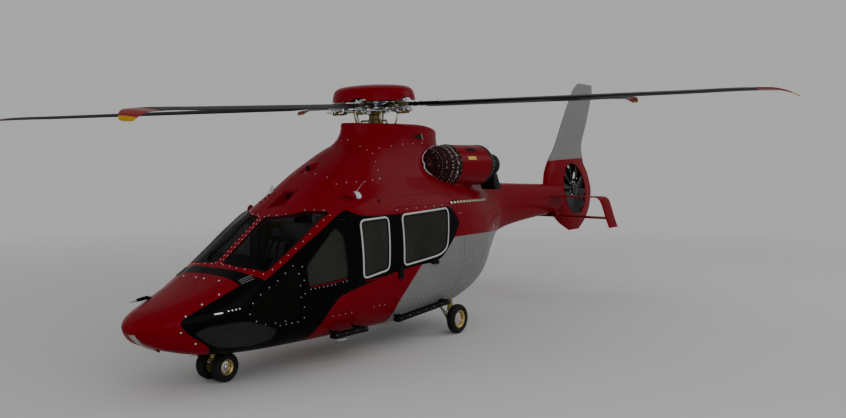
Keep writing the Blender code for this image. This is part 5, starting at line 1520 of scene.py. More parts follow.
class HELICOPTER_OT_blades(bpy.types.Operator):
    """Draw the five blades with root fittings, erosion strips and painted tips"""
    bl_idname = "helicopter.blades"
    bl_label = "Main blades"

    def execute(self, context):
        steel = finish_of("erosion_strip", (0.13, 0.145, 0.17), 0.35, 0.6, scale=8.0, tone=0.6)
        tip_red = plain_gloss("tip_red", (0.20, 0.010, 0.016, 1.0))
        tip_yellow = plain_gloss("tip_yellow", (0.42, 0.24, 0.004, 1.0))
        radii = [0.7803, 0.82, 0.88, 0.94, 1.0, 1.08, 1.16, 1.24, 1.32, 1.40]
        radii += [1.40 + 0.15 * k for k in range(1, 31)]
        radii += [5.99, 6.06, 6.12, 6.18, 6.24, 6.30, 6.36, 6.42, 6.46, 6.50, 6.53, 6.56, 6.60, 6.64, 6.67, 6.69, 6.699]
        nut = [(0.0, 0.0), (0.026, 0.0), (0.026, 0.005), (0.016, 0.007), (0.014, 0.014), (0.0, 0.014)]
        for i, turn in enumerate(blade_turns()):
            rows = []
            for radius in radii:
                lead, trail, half, droop = smooth_table(BLADE_LINES, radius)
                twist = 1 - 0.5 * (radius - ARM_R) / (ROTOR_R - ARM_R)
                tilt = BLADE_PITCH * twist * min(1.0, (radius - ARM_R) / 0.4)
                edges = [Vector((radius, -y * math.cos(tilt), y * math.sin(tilt) - droop)) for y in (lead, trail)]
                rows.append((*edges, half * BLADE_BODY))
            blade = wing(rows, UP, 16)
            for face in blade.faces:
                centre = face.calc_center_median()
                lead, trail, half, droop = smooth_table(BLADE_LINES, min(centre.x, 6.699))
                share = (centre.y + lead) / (lead - trail)
                if centre.x > 6.24:
                    face.material_index = 3 if centre.x > 6.645 else 2
                elif centre.x > 1.45 and share < 0.035:
                    face.material_index = 1
            whole = join(bmesh.new(), blade, rotor_place(turn), None)
            for x in (0.86, 0.98):
                for up in (1, -1):
                    flip = Matrix.Rotation(0.0 if up > 0 else math.pi, 4, "X")
                    place = rotor_place(turn) @ Matrix.Translation((x, 0.0, up * 0.024)) @ flip
                    join(whole, lathe(nut, 18), place, 1)
            for x in (3.2, 4.6, 5.6):
                join(whole, block((x, 0.222, -0.0030), (x + 0.06, 0.246, -0.0018), 0.0004, 1), rotor_place(turn), 1)
            finish(f"blade_{i + 1}", whole, "main_rotor", [blade_skin(), steel, tip_red, tip_yellow],
                   [f"rotor_blade_{i + 1}"], sharp=40)
        return {"FINISHED"}


# Tail

def fan_place():
    return Matrix.Translation(FAN_PLACE) @ Matrix.Rotation(CANT, 4, "X")


def fair(rows, steps):
    """Rows of numbers read smoothly between their own places."""
    spots = list(range(len(rows)))
    columns = list(zip(*rows))
    tangents = [slopes(column, spots) for column in columns]
    count = (len(rows) - 1) * steps
    return [[read_line(spots, column, tangent, k / steps) for column, tangent in zip(columns, tangents)]
            for k in range(count + 1)]


def fin_solid():
    rows = [(Vector((nose - FAN_PLACE.x, 0.0, up)), Vector((tail - FAN_PLACE.x, 0.0, up)), half)
            for up, nose, tail, half in fair(FIN_LINES, 8)]
    shape = wing(rows, Vector((0.0, 1.0, 0.0)), 24)
    bmesh.ops.transform(shape, matrix=fan_place(), verts=shape.verts)
    return shape


# Near black on the duct's bore and on the stator vanes: painted shade inside the duct.
def duct_painted_shade():
    return finish_of("duct_painted_shade", (0.006, 0.006, 0.007), 0.45, tone=0.6, scale=6.0, specular=0.2)


class HELICOPTER_OT_tail(bpy.types.Operator):
    """Shape the fin round its duct, with fan, stator and stabiliser"""
    bl_idname = "helicopter.tail"
    bl_label = "Tail"

    def execute(self, context):
        solid = fin_solid()
        form = Form(solid.copy())
        inner = fan_place()
        bore = bmesh.new()
        join(bore, bar((0.0, -1.0, 0.0), (0.0, 1.0, 0.0), DUCT_R, 128), inner)
        shape = combine(solid, bore)
        level = inner.inverted()
        # the bore's faces take the duct's painted shade
        for face in shape.faces:
            spot = level @ face.calc_center_median()
            if abs(math.hypot(spot.x, spot.z) - DUCT_R) < 0.01:
                face.material_index = 1
        finish("fin_skin", shape, "airframe", [fin_paint(), duct_painted_shade()], ["fin_and_duct"], form=form)
        lip, axis = bmesh.new(), (inner.to_3x3() @ Vector((0.0, 1.0, 0.0))).normalized()
        for way in (1, -1):
            rim = []
            for a in turns(120):
                start = Vector(((DUCT_R + 0.012) * math.cos(a), way * 0.6, (DUCT_R + 0.012) * math.sin(a)))
                rim.append(form.cast(inner @ start, -way * axis)[0] - axis * way * 0.004)
            join(lip, pipe(rim, 0.0155, 12, True))
        finish("duct_lips", lip, "airframe", red_gloss())
        self.fan(inner)
        self.stator(inner)
        self.stabiliser()
        wicks = bmesh.new()
        for up in (1.10, 1.42, 1.74, 2.06, 2.36):
            tail = smooth_table(FIN_LINES, up)[1] - FAN_PLACE.x
            join(wicks, bar((tail + 0.02, 0.0, up), (tail - 0.055, 0.0, up), 0.006, 8, 0.002), inner)
        finish("fin_wicks", wicks, "airframe", screw_steel())
        return {"FINISHED"}

    def fan(self, inner):
        grey = finish_of("fan_grey", (0.010, 0.011, 0.013), 0.4, 0.4, scale=8.0, tone=0.6, specular=0.3)
        shape = bmesh.new()
        hub = [(0.0, -0.0695), (0.149, -0.0695), (0.149, 0.030), (0.135, 0.052), (0.09, 0.066), (0.045, 0.0695),
               (0.0, 0.0695)]
        middle_of_fan = inner @ Matrix.Translation((0.0, FAN_OFFSET, 0.0))
        join(shape, lathe(hub, 48), middle_of_fan @ Matrix.Rotation(-math.pi / 2, 4, "X"))
        rows = []
        for step in range(13):
            share = step / 12
            reach = (0.135 + (0.578 - 0.135) * share) * UP
            pitch = math.radians(30.0 - 18.0 * share)
            half = (0.062 + 0.074 * min(1.0, 1.6 * share)) * Vector((math.cos(pitch), math.sin(pitch), 0.0))
            rows.append((reach + half, reach - half, 0.008 - 0.004 * share))
        for turn in turns(10):
            spin = middle_of_fan @ Matrix.Rotation(turn, 4, "Y")
            join(shape, wing(rows, lambda i: (rows[i][0] - rows[i][1]).cross(UP).normalized(), 8), spin)
            join(shape, bar((0.0, 0.0, 0.12), (0.0, 0.0, 0.185), 0.024, 16, 0.017), spin, 1)
            a = turn + math.pi / 10
            at = Vector((0.105 * math.cos(a), FAN_OFFSET + 0.060, 0.105 * math.sin(a)))
            join(shape, bar(at, at + Vector((0.0, 0.0085, 0.0)), 0.009, 6), inner, 1)
        finish("fan_blades", shape, "fan_rotor", [grey, bright_steel()], ["tail_fan"])

    def stator(self, inner):
        shape = bmesh.new()
        turn = Matrix.Translation((0.0, STATOR_OFFSET, 0.0)) @ Matrix.Rotation(math.pi / 2, 4, "X")
        hub = [(0.0, -0.068), (0.148, -0.068), (0.149, 0.02), (0.146, 0.05), (0.12, 0.064), (0.0, 0.070)]
        join(shape, lathe(hub, 48), inner @ turn)
        for k in range(11):
            spin = Matrix.Rotation(2 * math.pi * k / 11, 4, "Y")
            rows = [(Vector((-0.046, STATOR_OFFSET + 0.060, reach)),
                     Vector((-0.046 + 0.577 * (0.060 + back), STATOR_OFFSET - back, reach)), 0.014 if k else 0.024)
                    for reach, back in ((0.13, 0.100), (0.30, 0.100), (0.45, 0.088), (0.5985, 0.066))]
            join(shape, wing(rows, Vector((0.867, 0.498, 0.0)), 8), inner @ spin)
        finish("stator_vanes", shape, "airframe", duct_painted_shade(), ["fan_stator"])

    def stabiliser(self):
        shape = bmesh.new()
        for side in (1, -1):
            spine = fair(STAB_LINES, 6)
            rows, lifts = [], []
            for i, (y, z, nose, tail, half) in enumerate(spine):
                before, after = spine[max(i - 1, 0)], spine[min(i + 1, len(spine) - 1)]
                run = Vector((0.0, side * (after[0] - before[0]), after[1] - before[1])).normalized()
                rows.append((Vector((nose, side * y, z)), Vector((tail, side * y, z)), half))
                lifts.append(Vector((0.0, -run.z, run.y)) * side)
            join(shape, wing(rows, lambda i: lifts[i], 12))
        lower = [(Vector((-6.06, y, 1.75)), Vector((-6.50, y, 1.75)), 0.040) for y in (-1.47, -0.8, 0.0, 0.8, 1.47)]
        join(shape, wing(lower, UP, 12))
        strut = [(Vector((-6.08, 0.0, z)), Vector((-6.42, 0.0, z)), 0.030) for z in (1.74, 1.86, 1.98, 2.12)]
        join(shape, wing(strut, Vector((0.0, 1.0, 0.0)), 10))
        for side in (1, -1):
            brace = [(Vector((-6.13, side * y, z)), Vector((-6.29, side * y, z)), 0.013)
                     for y, z in ((0.235, 1.755), (0.180, 1.88), (0.120, 2.03))]
            join(shape, wing(brace, Vector((0.0, 1.0, 0.0)), 8))
        finish("stabiliser_planes", shape, "airframe", red_gloss(), ["stabiliser"], sharp=40)


# Landing gear

def axle_place(x, y, height, side=1):
    """Place for a part turned about Z, laid on an axle with +Z towards the outside."""
    return Matrix.Translation((x, y, height)) @ Matrix.Rotation(-side * math.pi / 2, 4, "X")


def tyre_rubber():
    return finish_of("tyre_rubber", (0.008, 0.008, 0.008), 0.7, tone=0.4, scale=14.0, dust=0.25, bump=0.0015,
                     dirt=(0.06, 0.055, 0.05), specular=0.2)


def tyre(outer, rim, half):
    """Round tyre with three grooves in its tread and a ridge on each wall."""
    def wall(share):
        angle = math.pi * share
        mid = (outer + rim) / 2 - 0.004
        return (mid - (outer - mid) * math.cos(angle), half * math.sin(angle) ** 0.75)

    edge = [wall(k / 14) for k in range(1, 14)]
    edge = [(r, z) for r, z in edge if z > half * 0.42 or r < (outer + rim) / 2]
    edge.insert(len(edge) // 2, (edge[len(edge) // 2][0] - 0.004, half))
    tread = [(outer - 0.004, half * 0.40), (outer - 0.0022, half * 0.30), (outer - 0.009, half * 0.28),
             (outer - 0.009, half * 0.22), (outer - 0.0008, half * 0.20), (outer - 0.0002, half * 0.05),
             (outer - 0.009, half * 0.035)]
    outside = [(rim - 0.004, half * 0.62), (rim + 0.006, half * 0.74)] + edge[1:] + tread
    profile = outside + [(r, -z) for r, z in reversed(outside)]
    return lathe(profile + [(rim - 0.004, 0.0)], 72, True)


def wheel_disc(rim, half, axle):
    """Split rim with ribs, tie bolts and a hub cap, open side towards +Z."""
    shape = bmesh.new()
    profile = [(axle, half * 0.30), (axle + 0.022, half * 0.34), (axle + 0.030, half * 0.16),
               (rim * 0.60, half * 0.10), (rim * 0.76, half * 0.22), (rim * 0.80, half * 0.62),
               (rim * 0.93, half * 0.84), (rim + 0.004, half * 0.90), (rim + 0.005, half * 0.74),
               (rim - 0.004, half * 0.66), (rim - 0.004, -half * 0.66),
               (rim + 0.005, -half * 0.74), (rim + 0.004, -half * 0.90), (rim * 0.86, -half * 0.86),
               (rim * 0.80, -half * 0.3), (rim * 0.62, -half * 0.12), (axle + 0.022, -half * 0.16), (axle, -half * 0.3)]
    join(shape, lathe(profile, 64, True))
    cap = [(0.0, half * 0.74), (axle * 0.7, half * 0.72), (axle + 0.004, half * 0.60), (axle + 0.008, half * 0.36),
           (rim * 0.68, half * 0.26), (rim * 0.68, half * 0.12), (0.0, half * 0.1)]
    join(shape, lathe(cap, 40), None, 1)
    for a in turns(9):
        turn = Matrix.Rotation(a, 4, "Z")
        join(shape, bar((rim * 0.70, 0.0, half * 0.10), (rim * 0.70, 0.0, half * 0.34), 0.0060, 6), turn, 1)
        join(shape, block((rim * 0.44, -0.0045, half * 0.10), (rim * 0.62, 0.0045, half * 0.24), 0.002), turn, 0)
    for a in turns(6):
        x, y = rim * 0.46 * math.cos(a), rim * 0.46 * math.sin(a)
        join(shape, bar((x, y, half * 0.24), (x, y, half * 0.44), 0.0065, 6), None, 0)
    return shape


def add_tyre(name, radii, place, body, node_name):
    rubber = tyre(*radii)
    bmesh.ops.transform(rubber, matrix=place, verts=rubber.verts)
    finish(name, rubber, body, tyre_rubber(), [node_name], sharp=28)


def leg_gold():
    return finish_of("leg_gold", (0.46, 0.33, 0.11), 0.32, 0.8, scale=9.0, tone=0.6, dust=0.2)


def piston_chrome():
    return finish_of("piston_chrome", (0.70, 0.70, 0.71), 0.12, 1.0, scale=9.0, tone=0.2)


def gear_dark():
    return finish_of("gear_dark", (0.020, 0.020, 0.020), 0.45, 0.4, scale=9.0, tone=0.6)


class HELICOPTER_OT_nose_gear(bpy.types.Operator):
    """Build the nose leg, its steering fork, both wheels and tyres"""
    bl_idname = "helicopter.nose_gear"
    bl_label = "Nose gear"

    def execute(self, context):
        looks = [leg_gold(), piston_chrome(), gear_dark()]
        x, low, axle_x, axle_z = NOSE_STRUT_X, NOSE_LEG_LOW, NOSE_AXLE_X, NOSE_TYRE_R
        turn = Matrix.Translation((x, 0.0, 0.0))
        leg = bmesh.new()
        join(leg, lathe([(0.0, low), (0.040, low), (0.0475, low + 0.006), (0.0475, low + 0.030), (0.042, low + 0.036),
                         (0.042, 0.46), (0.047, 0.465), (0.047, 0.60), (0.0, 0.60)], 40), turn, 0)
        add_blocks(leg, (((x + 0.17, -0.050, 0.406), (x + 0.31, 0.050, 0.53), 0.014, 3, 3),
                         ((x + 0.300, -0.032, 0.414), (x + 0.325, 0.032, 0.450), 0.003, 1, 1),
                         ((x - 0.075, -0.030, 0.385), (x - 0.02, 0.030, 0.425), 0.008, 2, 2)))
        join(leg, bar((x + 0.32, 0.0, 0.424), (x + 0.40, 0.0, 0.414), 0.008, 10, 0.004), None, 1)
        add_bars(leg, (((x + 0.20, 0.0, 0.47), (x + 0.02, 0.0, 0.445), 0.020, 14, 0.004, 0),
                       ((x - 0.02, 0.0, 0.40), (x - 0.17, 0.0, 0.53), 0.018, 14, 0.003, 1),
                       ((x, -0.052, 0.375), (x, -0.052, 0.52), 0.012, 12, 0.003, 0),
                       ((x, 0.052, 0.375), (x, 0.052, 0.52), 0.012, 12, 0.003, 0)))
        for y in (-0.052, 0.052):
            hose = [(x + 0.03, y * 0.6, 0.50), (x + 0.055, y * 0.8, 0.44), (x + 0.045, y * 0.5, 0.385)]
            join(leg, pipe(hose, 0.005, 8), None, 2)
        finish("nose_strut", leg, "airframe", [*looks, red_gloss()], ["nose_leg"])
        fork = bmesh.new()
        join(fork, lathe([(0.0, 0.245), (0.034, 0.245), (0.034, 0.30), (0.040, 0.305), (0.046, 0.318), (0.046, 0.345),
                          (0.040, low - 0.0015), (0.0, low - 0.0015)], 36), turn, 0)
        add_blocks(fork, (((axle_x - 0.022, -0.034, 0.205), (x + 0.036, 0.034, 0.268), 0.014, 3, 0),))
        add_bars(fork, (((x, 0.0, 0.255), (x, 0.0, 0.31), 0.031, 28, 0.0, 1),
                        ((axle_x, -0.060, axle_z), (axle_x, 0.060, axle_z), 0.040, 32, 0.006, 0),
                        ((x + 0.085, -0.026, 0.285), (x + 0.085, 0.026, 0.285), 0.009, 12, 0.002, 1)))
        add_bars(fork, both_sides((((x + 0.045, 0.018, 0.335), (x + 0.085, 0.018, 0.285), 0.0075, 10, 0.0, 0),
                                   ((x + 0.085, 0.018, 0.285), (x + 0.030, 0.018, 0.235), 0.0075, 10, 0.0, 0))))
        hose = [(x - 0.035, 0.03, 0.33), (x - 0.075, 0.045, 0.30), (axle_x - 0.03, 0.045, 0.25)]
        join(fork, pipe(hose, 0.005, 8), None, 2)
        finish("nose_fork_parts", fork, "nose_steering", looks, ["nose_fork"])
        rims, reach = bmesh.new(), NOSE_WHEEL_Y - 0.03
        join(rims, bar((axle_x, -reach, axle_z), (axle_x, reach, axle_z), 0.0215, 24), None, 1)
        for side, word in SIDES:
            place = axle_place(axle_x, side * NOSE_WHEEL_Y, axle_z, side)
            join(rims, wheel_disc(NOSE_RIM_R, RIM_HALF, 0.026), place, None)
            add_tyre(f"nose_tread_{word}", (NOSE_TYRE_R, NOSE_RIM_R, NOSE_TYRE_HALF), place, "nose_wheels",
                     f"nose_tyre_{word}")
        finish("nose_wheel_discs", rims, "nose_wheels", looks[:2], ["nose_rims"])
        return {"FINISHED"}


class HELICOPTER_OT_main_gear(bpy.types.Operator):
    """Build both main legs with braces and brakes, and their wheels"""
    bl_idname = "helicopter.main_gear"
    bl_label = "Main gear"

    def execute(self, context):
        leg_paint = finish_of("leg_primer", (0.215, 0.200, 0.045), 0.42, 0.3, scale=8.0, tone=0.5, dust=0.3)
        x, r = MAIN_X, MAIN_TYRE_R
        for side, word in SIDES:
            y = side * MAIN_LEG_Y

            def at(along, inwards, height):
                return (x + along, y - side * inwards, height)

            leg = bmesh.new()
            join(leg, lathe([(0.0, 0.39), (0.036, 0.39), (0.036, 0.40), (0.048, 0.404), (0.0495, 0.42), (0.0495, 0.445),
                             (0.044, 0.455), (0.044, 0.78), (0.0, 0.78)], 36), Matrix.Translation((x, y, 0.0)), 0)
            add_bars(leg, ((at(0.0, 0.0, r + 0.03), at(0.0, 0.0, 0.40), 0.031, 28, 0.0, 1),
                           (at(0.0, 0.055, r), (x, side * (MAIN_Y - MAIN_TYRE_HALF - 0.012), r), 0.052, 32, 0.006, 0),
                           (at(0.0, 0.0, r), (x, side * (MAIN_Y - 0.01), r), 0.0295, 24, 0.0, 1),
                           ((x, side * 0.798, r), (x, side * 0.820, r), 0.112, 48, 0.004, 2),
                           (at(0.035, 0.035, 0.262), at(0.27, 0.05, 0.54), 0.019, 16, 0.004, 0),
                           (at(0.10, 0.039, 0.339), at(0.17, 0.043, 0.422), 0.026, 16, 0.004, 1),
                           (at(0.105, 0.03, 0.345), at(0.105, -0.03, 0.345), 0.011, 12, 0.0, 1)))
            for off in (-0.018, 0.018):
                add_bars(leg, ((at(0.045, off, 0.30), at(0.105, off, 0.345), 0.009, 10, 0.0, 0),
                               (at(0.105, off, 0.345), at(0.045, off, 0.415), 0.009, 10, 0.0, 0)))
            low, high = (side * 0.812 - 0.018, side * 0.812 + 0.018)
            add_blocks(leg, (((x - 0.15, low, r - 0.05), (x - 0.075, high, r + 0.05), 0.010, 3, 2),))
            brake_line = [(x - 0.04, y, 0.56), (x - 0.085, y + side * 0.01, 0.46), (x - 0.10, y + side * 0.03, 0.36),
                          (x - 0.11, side * 0.80, 0.30)]
            join(leg, pipe(brake_line, 0.006, 8), None, 2)
            finish(f"main_strut_{word}", leg, "airframe", [leg_paint, piston_chrome(), gear_dark()],
                   [f"main_leg_{word}"])
            place = axle_place(x, side * MAIN_Y, r, side)
            rims = join(bmesh.new(), wheel_disc(MAIN_RIM_R, RIM_HALF, 0.034), place, None)
            finish(f"main_wheel_disc_{word}", rims, f"main_wheel_{word}", [leg_gold(), piston_chrome()],
                   [f"main_rim_{word}"])
            add_tyre(f"main_tread_{word}", (r, MAIN_RIM_R, MAIN_TYRE_HALF), place, f"main_wheel_{word}",
                     f"main_tyre_{word}")
        return {"FINISHED"}


class HELICOPTER_OT_boards(bpy.types.Operator):
    """Hang the step boards below the doors"""
    bl_idname = "helicopter.boards"
    bl_label = "Steps"

    def execute(self, context):
        black = finish_of("step_black", (0.0030, 0.0032, 0.0034), 0.6, tone=0.5, scale=12.0, dust=0.10, bump=0.0012,
                          dirt=(0.03, 0.03, 0.03), specular=0.12)
        for side, word in SIDES:
            for name, front, back, height, tilt in STEP_BOARDS:
                shape = bmesh.new()
                low, high = span(side, 0.885, 1.015)

                def rise(x):
                    return height + tilt * (front - x) / (front - back)

                board = block((back, low, -0.080), (front, high, -0.006), 0.020, 3)
                for vert in board.verts:
                    vert.co.z += rise(vert.co.x)
                join(shape, board)
                count = round((front - back) / 0.055)
                for k in range(count):
                    x = back + (front - back) * (k + 0.5) / count
                    join(shape, block((x - 0.006, low + 0.020, rise(x) - 0.010),
                                      (x + 0.006, high - 0.020, rise(x) - 0.002), 0.002, 1))
                edge = [(Vector((x, side * 1.0155, rise(x) - 0.022)), Vector((0.0, side, 0.0)))
                        for x in [back + 0.06 + 0.22 * k for k in range(int((front - back - 0.08) / 0.22) + 1)]]
                join(shape, screws(edge, 0.0055), None, 1)
                near, far = span(side, 0.89, 0.94)
                for x in (back + 0.12, front - 0.12):
                    up = rise(x)
                    join(shape, bar((x, side * 0.93, up - 0.035), (x, side * 0.66, up + 0.03), 0.021, 16))
                    join(shape, block((x - 0.032, near, up - 0.040), (x + 0.032, far, up + 0.022), 0.010))
                if name == "front":
                    hook = [(x, side * 0.98, height + up) for x, up in (
                        (2.045, -0.07), (2.035, -0.093), (1.99, -0.115), (1.82, -0.121))]
                    join(shape, pipe(hook, 0.0055, 8), None, 1)
                finish(f"{name}_board_{word}", shape, "airframe", [black, screw_steel()], [f"{name}_step_{word}"])
        return {"FINISHED"}


# Cabin

@functools.cache
def cloth():
    """Woven seat cover: threads crossing, with soft wear."""
    look, tree, shader = material("seat_cloth")
    place = node(tree, "TexCoord").outputs["Object"]
    warp = node(tree, "TexWave", {"Vector": place, "Scale": 70.0, "Distortion": 1.5, "Detail": 1.0},
                bands_direction="X").outputs["Fac"]
    weft = node(tree, "TexWave", {"Vector": place, "Scale": 70.0, "Distortion": 1.5, "Detail": 1.0},
                bands_direction="Z").outputs["Fac"]
    weave = math_node(tree, "MULTIPLY", warp, weft)
    wear = place_group(tree, grime(), {"Scale": 6.0, "Tone": 0.4, "Dust": 0.25})
    thread = mix(tree, weave, (0.14, 0.14, 0.145, 1.0), (0.30, 0.30, 0.30, 1.0))
    link(tree, node(tree, "HueSaturation", {"Color": thread, "Value": wear["Shade"]}).outputs[0],
         shader.inputs["Base Color"])
    link(tree, math_node(tree, "MULTIPLY_ADD", wear["Dust"], 0.5, 0.8), shader.inputs["Roughness"])
    height = node(tree, "Bump", {"Height": weave, "Distance": 0.0012, "Strength": 0.7})
    link(tree, height.outputs[0], shader.inputs["Normal"])
    set_sockets(shader, {"Sheen Weight": 0.25, "Specular IOR Level": 0.3})
    return look


def pad_form(width, depth, thick, crown, waist):
    """Start of a cushion: a slab crowned on both faces, with sides drawn in between its corners."""
    shape = block((-depth / 2, -width / 2, -thick / 2), (depth / 2, width / 2, thick / 2))
    bmesh.ops.subdivide_edges(shape, edges=shape.edges[:], cuts=9, use_grid_fill=True)
    for vert in shape.verts:
        u, v, w = 2 * vert.co.x / depth, 2 * vert.co.y / width, 2 * vert.co.z / thick
        vert.co.z += crown * w * (1 - u * u) * (1 - v * v)
        vert.co.x *= 1 - waist * (1 - v * v)
        vert.co.y *= 1 - waist * (1 - u * u)
    return ease(shape, 0.016, 3, [edge for edge in shape.edges if edge.calc_face_angle(0.0) > 0.8])


def puff(shape, voxel, cap):
    """Cloth pressed out from inside, as a filled cushion; gives the shape after it settles."""
    item = to_object("pad", shape)
    remesh = item.modifiers.new("remesh", "REMESH")
    remesh.mode, remesh.voxel_size = "VOXEL", voxel
    bpy.context.view_layer.update()
    mesh = bpy.data.meshes.new_from_object(item.evaluated_get(bpy.context.evaluated_depsgraph_get()))
    item.modifiers.clear()
    item.data = mesh
    start = [vert.co.copy() for vert in mesh.vertices]
    fabric = item.modifiers.new("cloth", "CLOTH")
    fabric.settings.use_pressure = True
    fabric.settings.uniform_pressure_force = 4.0
    fabric.settings.effector_weights.gravity = 0.0
    fabric.settings.quality = 5
    fabric.point_cache.frame_start, fabric.point_cache.frame_end = 1, 20
    for step in range(1, 21):
        bpy.context.scene.frame_set(step)
    settled = bpy.data.meshes.new_from_object(item.evaluated_get(bpy.context.evaluated_depsgraph_get()))
    moved = [vert.co.copy() for vert in settled.vertices]
    item.modifiers.clear()
    bpy.data.meshes.remove(settled)
    bpy.context.scene.frame_set(1)
    for vert, old, new in zip(mesh.vertices, start, moved):
        shift = new - old
        vert.co = old + shift * min(1.0, cap / max(shift.length, 1e-9))
    made = bmesh.new()
    made.from_mesh(mesh)
    bpy.data.objects.remove(item, do_unlink=True)
    bpy.data.meshes.remove(mesh)
    return made


def piping(pad, width, depth, height, radius=0.0045):
    """Sewn edge laid on the settled cushion."""
    tree = BVHTree.FromBMesh(pad)
    line = []
    for a in turns(96):
        u = math.copysign(abs(math.cos(a)) ** 0.45, math.cos(a)) * depth / 2 * 0.93
        v = math.copysign(abs(math.sin(a)) ** 0.45, math.sin(a)) * width / 2 * 0.93
        line.append(tree.find_nearest(Vector((u, v, height)))[0])
    return pipe(line, radius, 6, True)


def channels(pad, width, depth, lines, radius=0.0035):
    """Stitched channels across the front face of a cushion."""
    tree = BVHTree.FromBMesh(pad)
    whole = bmesh.new()
    for share in lines:
        line = []
        for k in range(31):
            v = (k / 30 - 0.5) * width * 0.88
            hit = tree.ray_cast(Vector((share * depth / 2, v, 0.4)), -UP)[0]
            if hit is not None:
                line.append(hit - 0.0015 * UP)
        join(whole, pipe(line, radius, 6))
    return whole


# Cushions: kind, width, depth, thickness, crown, waist, channels
PADS = (("pan", 0.42, 0.44, 0.075, 0.014, 0.025, (0.35, -0.35)),
        ("back", 0.42, 0.56, 0.070, 0.012, 0.03, (0.5, 0.0, -0.5)),
        ("head", 0.25, 0.17, 0.070, 0.010, 0.03, ()))


def seat_place(x, y, base, kind):
    """Where each cushion of a seat lies: its centre, and its face turned up or forwards."""
    if kind == "pan":
        return Matrix.Translation((x + 0.06, y, base + 0.385)) @ Matrix.Rotation(math.radians(-5.0), 4, "Y")
    lean = Matrix.Rotation(math.radians(90.0 - 14.0), 4, "Y")
    if kind == "back":
        return Matrix.Translation((x - 0.200, y, base + 0.715)) @ lean
    return Matrix.Translation((x - 0.262, y, base + 1.085)) @ lean


class HELICOPTER_OT_seats(bpy.types.Operator):
    """Upholster the pilots' seats and the bench with filled cushions on shells"""
    bl_idname = "helicopter.seats"
    bl_label = "Seats"

    def execute(self, context):
        seam = finish_of("seat_piping", (0.020, 0.020, 0.022), 0.8, tone=0.4, scale=20.0)
        shell_look = finish_of("seat_shell", (0.060, 0.062, 0.066), 0.5, tone=0.3, scale=12.0, bump=0.0008)
        web_look = finish_of("belt_web", (0.035, 0.036, 0.040), 0.8, tone=0.3, scale=40.0, bump=0.001)
        pads, cabin = {}, context.scene.helicopter_cabin
        for kind, width, depth, thick, crown, waist, lines in PADS:
            pad = puff(pad_form(width - 0.02, depth - 0.02, thick - 0.02, crown, waist), cabin.voxel, cabin.give)
            trim_line = piping(pad, width, depth, 0.4 * thick)
            join(trim_line, channels(pad, width, depth, lines))
            pads[kind] = (pad, trim_line)
        places = [("pilot_port", PILOT_SEAT_X, PILOT_SEAT_Y, FLOOR_TOP + cabin.seat_rise),
                  ("pilot_starboard", PILOT_SEAT_X, -PILOT_SEAT_Y, FLOOR_TOP + cabin.seat_rise)]
        places += [(f"bench_{k + 1}", BENCH_X, y, FLOOR_TOP) for k, y in enumerate((0.48, 0.0, -0.48))]
        for name, x, y, base in places:
            for kind, (pad, trim_line) in pads.items():
                cushion = pad.copy()
                bmesh.ops.transform(cushion, matrix=seat_place(x, y, base, kind), verts=cushion.verts)
                stands = []
                if kind == "pan":
                    stands = [f"pilot_seat_{name[6:]}"] if name.startswith("pilot") else (
                        ["cabin_bench"] if name == "bench_2" else [])
                item = finish(f"{name}_{kind}_cushion", cushion, "airframe", cloth(), stands, sharp=60)
                sewn = trim_line.copy()
                bmesh.ops.transform(sewn, matrix=seat_place(x, y, base, kind), verts=sewn.verts)
                finish(f"{name}_{kind}_piping", sewn, "airframe", seam, sharp=60)
            self.frame(name, x, y, base, shell_look, web_look)
        for pad, trim_line in pads.values():
            pad.free()
            trim_line.free()
        return {"FINISHED"}

    def frame(self, name, x, y, base, shell_look, web_look):
        def at(along, across, up):
            return (x + along, y + across, base + up)

        foot, shape = FLOOR_TOP, bmesh.new()
        side = vectors((x + along, base + up) for along, up in (
            (0.27, 0.33), (0.27, 0.30), (-0.10, 0.27), (-0.215, 0.31), (-0.345, 1.02), (-0.315, 1.025), (-0.20, 0.37),
            (-0.09, 0.325)))
        cheek = vectors((x + along, base + up) for along, up in (
            (0.20, 0.30), (-0.10, 0.28), (-0.22, 0.32), (-0.33, 0.96), (-0.26, 0.92), (-0.17, 0.50), (0.20, 0.42)))
        join(shape, ease(prism(side, y - 0.225, y + 0.225), 0.008))
        web = [(-0.021, 0.0), (-0.021, 0.002), (0.021, 0.002), (0.021, 0.0)]
        for way in (1, -1):
            join(shape, ease(prism(cheek, y + way * 0.225 - 0.008, y + way * 0.225 + 0.008), 0.005))
            rail = y + way * 0.15
            add_bars(shape, (((x + 0.16, rail, foot + 0.004), at(0.10, way * 0.15, 0.29), 0.016, 12, 0.0, 1),
                             ((x - 0.14, rail, foot + 0.004), at(-0.08, way * 0.15, 0.28), 0.016, 12, 0.0, 1),
                             (at(-0.335, way * 0.07, 0.95), at(-0.295, way * 0.05, 1.07), 0.008, 10, 0.0, 1)))
            join(shape, block((x - 0.19, rail - 0.016, foot + 0.001), (x + 0.26, rail + 0.016, foot + 0.020), 0.004),
                 None, 1)
            for out, line in ((Vector((1.0, 0.0, 0.25)), ((-0.245, 0.055, 1.00), (-0.185, 0.070, 0.90),
                                                          (-0.130, 0.085, 0.72), (-0.075, 0.075, 0.52),
                                                          (-0.02, 0.045, 0.445))),
                              (Vector((0.2, 0.0, 1.0)), ((-0.14, 0.20, 0.40), (-0.06, 0.15, 0.435),
                                                         (-0.015, 0.04, 0.448)))):
                spots = [(Vector(at(along, way * across, up)), out.normalized()) for along, across, up in line]
                join(shape, strip(spots, web, False), None, 2)
        join(shape, block(at(-0.045, -0.032, 0.440), at(0.02, 0.032, 0.456), 0.006), None, 1)
        finish(f"{name}_seat_frame", shape, "airframe", [shell_look, bright_steel(), web_look])


def wear_plain(name, look):
    """Give a part of the frame that still shows its one finish."""
    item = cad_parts[name]
    item.data.materials.clear()
    item.data.materials.append(look)


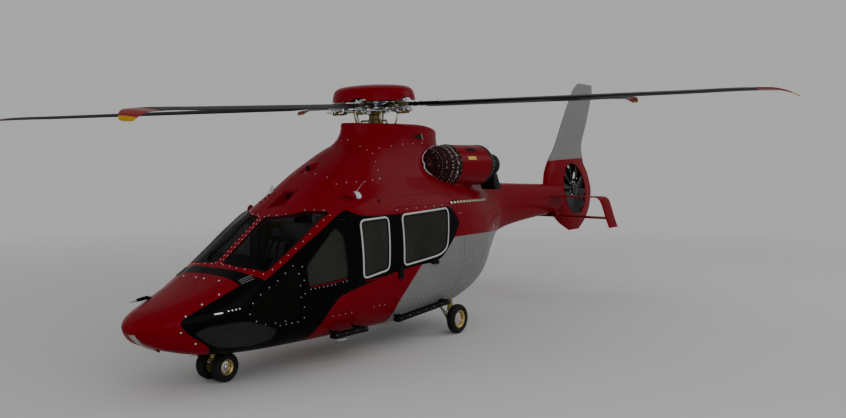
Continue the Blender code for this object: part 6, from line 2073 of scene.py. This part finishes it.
class HELICOPTER_OT_cockpit(bpy.types.Operator):
    """Fit the floor, panel, screens, console, sticks and pedals"""
    bl_idname = "helicopter.cockpit"
    bl_label = "Cockpit"

    def execute(self, context):
        shade = finish_of("panel_shade", (0.004, 0.005, 0.007), 0.75, tone=0.4, scale=10.0, bump=0.0012, specular=0.2)
        plastic = finish_of("panel_plastic", (0.018, 0.018, 0.019), 0.5, tone=0.3, scale=14.0, bump=0.0006)
        tan = finish_of("console_tan", (0.22, 0.145, 0.040), 0.6, tone=0.4, scale=8.0, bump=0.001)
        screen_look = self.screen()
        base = FLOOR_TOP
        shape = bmesh.new()
        hood = vectors((x, base + up) for x, up in (
            (3.40, 0.60), (3.38, 0.83), (3.20, 0.93), (2.96, 1.04), (2.90, 1.035), (2.90, 1.00), (3.14, 0.85),
            (3.16, 0.70)))
        face = vectors((x, base + up) for x, up in (
            (3.40, 0.02), (3.40, 0.76), (3.16, 0.76), (3.20, 0.34), (3.12, 0.02)))
        console = vectors((x, base + up) for x, up in (
            (3.18, 0.002), (3.18, 0.40), (3.10, 0.42), (2.50, 0.27), (2.44, 0.24), (2.42, 0.002)))
        join(shape, ease(prism(hood, -0.59, 0.59), 0.012, 3), None, 1)
        join(shape, prism(face, -0.58, 0.58))
        join(shape, ease(prism(console, -0.12, 0.12), 0.010), None, 2)
        lean = math.atan2(0.04, 0.42)
        for y in (-0.42, -0.14, 0.14, 0.42):
            place = Matrix.Translation((3.172, y, base + 0.575)) @ Matrix.Rotation(lean, 4, "Y")
            join(shape, block((-0.012, -0.125, -0.155), (0.02, 0.125, 0.155), 0.006), place, 0)
            join(shape, block((-0.0145, -0.105, -0.130), (-0.010, 0.105, 0.130), 0.001, 1), place, 3)
            for k in range(7):
                at = -0.09 + 0.03 * k
                join(shape, block((-0.0165, at - 0.009, -0.148), (-0.010, at + 0.009, -0.136), 0.001, 1), place, 4)
        slope = Matrix.Translation((2.80, 0.0, base + 0.352)) @ Matrix.Rotation(math.atan2(0.15, 0.60), 4, "Y")
        for row in range(6):
            for column in (-1, 1):
                place = slope @ Matrix.Translation((-0.24 + 0.095 * row, column * 0.056, 0.0))
                join(shape, block((-0.040, -0.048, 0.0), (0.040, 0.048, 0.010), 0.003), place, 0)
                for y in (-0.030, 0.0, 0.030):
                    join(shape, bar((0.0, y, 0.010), (0.0, y, 0.024), 0.008, 12), place, 4)
        knobs = finish_of("knob_grey", (0.12, 0.12, 0.12), 0.5, scale=20.0)
        finish("panel_and_console", shape, "airframe", [plastic, shade, tan, screen_look, knobs],
               ["instrument_panel"])
        sticks = bmesh.new()
        for side in (1, -1):
            y = side * PILOT_SEAT_Y
            hand = y - side * 0.27
            stick = [(2.58, y, base), (2.585, y, base + 0.20), (2.56, y, base + 0.36), (2.50, y, base + 0.47)]
            join(sticks, pipe(stick, [0.014, 0.013, 0.012, 0.012], 12))
            join(sticks, bar((2.505, y, base + 0.455), (2.480, y, base + 0.585), 0.022, 14, 0.018, 0.004), None, 1)
            add_bars(sticks, (((2.0, hand, base + 0.20), (2.40, hand, base + 0.42), 0.014, 12, 0.0, 0),
                              ((2.38, hand, base + 0.41), (2.50, hand, base + 0.475), 0.022, 14, 0.004, 1)))
            for foot in (y - 0.11, y + 0.11):
                join(sticks, bar((2.98, foot, base), (2.92, foot, base + 0.20), 0.010, 10))
                pedal = block((2.90, foot - 0.045, base + 0.12), (2.925, foot + 0.045, base + 0.23), 0.006)
                join(sticks, pedal, None, 1)
        finish("sticks_and_pedals", sticks, "airframe", [bright_steel(), shade])
        carpet = finish_of("floor_vinyl", (0.045, 0.046, 0.048), 0.7, tone=0.4, scale=7.0, dust=0.3, bump=0.001)
        wall = finish_of("bulkhead_panel", (0.115, 0.112, 0.105), 0.65, tone=0.25, scale=9.0, bump=0.001)
        cabinet = finish_of("cabinet_grey", (0.42, 0.42, 0.42), 0.6, tone=0.3, scale=9.0, dust=0.2, bump=0.001)
        wear_plain("cabin_floor", carpet)
        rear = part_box("cabin_floor")[0][0]
        back = bmesh.new()
        add_blocks(back, (((rear + 0.062, -0.66, base + 0.05), (rear + 0.075, 0.66, 1.95), 0.006, 2, 0),
                          ((1.598, -0.570, base + 0.03), (1.622, 0.14, 2.07), 0.012, 3, 2)))
        for side in (1, -1):
            (near, far), (inner, outer) = span(side, 0.862, 0.875), span(side, 0.575, 0.845)
            add_blocks(back, (((1.60, near, 1.35), (1.78, far, 2.12), 0.006, 2, 1),
                              ((1.600, inner, base + 0.03), (1.625, outer, 2.07), 0.010, 2, 1)))
        for y in (-0.39, -0.03):
            join(back, block((1.620, y - 0.14, 1.60), (1.632, y + 0.14, 2.02), 0.005), None, 2)
        for y in (-0.33, 0.33):
            join(back, block((rear + 0.074, y - 0.26, base + 0.10), (rear + 0.082, y + 0.26, 1.80), 0.003))
        finish("bulkhead_lining", back, "airframe", [wall, tan, cabinet])
        return {"FINISHED"}

    def screen(self):
        look, tree, shader = material("dark_screen")
        wear = place_group(tree, grime(), {"Scale": 8.0, "Tone": 0.3, "Dust": 0.1})
        base = node(tree, "HueSaturation", {"Color": (0.006, 0.010, 0.014, 1.0), "Value": wear["Shade"]}).outputs[0]
        link(tree, base, shader.inputs["Base Color"])
        link(tree, math_node(tree, "MULTIPLY_ADD", wear["Dust"], 0.5, 0.08), shader.inputs["Roughness"])
        return look


COLLAR_VENT = ((-0.41, 3.44), (-0.70, 3.50), (-0.76, 3.37))
# Plates laid on each side: corners as x and height, thickness, material, corner radius
PLATES = (
    # the vent's opening is a black plate: painted shade inside the vent
    (COLLAR_VENT, 0.002, 0, 0.01),
    # the slot is a black plate: painted shade inside the slot
    (((-1.68, 3.245), (-1.98, 3.245), (-1.98, 3.185), (-1.68, 3.185)), 0.003, 0, 0.01),       # slot in the pod
    (((-1.60, 3.10), (-1.86, 3.10), (-1.86, 3.04), (-1.60, 3.04)), 0.002, 3, 0.01),           # yellow plate
    (((0.700, 1.372), (0.590, 1.366), (0.570, 1.178), (0.685, 1.186)), 0.030, 0, 0.02),       # door handles
    (((-0.165, 1.412), (-0.37, 1.382), (-0.375, 1.318), (-0.17, 1.338)), 0.035, 0, 0.02),
    (((-3.14, 1.785), (-3.22, 1.785), (-3.22, 1.755), (-3.14, 1.755)), 0.004, 0, 0.01),       # latches
    (((-2.55, 2.075), (-2.61, 2.075), (-2.61, 2.045), (-2.55, 2.045)), 0.004, 0, 0.01),
    (((-0.98, 2.345), (-1.14, 2.345), (-1.14, 2.325), (-0.98, 2.325)), 0.003, 0, 0.01),
    (((4.045, 1.098), (3.925, 1.106), (3.925, 1.089), (4.045, 1.081)), 0.003, 2, 0.01),       # vent's lower bar
)


class HELICOPTER_OT_fittings(bpy.types.Operator):
    """Add the small fittings of the outside: lights, aerials, inlets, handles, probes"""
    bl_idname = "helicopter.fittings"
    bl_label = "Fittings"

    def execute(self, context):
        form = body_form()
        black = finish_of("fitting_black", (0.0022, 0.0022, 0.0022), 0.6, tone=0.4, scale=14.0, dust=0.05, specular=0.1)
        pale = finish_of("light_cover", (0.55, 0.60, 0.68), 0.35, tone=0.2, scale=10.0, bump=0.0002)
        yellow = finish_of("placard_yellow", (0.55, 0.40, 0.03), 0.5, tone=0.2, scale=14.0)
        lens = finish_of("lamp_lens", (0.30, 0.30, 0.28), 0.35, tone=0.25, scale=16.0, bump=0.0006)
        vent = finish_of("vent_grey", (0.10, 0.11, 0.12), 0.4, 0.6, scale=40.0, tone=0.9)
        looks = [black, pale, bright_steel(), yellow, lens, red_gloss(), vent]
        shape = bmesh.new()

        def patch(corners, side, height, slot, corner=0.01):
            """A low plate laid on the body inside a drawn outline."""
            spots = draped(form, spaced(soften(corners, corner, 4), 0.02), side)
            heart, out = draped(form, [middle(corners)], side)[0]
            rings = [[p - n * 0.004 for p, n in spots], [p + n * height * 0.7 for p, n in spots],
                     [(p + n * height).lerp(heart + out * height, 0.10) for p, n in spots],
                     [heart + out * height for _ in spots]]
            join(shape, wrap_rings(rings, False), None, slot)

        # blister light with its whip, and the hook behind it
        for side in (1, -1):
            point, out = on_side(form, side, 1.42, 2.515)
            run = Vector((-1.0, 0.0, -0.10)).normalized()
            turn = Matrix((run, out.cross(run).normalized(), out)).transposed().to_4x4()
            for slot, move, size in ((5, -0.05, (0.15, 0.060, 0.045)), (1, 0.075, (0.085, 0.075, 0.060))):
                lamp = bmesh.new()
                bmesh.ops.create_uvsphere(lamp, u_segments=28, v_segments=14, radius=1.0)
                bmesh.ops.scale(lamp, verts=lamp.verts, vec=size)
                join(shape, lamp, Matrix.Translation(point + out * 0.004 + run * move) @ turn, slot)
            join(shape, pipe([point + out * 0.03, point + Vector((-0.05, side * 0.03, 0.08)),
                              point + Vector((-0.20, side * 0.02, 0.20))], [0.005, 0.004, 0.002], 8), None, 2)
            point, out = on_side(form, side, 0.99, 2.43)
            bend = point + out * 0.03
            join(shape, pipe([point + out * 0.002, bend, bend + Vector((-0.02, 0.0, -0.045))], 0.009, 8), None, 0)
            # vent of the collar
            for line, radius, sides, closed, slot in (
                    (spaced(vectors(COLLAR_VENT), 0.02), 0.006, 6, True, 5),
                    (line_points(((-0.70, 3.49), (-0.75, 3.38)), 0.02), 0.007, 8, False, 2)):
                line = [p + n * 0.003 for p, n in draped(form, line, side)]
                join(shape, pipe(line, radius, sides, closed), None, slot)
            for corners, height, slot, corner in PLATES:
                patch(corners, side, height, slot, corner)
            # small plates on the black cheek and the silver vent below the windscreen
            for k in range(4):
                x, up = 3.875 - 0.048 * k, 1.113 + 0.005 * k
                corners = (x, up + 0.010), (x - 0.028, up + 0.013), (x - 0.028, up - 0.009), (x, up - 0.012)
                patch(corners, side, 0.003, 2)
            for k in (-1, 0, 1):
                ends = [on_top(form, 3.565 - 0.082 * step + 0.004 * k, side * (0.643 + 0.035 * step + 0.032 * k))
                        for step in range(3)]
                join(shape, pipe([at + out * 0.003 for at, out in ends], 0.0075, 8), None, 6)
        # probe beside the nose, starboard
        point, out = on_top(form, 4.20, -0.395)
        knee = Vector((4.265, -0.400, point.z + 0.004))
        line = [point - out * 0.03, knee, knee + Vector((0.08, 0.0, -0.008)), knee + Vector((0.16, 0.0, -0.016))]
        join(shape, pipe(line, [0.026, 0.026, 0.025, 0.020], 14), None, 0)
        start, end = knee + Vector((0.155, 0.0, -0.016)), knee + Vector((0.275, 0.0, -0.028))
        join(shape, bar(start, end, 0.013, 12, 0.006), None, 2)
        # lip of the sunk inlet in the roof
        lip = draped(form, spaced([Vector(corner[:2]) for corner in SCOOP_CORNERS], 0.02), 1, True)
        join(shape, pipe([p + n * 0.001 for p, n in lip], 0.006, 8, True), None, 5)
        # air scoop ahead of the collar
        front, hood = on_top(form, 1.60, 0.0)[0], on_top(form, 1.38, 0.0)[0]
        rings = []
        for share in (0.0, 0.25, 0.5, 0.75, 1.0):
            point = front.lerp(hood, share)
            height = 0.075 * (1 - share) ** 0.6 + 0.004
            rings.append([point + Vector((0.0, 0.062 * math.cos(a), -0.02 + (height + 0.02) * math.sin(a) ** 0.7))
                          for a in (math.pi * j / 12 for j in range(13))])
        join(shape, wrap_rings(rings), None, 5)
        # black cap on the scoop's closed front: painted shade in its opening
        shaded_mouth = wrap_rings([[p + Vector((0.0015, 0.0, 0.0)) + (front - p) * 0.12 for p in rings[0]],
                            [p + Vector((0.004, 0.0, 0.0)) + (front - p) * 0.14 for p in rings[0]]])
        join(shape, shaded_mouth, None, 0)
        # wire cutter beside the roof's crown, and the guide at the screen's corner
        point, out = on_top(form, 2.03, -0.34)
        blade = prism(vectors((x, point.z + up) for x, up in (
            (2.10, -0.05), (2.09, 0.03), (2.05, 0.095), (2.015, 0.10), (2.02, 0.02), (1.98, -0.02))), -0.352, -0.328)
        join(shape, ease(blade, 0.003, 1), None, 1)
        for x, y, r in ((2.10, -0.34, 0.020), (2.17, -0.36, 0.017), (2.24, -0.38, 0.015), (2.13, -0.715, 0.042),
                        (2.18, -0.690, 0.034), (1.63, -0.10, 0.016)):
            knob = bmesh.new()
            bmesh.ops.create_uvsphere(knob, u_segments=18, v_segments=10, radius=r)
            join(shape, knob, Matrix.Translation(on_top(form, x, y)[0] + Vector((0.0, 0.0, 0.3 * r))), 5)
        # landing light let into the nose's underside
        lamp_line = [form.cast((4.848 - 0.46 * share, 0.080 - 0.085 * share, 0.2), UP)
                     for share in (k / 14 for k in range(15))]
        join(shape, strip(lamp_line, half_round(0.078, 0.020), False), None, 4)
        join(shape, strip([(p + n * 0.0005, n) for p, n in lamp_line], half_round(0.094, 0.003), False), None, 2)
        # drains, aerials and lights below
        for x, y, height, slot in ((4.46, 0.05, 0.045, 5), (4.05, 0.12, 0.028, 5), (2.40, 0.0, 0.12, 0),
                                   (0.35, 0.0, 0.14, 0), (-1.60, 0.0, 0.10, 0)):
            hit = form.cast((x, y, 0.1), UP)[0]
            fin = [(hit + Vector((0.035, 0.0, 0.004)), hit + Vector((-0.045, 0.0, 0.004)), 0.010),
                   (hit + Vector((0.0, 0.0, -0.5 * height)), hit + Vector((-0.05, 0.0, -0.5 * height)), 0.008),
                   (hit + Vector((-0.025, 0.0, -height)), hit + Vector((-0.055, 0.0, -height)), 0.004)]
            join(shape, wing(fin, Vector((0.0, 1.0, 0.0)), 8), None, slot)
        finish("outside_fittings", shape, "airframe", looks)
        return {"FINISHED"}


class HELICOPTER_OT_finishes(bpy.types.Operator):
    """Give the frame's own parts that still show their finishes"""
    bl_idname = "helicopter.finishes"
    bl_label = "Frame finishes"

    def execute(self, context):
        wear_plain("hook_plate", bright_steel())
        wear_plain("powerplant", finish_of("engine_block", (0.16, 0.16, 0.17), 0.45, 0.6, scale=6.0, tone=0.5))
        return {"FINISHED"}


class HELICOPTER_OT_stage(bpy.types.Operator):
    """Lay the floor, light the scene and set the camera"""
    bl_idname = "helicopter.stage"
    bl_label = "Stage"

    def execute(self, context):
        stage = context.scene.helicopter_stage
        shape = bmesh.new()
        bmesh.ops.create_grid(shape, x_segments=2, y_segments=2, size=60.0)
        bmesh.ops.translate(shape, verts=shape.verts, vec=(0.0, 0.0, -GROUND - 0.001))
        floor = to_object("studio_floor", shape)
        look, tree, shader = material("studio_floor")
        wear = place_group(tree, grime(), {"Scale": 0.4, "Tone": 0.04, "Dust": 0.0})
        base = node(tree, "HueSaturation", {"Color": (*stage.floor, 1.0), "Value": wear["Shade"]}).outputs[0]
        link(tree, base, shader.inputs["Base Color"])
        shader.inputs["Roughness"].default_value = 0.9
        shader.inputs["Specular IOR Level"].default_value = 0.0
        place = node(tree, "TexCoord").outputs["Object"]
        reach = node(tree, "VectorMath", {0: place}, operation="LENGTH").outputs["Value"]
        fade = node(tree, "MapRange", {"Value": reach, "From Min": 7.0, "From Max": 24.0, "To Min": 1.0, "To Max": 0.0})
        link(tree, fade.outputs[0], shader.inputs["Alpha"])
        floor.data.materials.append(look)
        world = bpy.data.worlds.new("studio")
        context.scene.world = world
        world.use_nodes = True
        back = world.node_tree.nodes["Background"]
        back.inputs["Color"].default_value = (*stage.sky, 1.0)
        back.inputs["Strength"].default_value = 1.0
        for name, spot, aim, size, power in (("key", (8.0, 13.0, 7.5), (0.0, 0.0, 1.5), 12.0, 640.0),
                                             ("fill", (14.0, -6.0, 6.0), (1.0, 0.0, 1.0), 8.0, 160.0),
                                             ("rim", (-12.0, 8.0, 9.0), (-3.0, 0.0, 2.0), 7.0, 260.0)):
            lamp = bpy.data.lights.new(name, "AREA")
            lamp.energy, lamp.size = power, size
            item = bpy.data.objects.new(name, lamp)
            context.scene.collection.objects.link(item)
            item.location = spot
            item.rotation_euler = (Vector(aim) - Vector(spot)).to_track_quat("-Z", "Y").to_euler()
        yaw, pitch = math.radians(216.5), math.radians(-3.62)
        run = Vector((math.cos(yaw) * math.cos(pitch), math.sin(yaw) * math.cos(pitch), math.sin(pitch)))
        lens = bpy.data.cameras.new("camera")
        lens.lens, lens.sensor_width, lens.sensor_fit = stage.lens, 36.0, "HORIZONTAL"
        lens.clip_end = 200.0
        camera = bpy.data.objects.new("camera", lens)
        context.scene.collection.objects.link(camera)
        camera.location = (11.20, 9.31, 3.13 - GROUND)
        camera.rotation_euler = run.to_track_quat("-Z", "Y").to_euler()
        context.scene.camera = camera
        return {"FINISHED"}


class HELICOPTER_PT_pieces(bpy.types.Panel):
    """Sizes and steps of the helicopter"""
    bl_label = "Rescue helicopter"
    bl_idname = "HELICOPTER_PT_pieces"
    bl_space_type = "VIEW_3D"
    bl_region_type = "UI"
    bl_category = "Helicopter"

    def draw(self, context):
        for group in [getattr(context.scene, name) for name, _ in SETTINGS]:
            box = self.layout.box()
            for name in group.bl_rna.properties.keys():
                if name not in ("rna_type", "name"):
                    box.prop(group, name)
        for step in STEPS_IN_ORDER:
            self.layout.operator(step.bl_idname)


SETTINGS = (("helicopter_paint", HelicopterPaint), ("helicopter_trim", HelicopterTrim),
            ("helicopter_cabin", HelicopterCabin), ("helicopter_stage", HelicopterStage))
STEPS_IN_ORDER = (HELICOPTER_OT_skin, HELICOPTER_OT_glass, HELICOPTER_OT_trim, HELICOPTER_OT_screws,
                  HELICOPTER_OT_intakes, HELICOPTER_OT_exhausts, HELICOPTER_OT_rotor_head, HELICOPTER_OT_cap,
                  HELICOPTER_OT_blades, HELICOPTER_OT_tail, HELICOPTER_OT_nose_gear, HELICOPTER_OT_main_gear,
                  HELICOPTER_OT_boards, HELICOPTER_OT_cockpit, HELICOPTER_OT_seats, HELICOPTER_OT_fittings,
                  HELICOPTER_OT_finishes, HELICOPTER_OT_stage)


def register():
    for name, group in SETTINGS:
        bpy.utils.register_class(group)
        setattr(bpy.types.Scene, name, bpy.props.PointerProperty(type=group))
    for item in STEPS_IN_ORDER + (HELICOPTER_PT_pieces,):
        bpy.utils.register_class(item)


def unregister():
    for item in reversed(STEPS_IN_ORDER + (HELICOPTER_PT_pieces,)):
        bpy.utils.unregister_class(item)
    for name, group in reversed(SETTINGS):
        delattr(bpy.types.Scene, name)
        bpy.utils.unregister_class(group)


def main():
    register()
    for step in STEPS_IN_ORDER:
        group, call = step.bl_idname.split(".")
        if getattr(getattr(bpy.ops, group), call)() != {"FINISHED"}:
            raise RuntimeError(f"{step.bl_label} didn't finish")


if __name__ == "__main__":
    main()
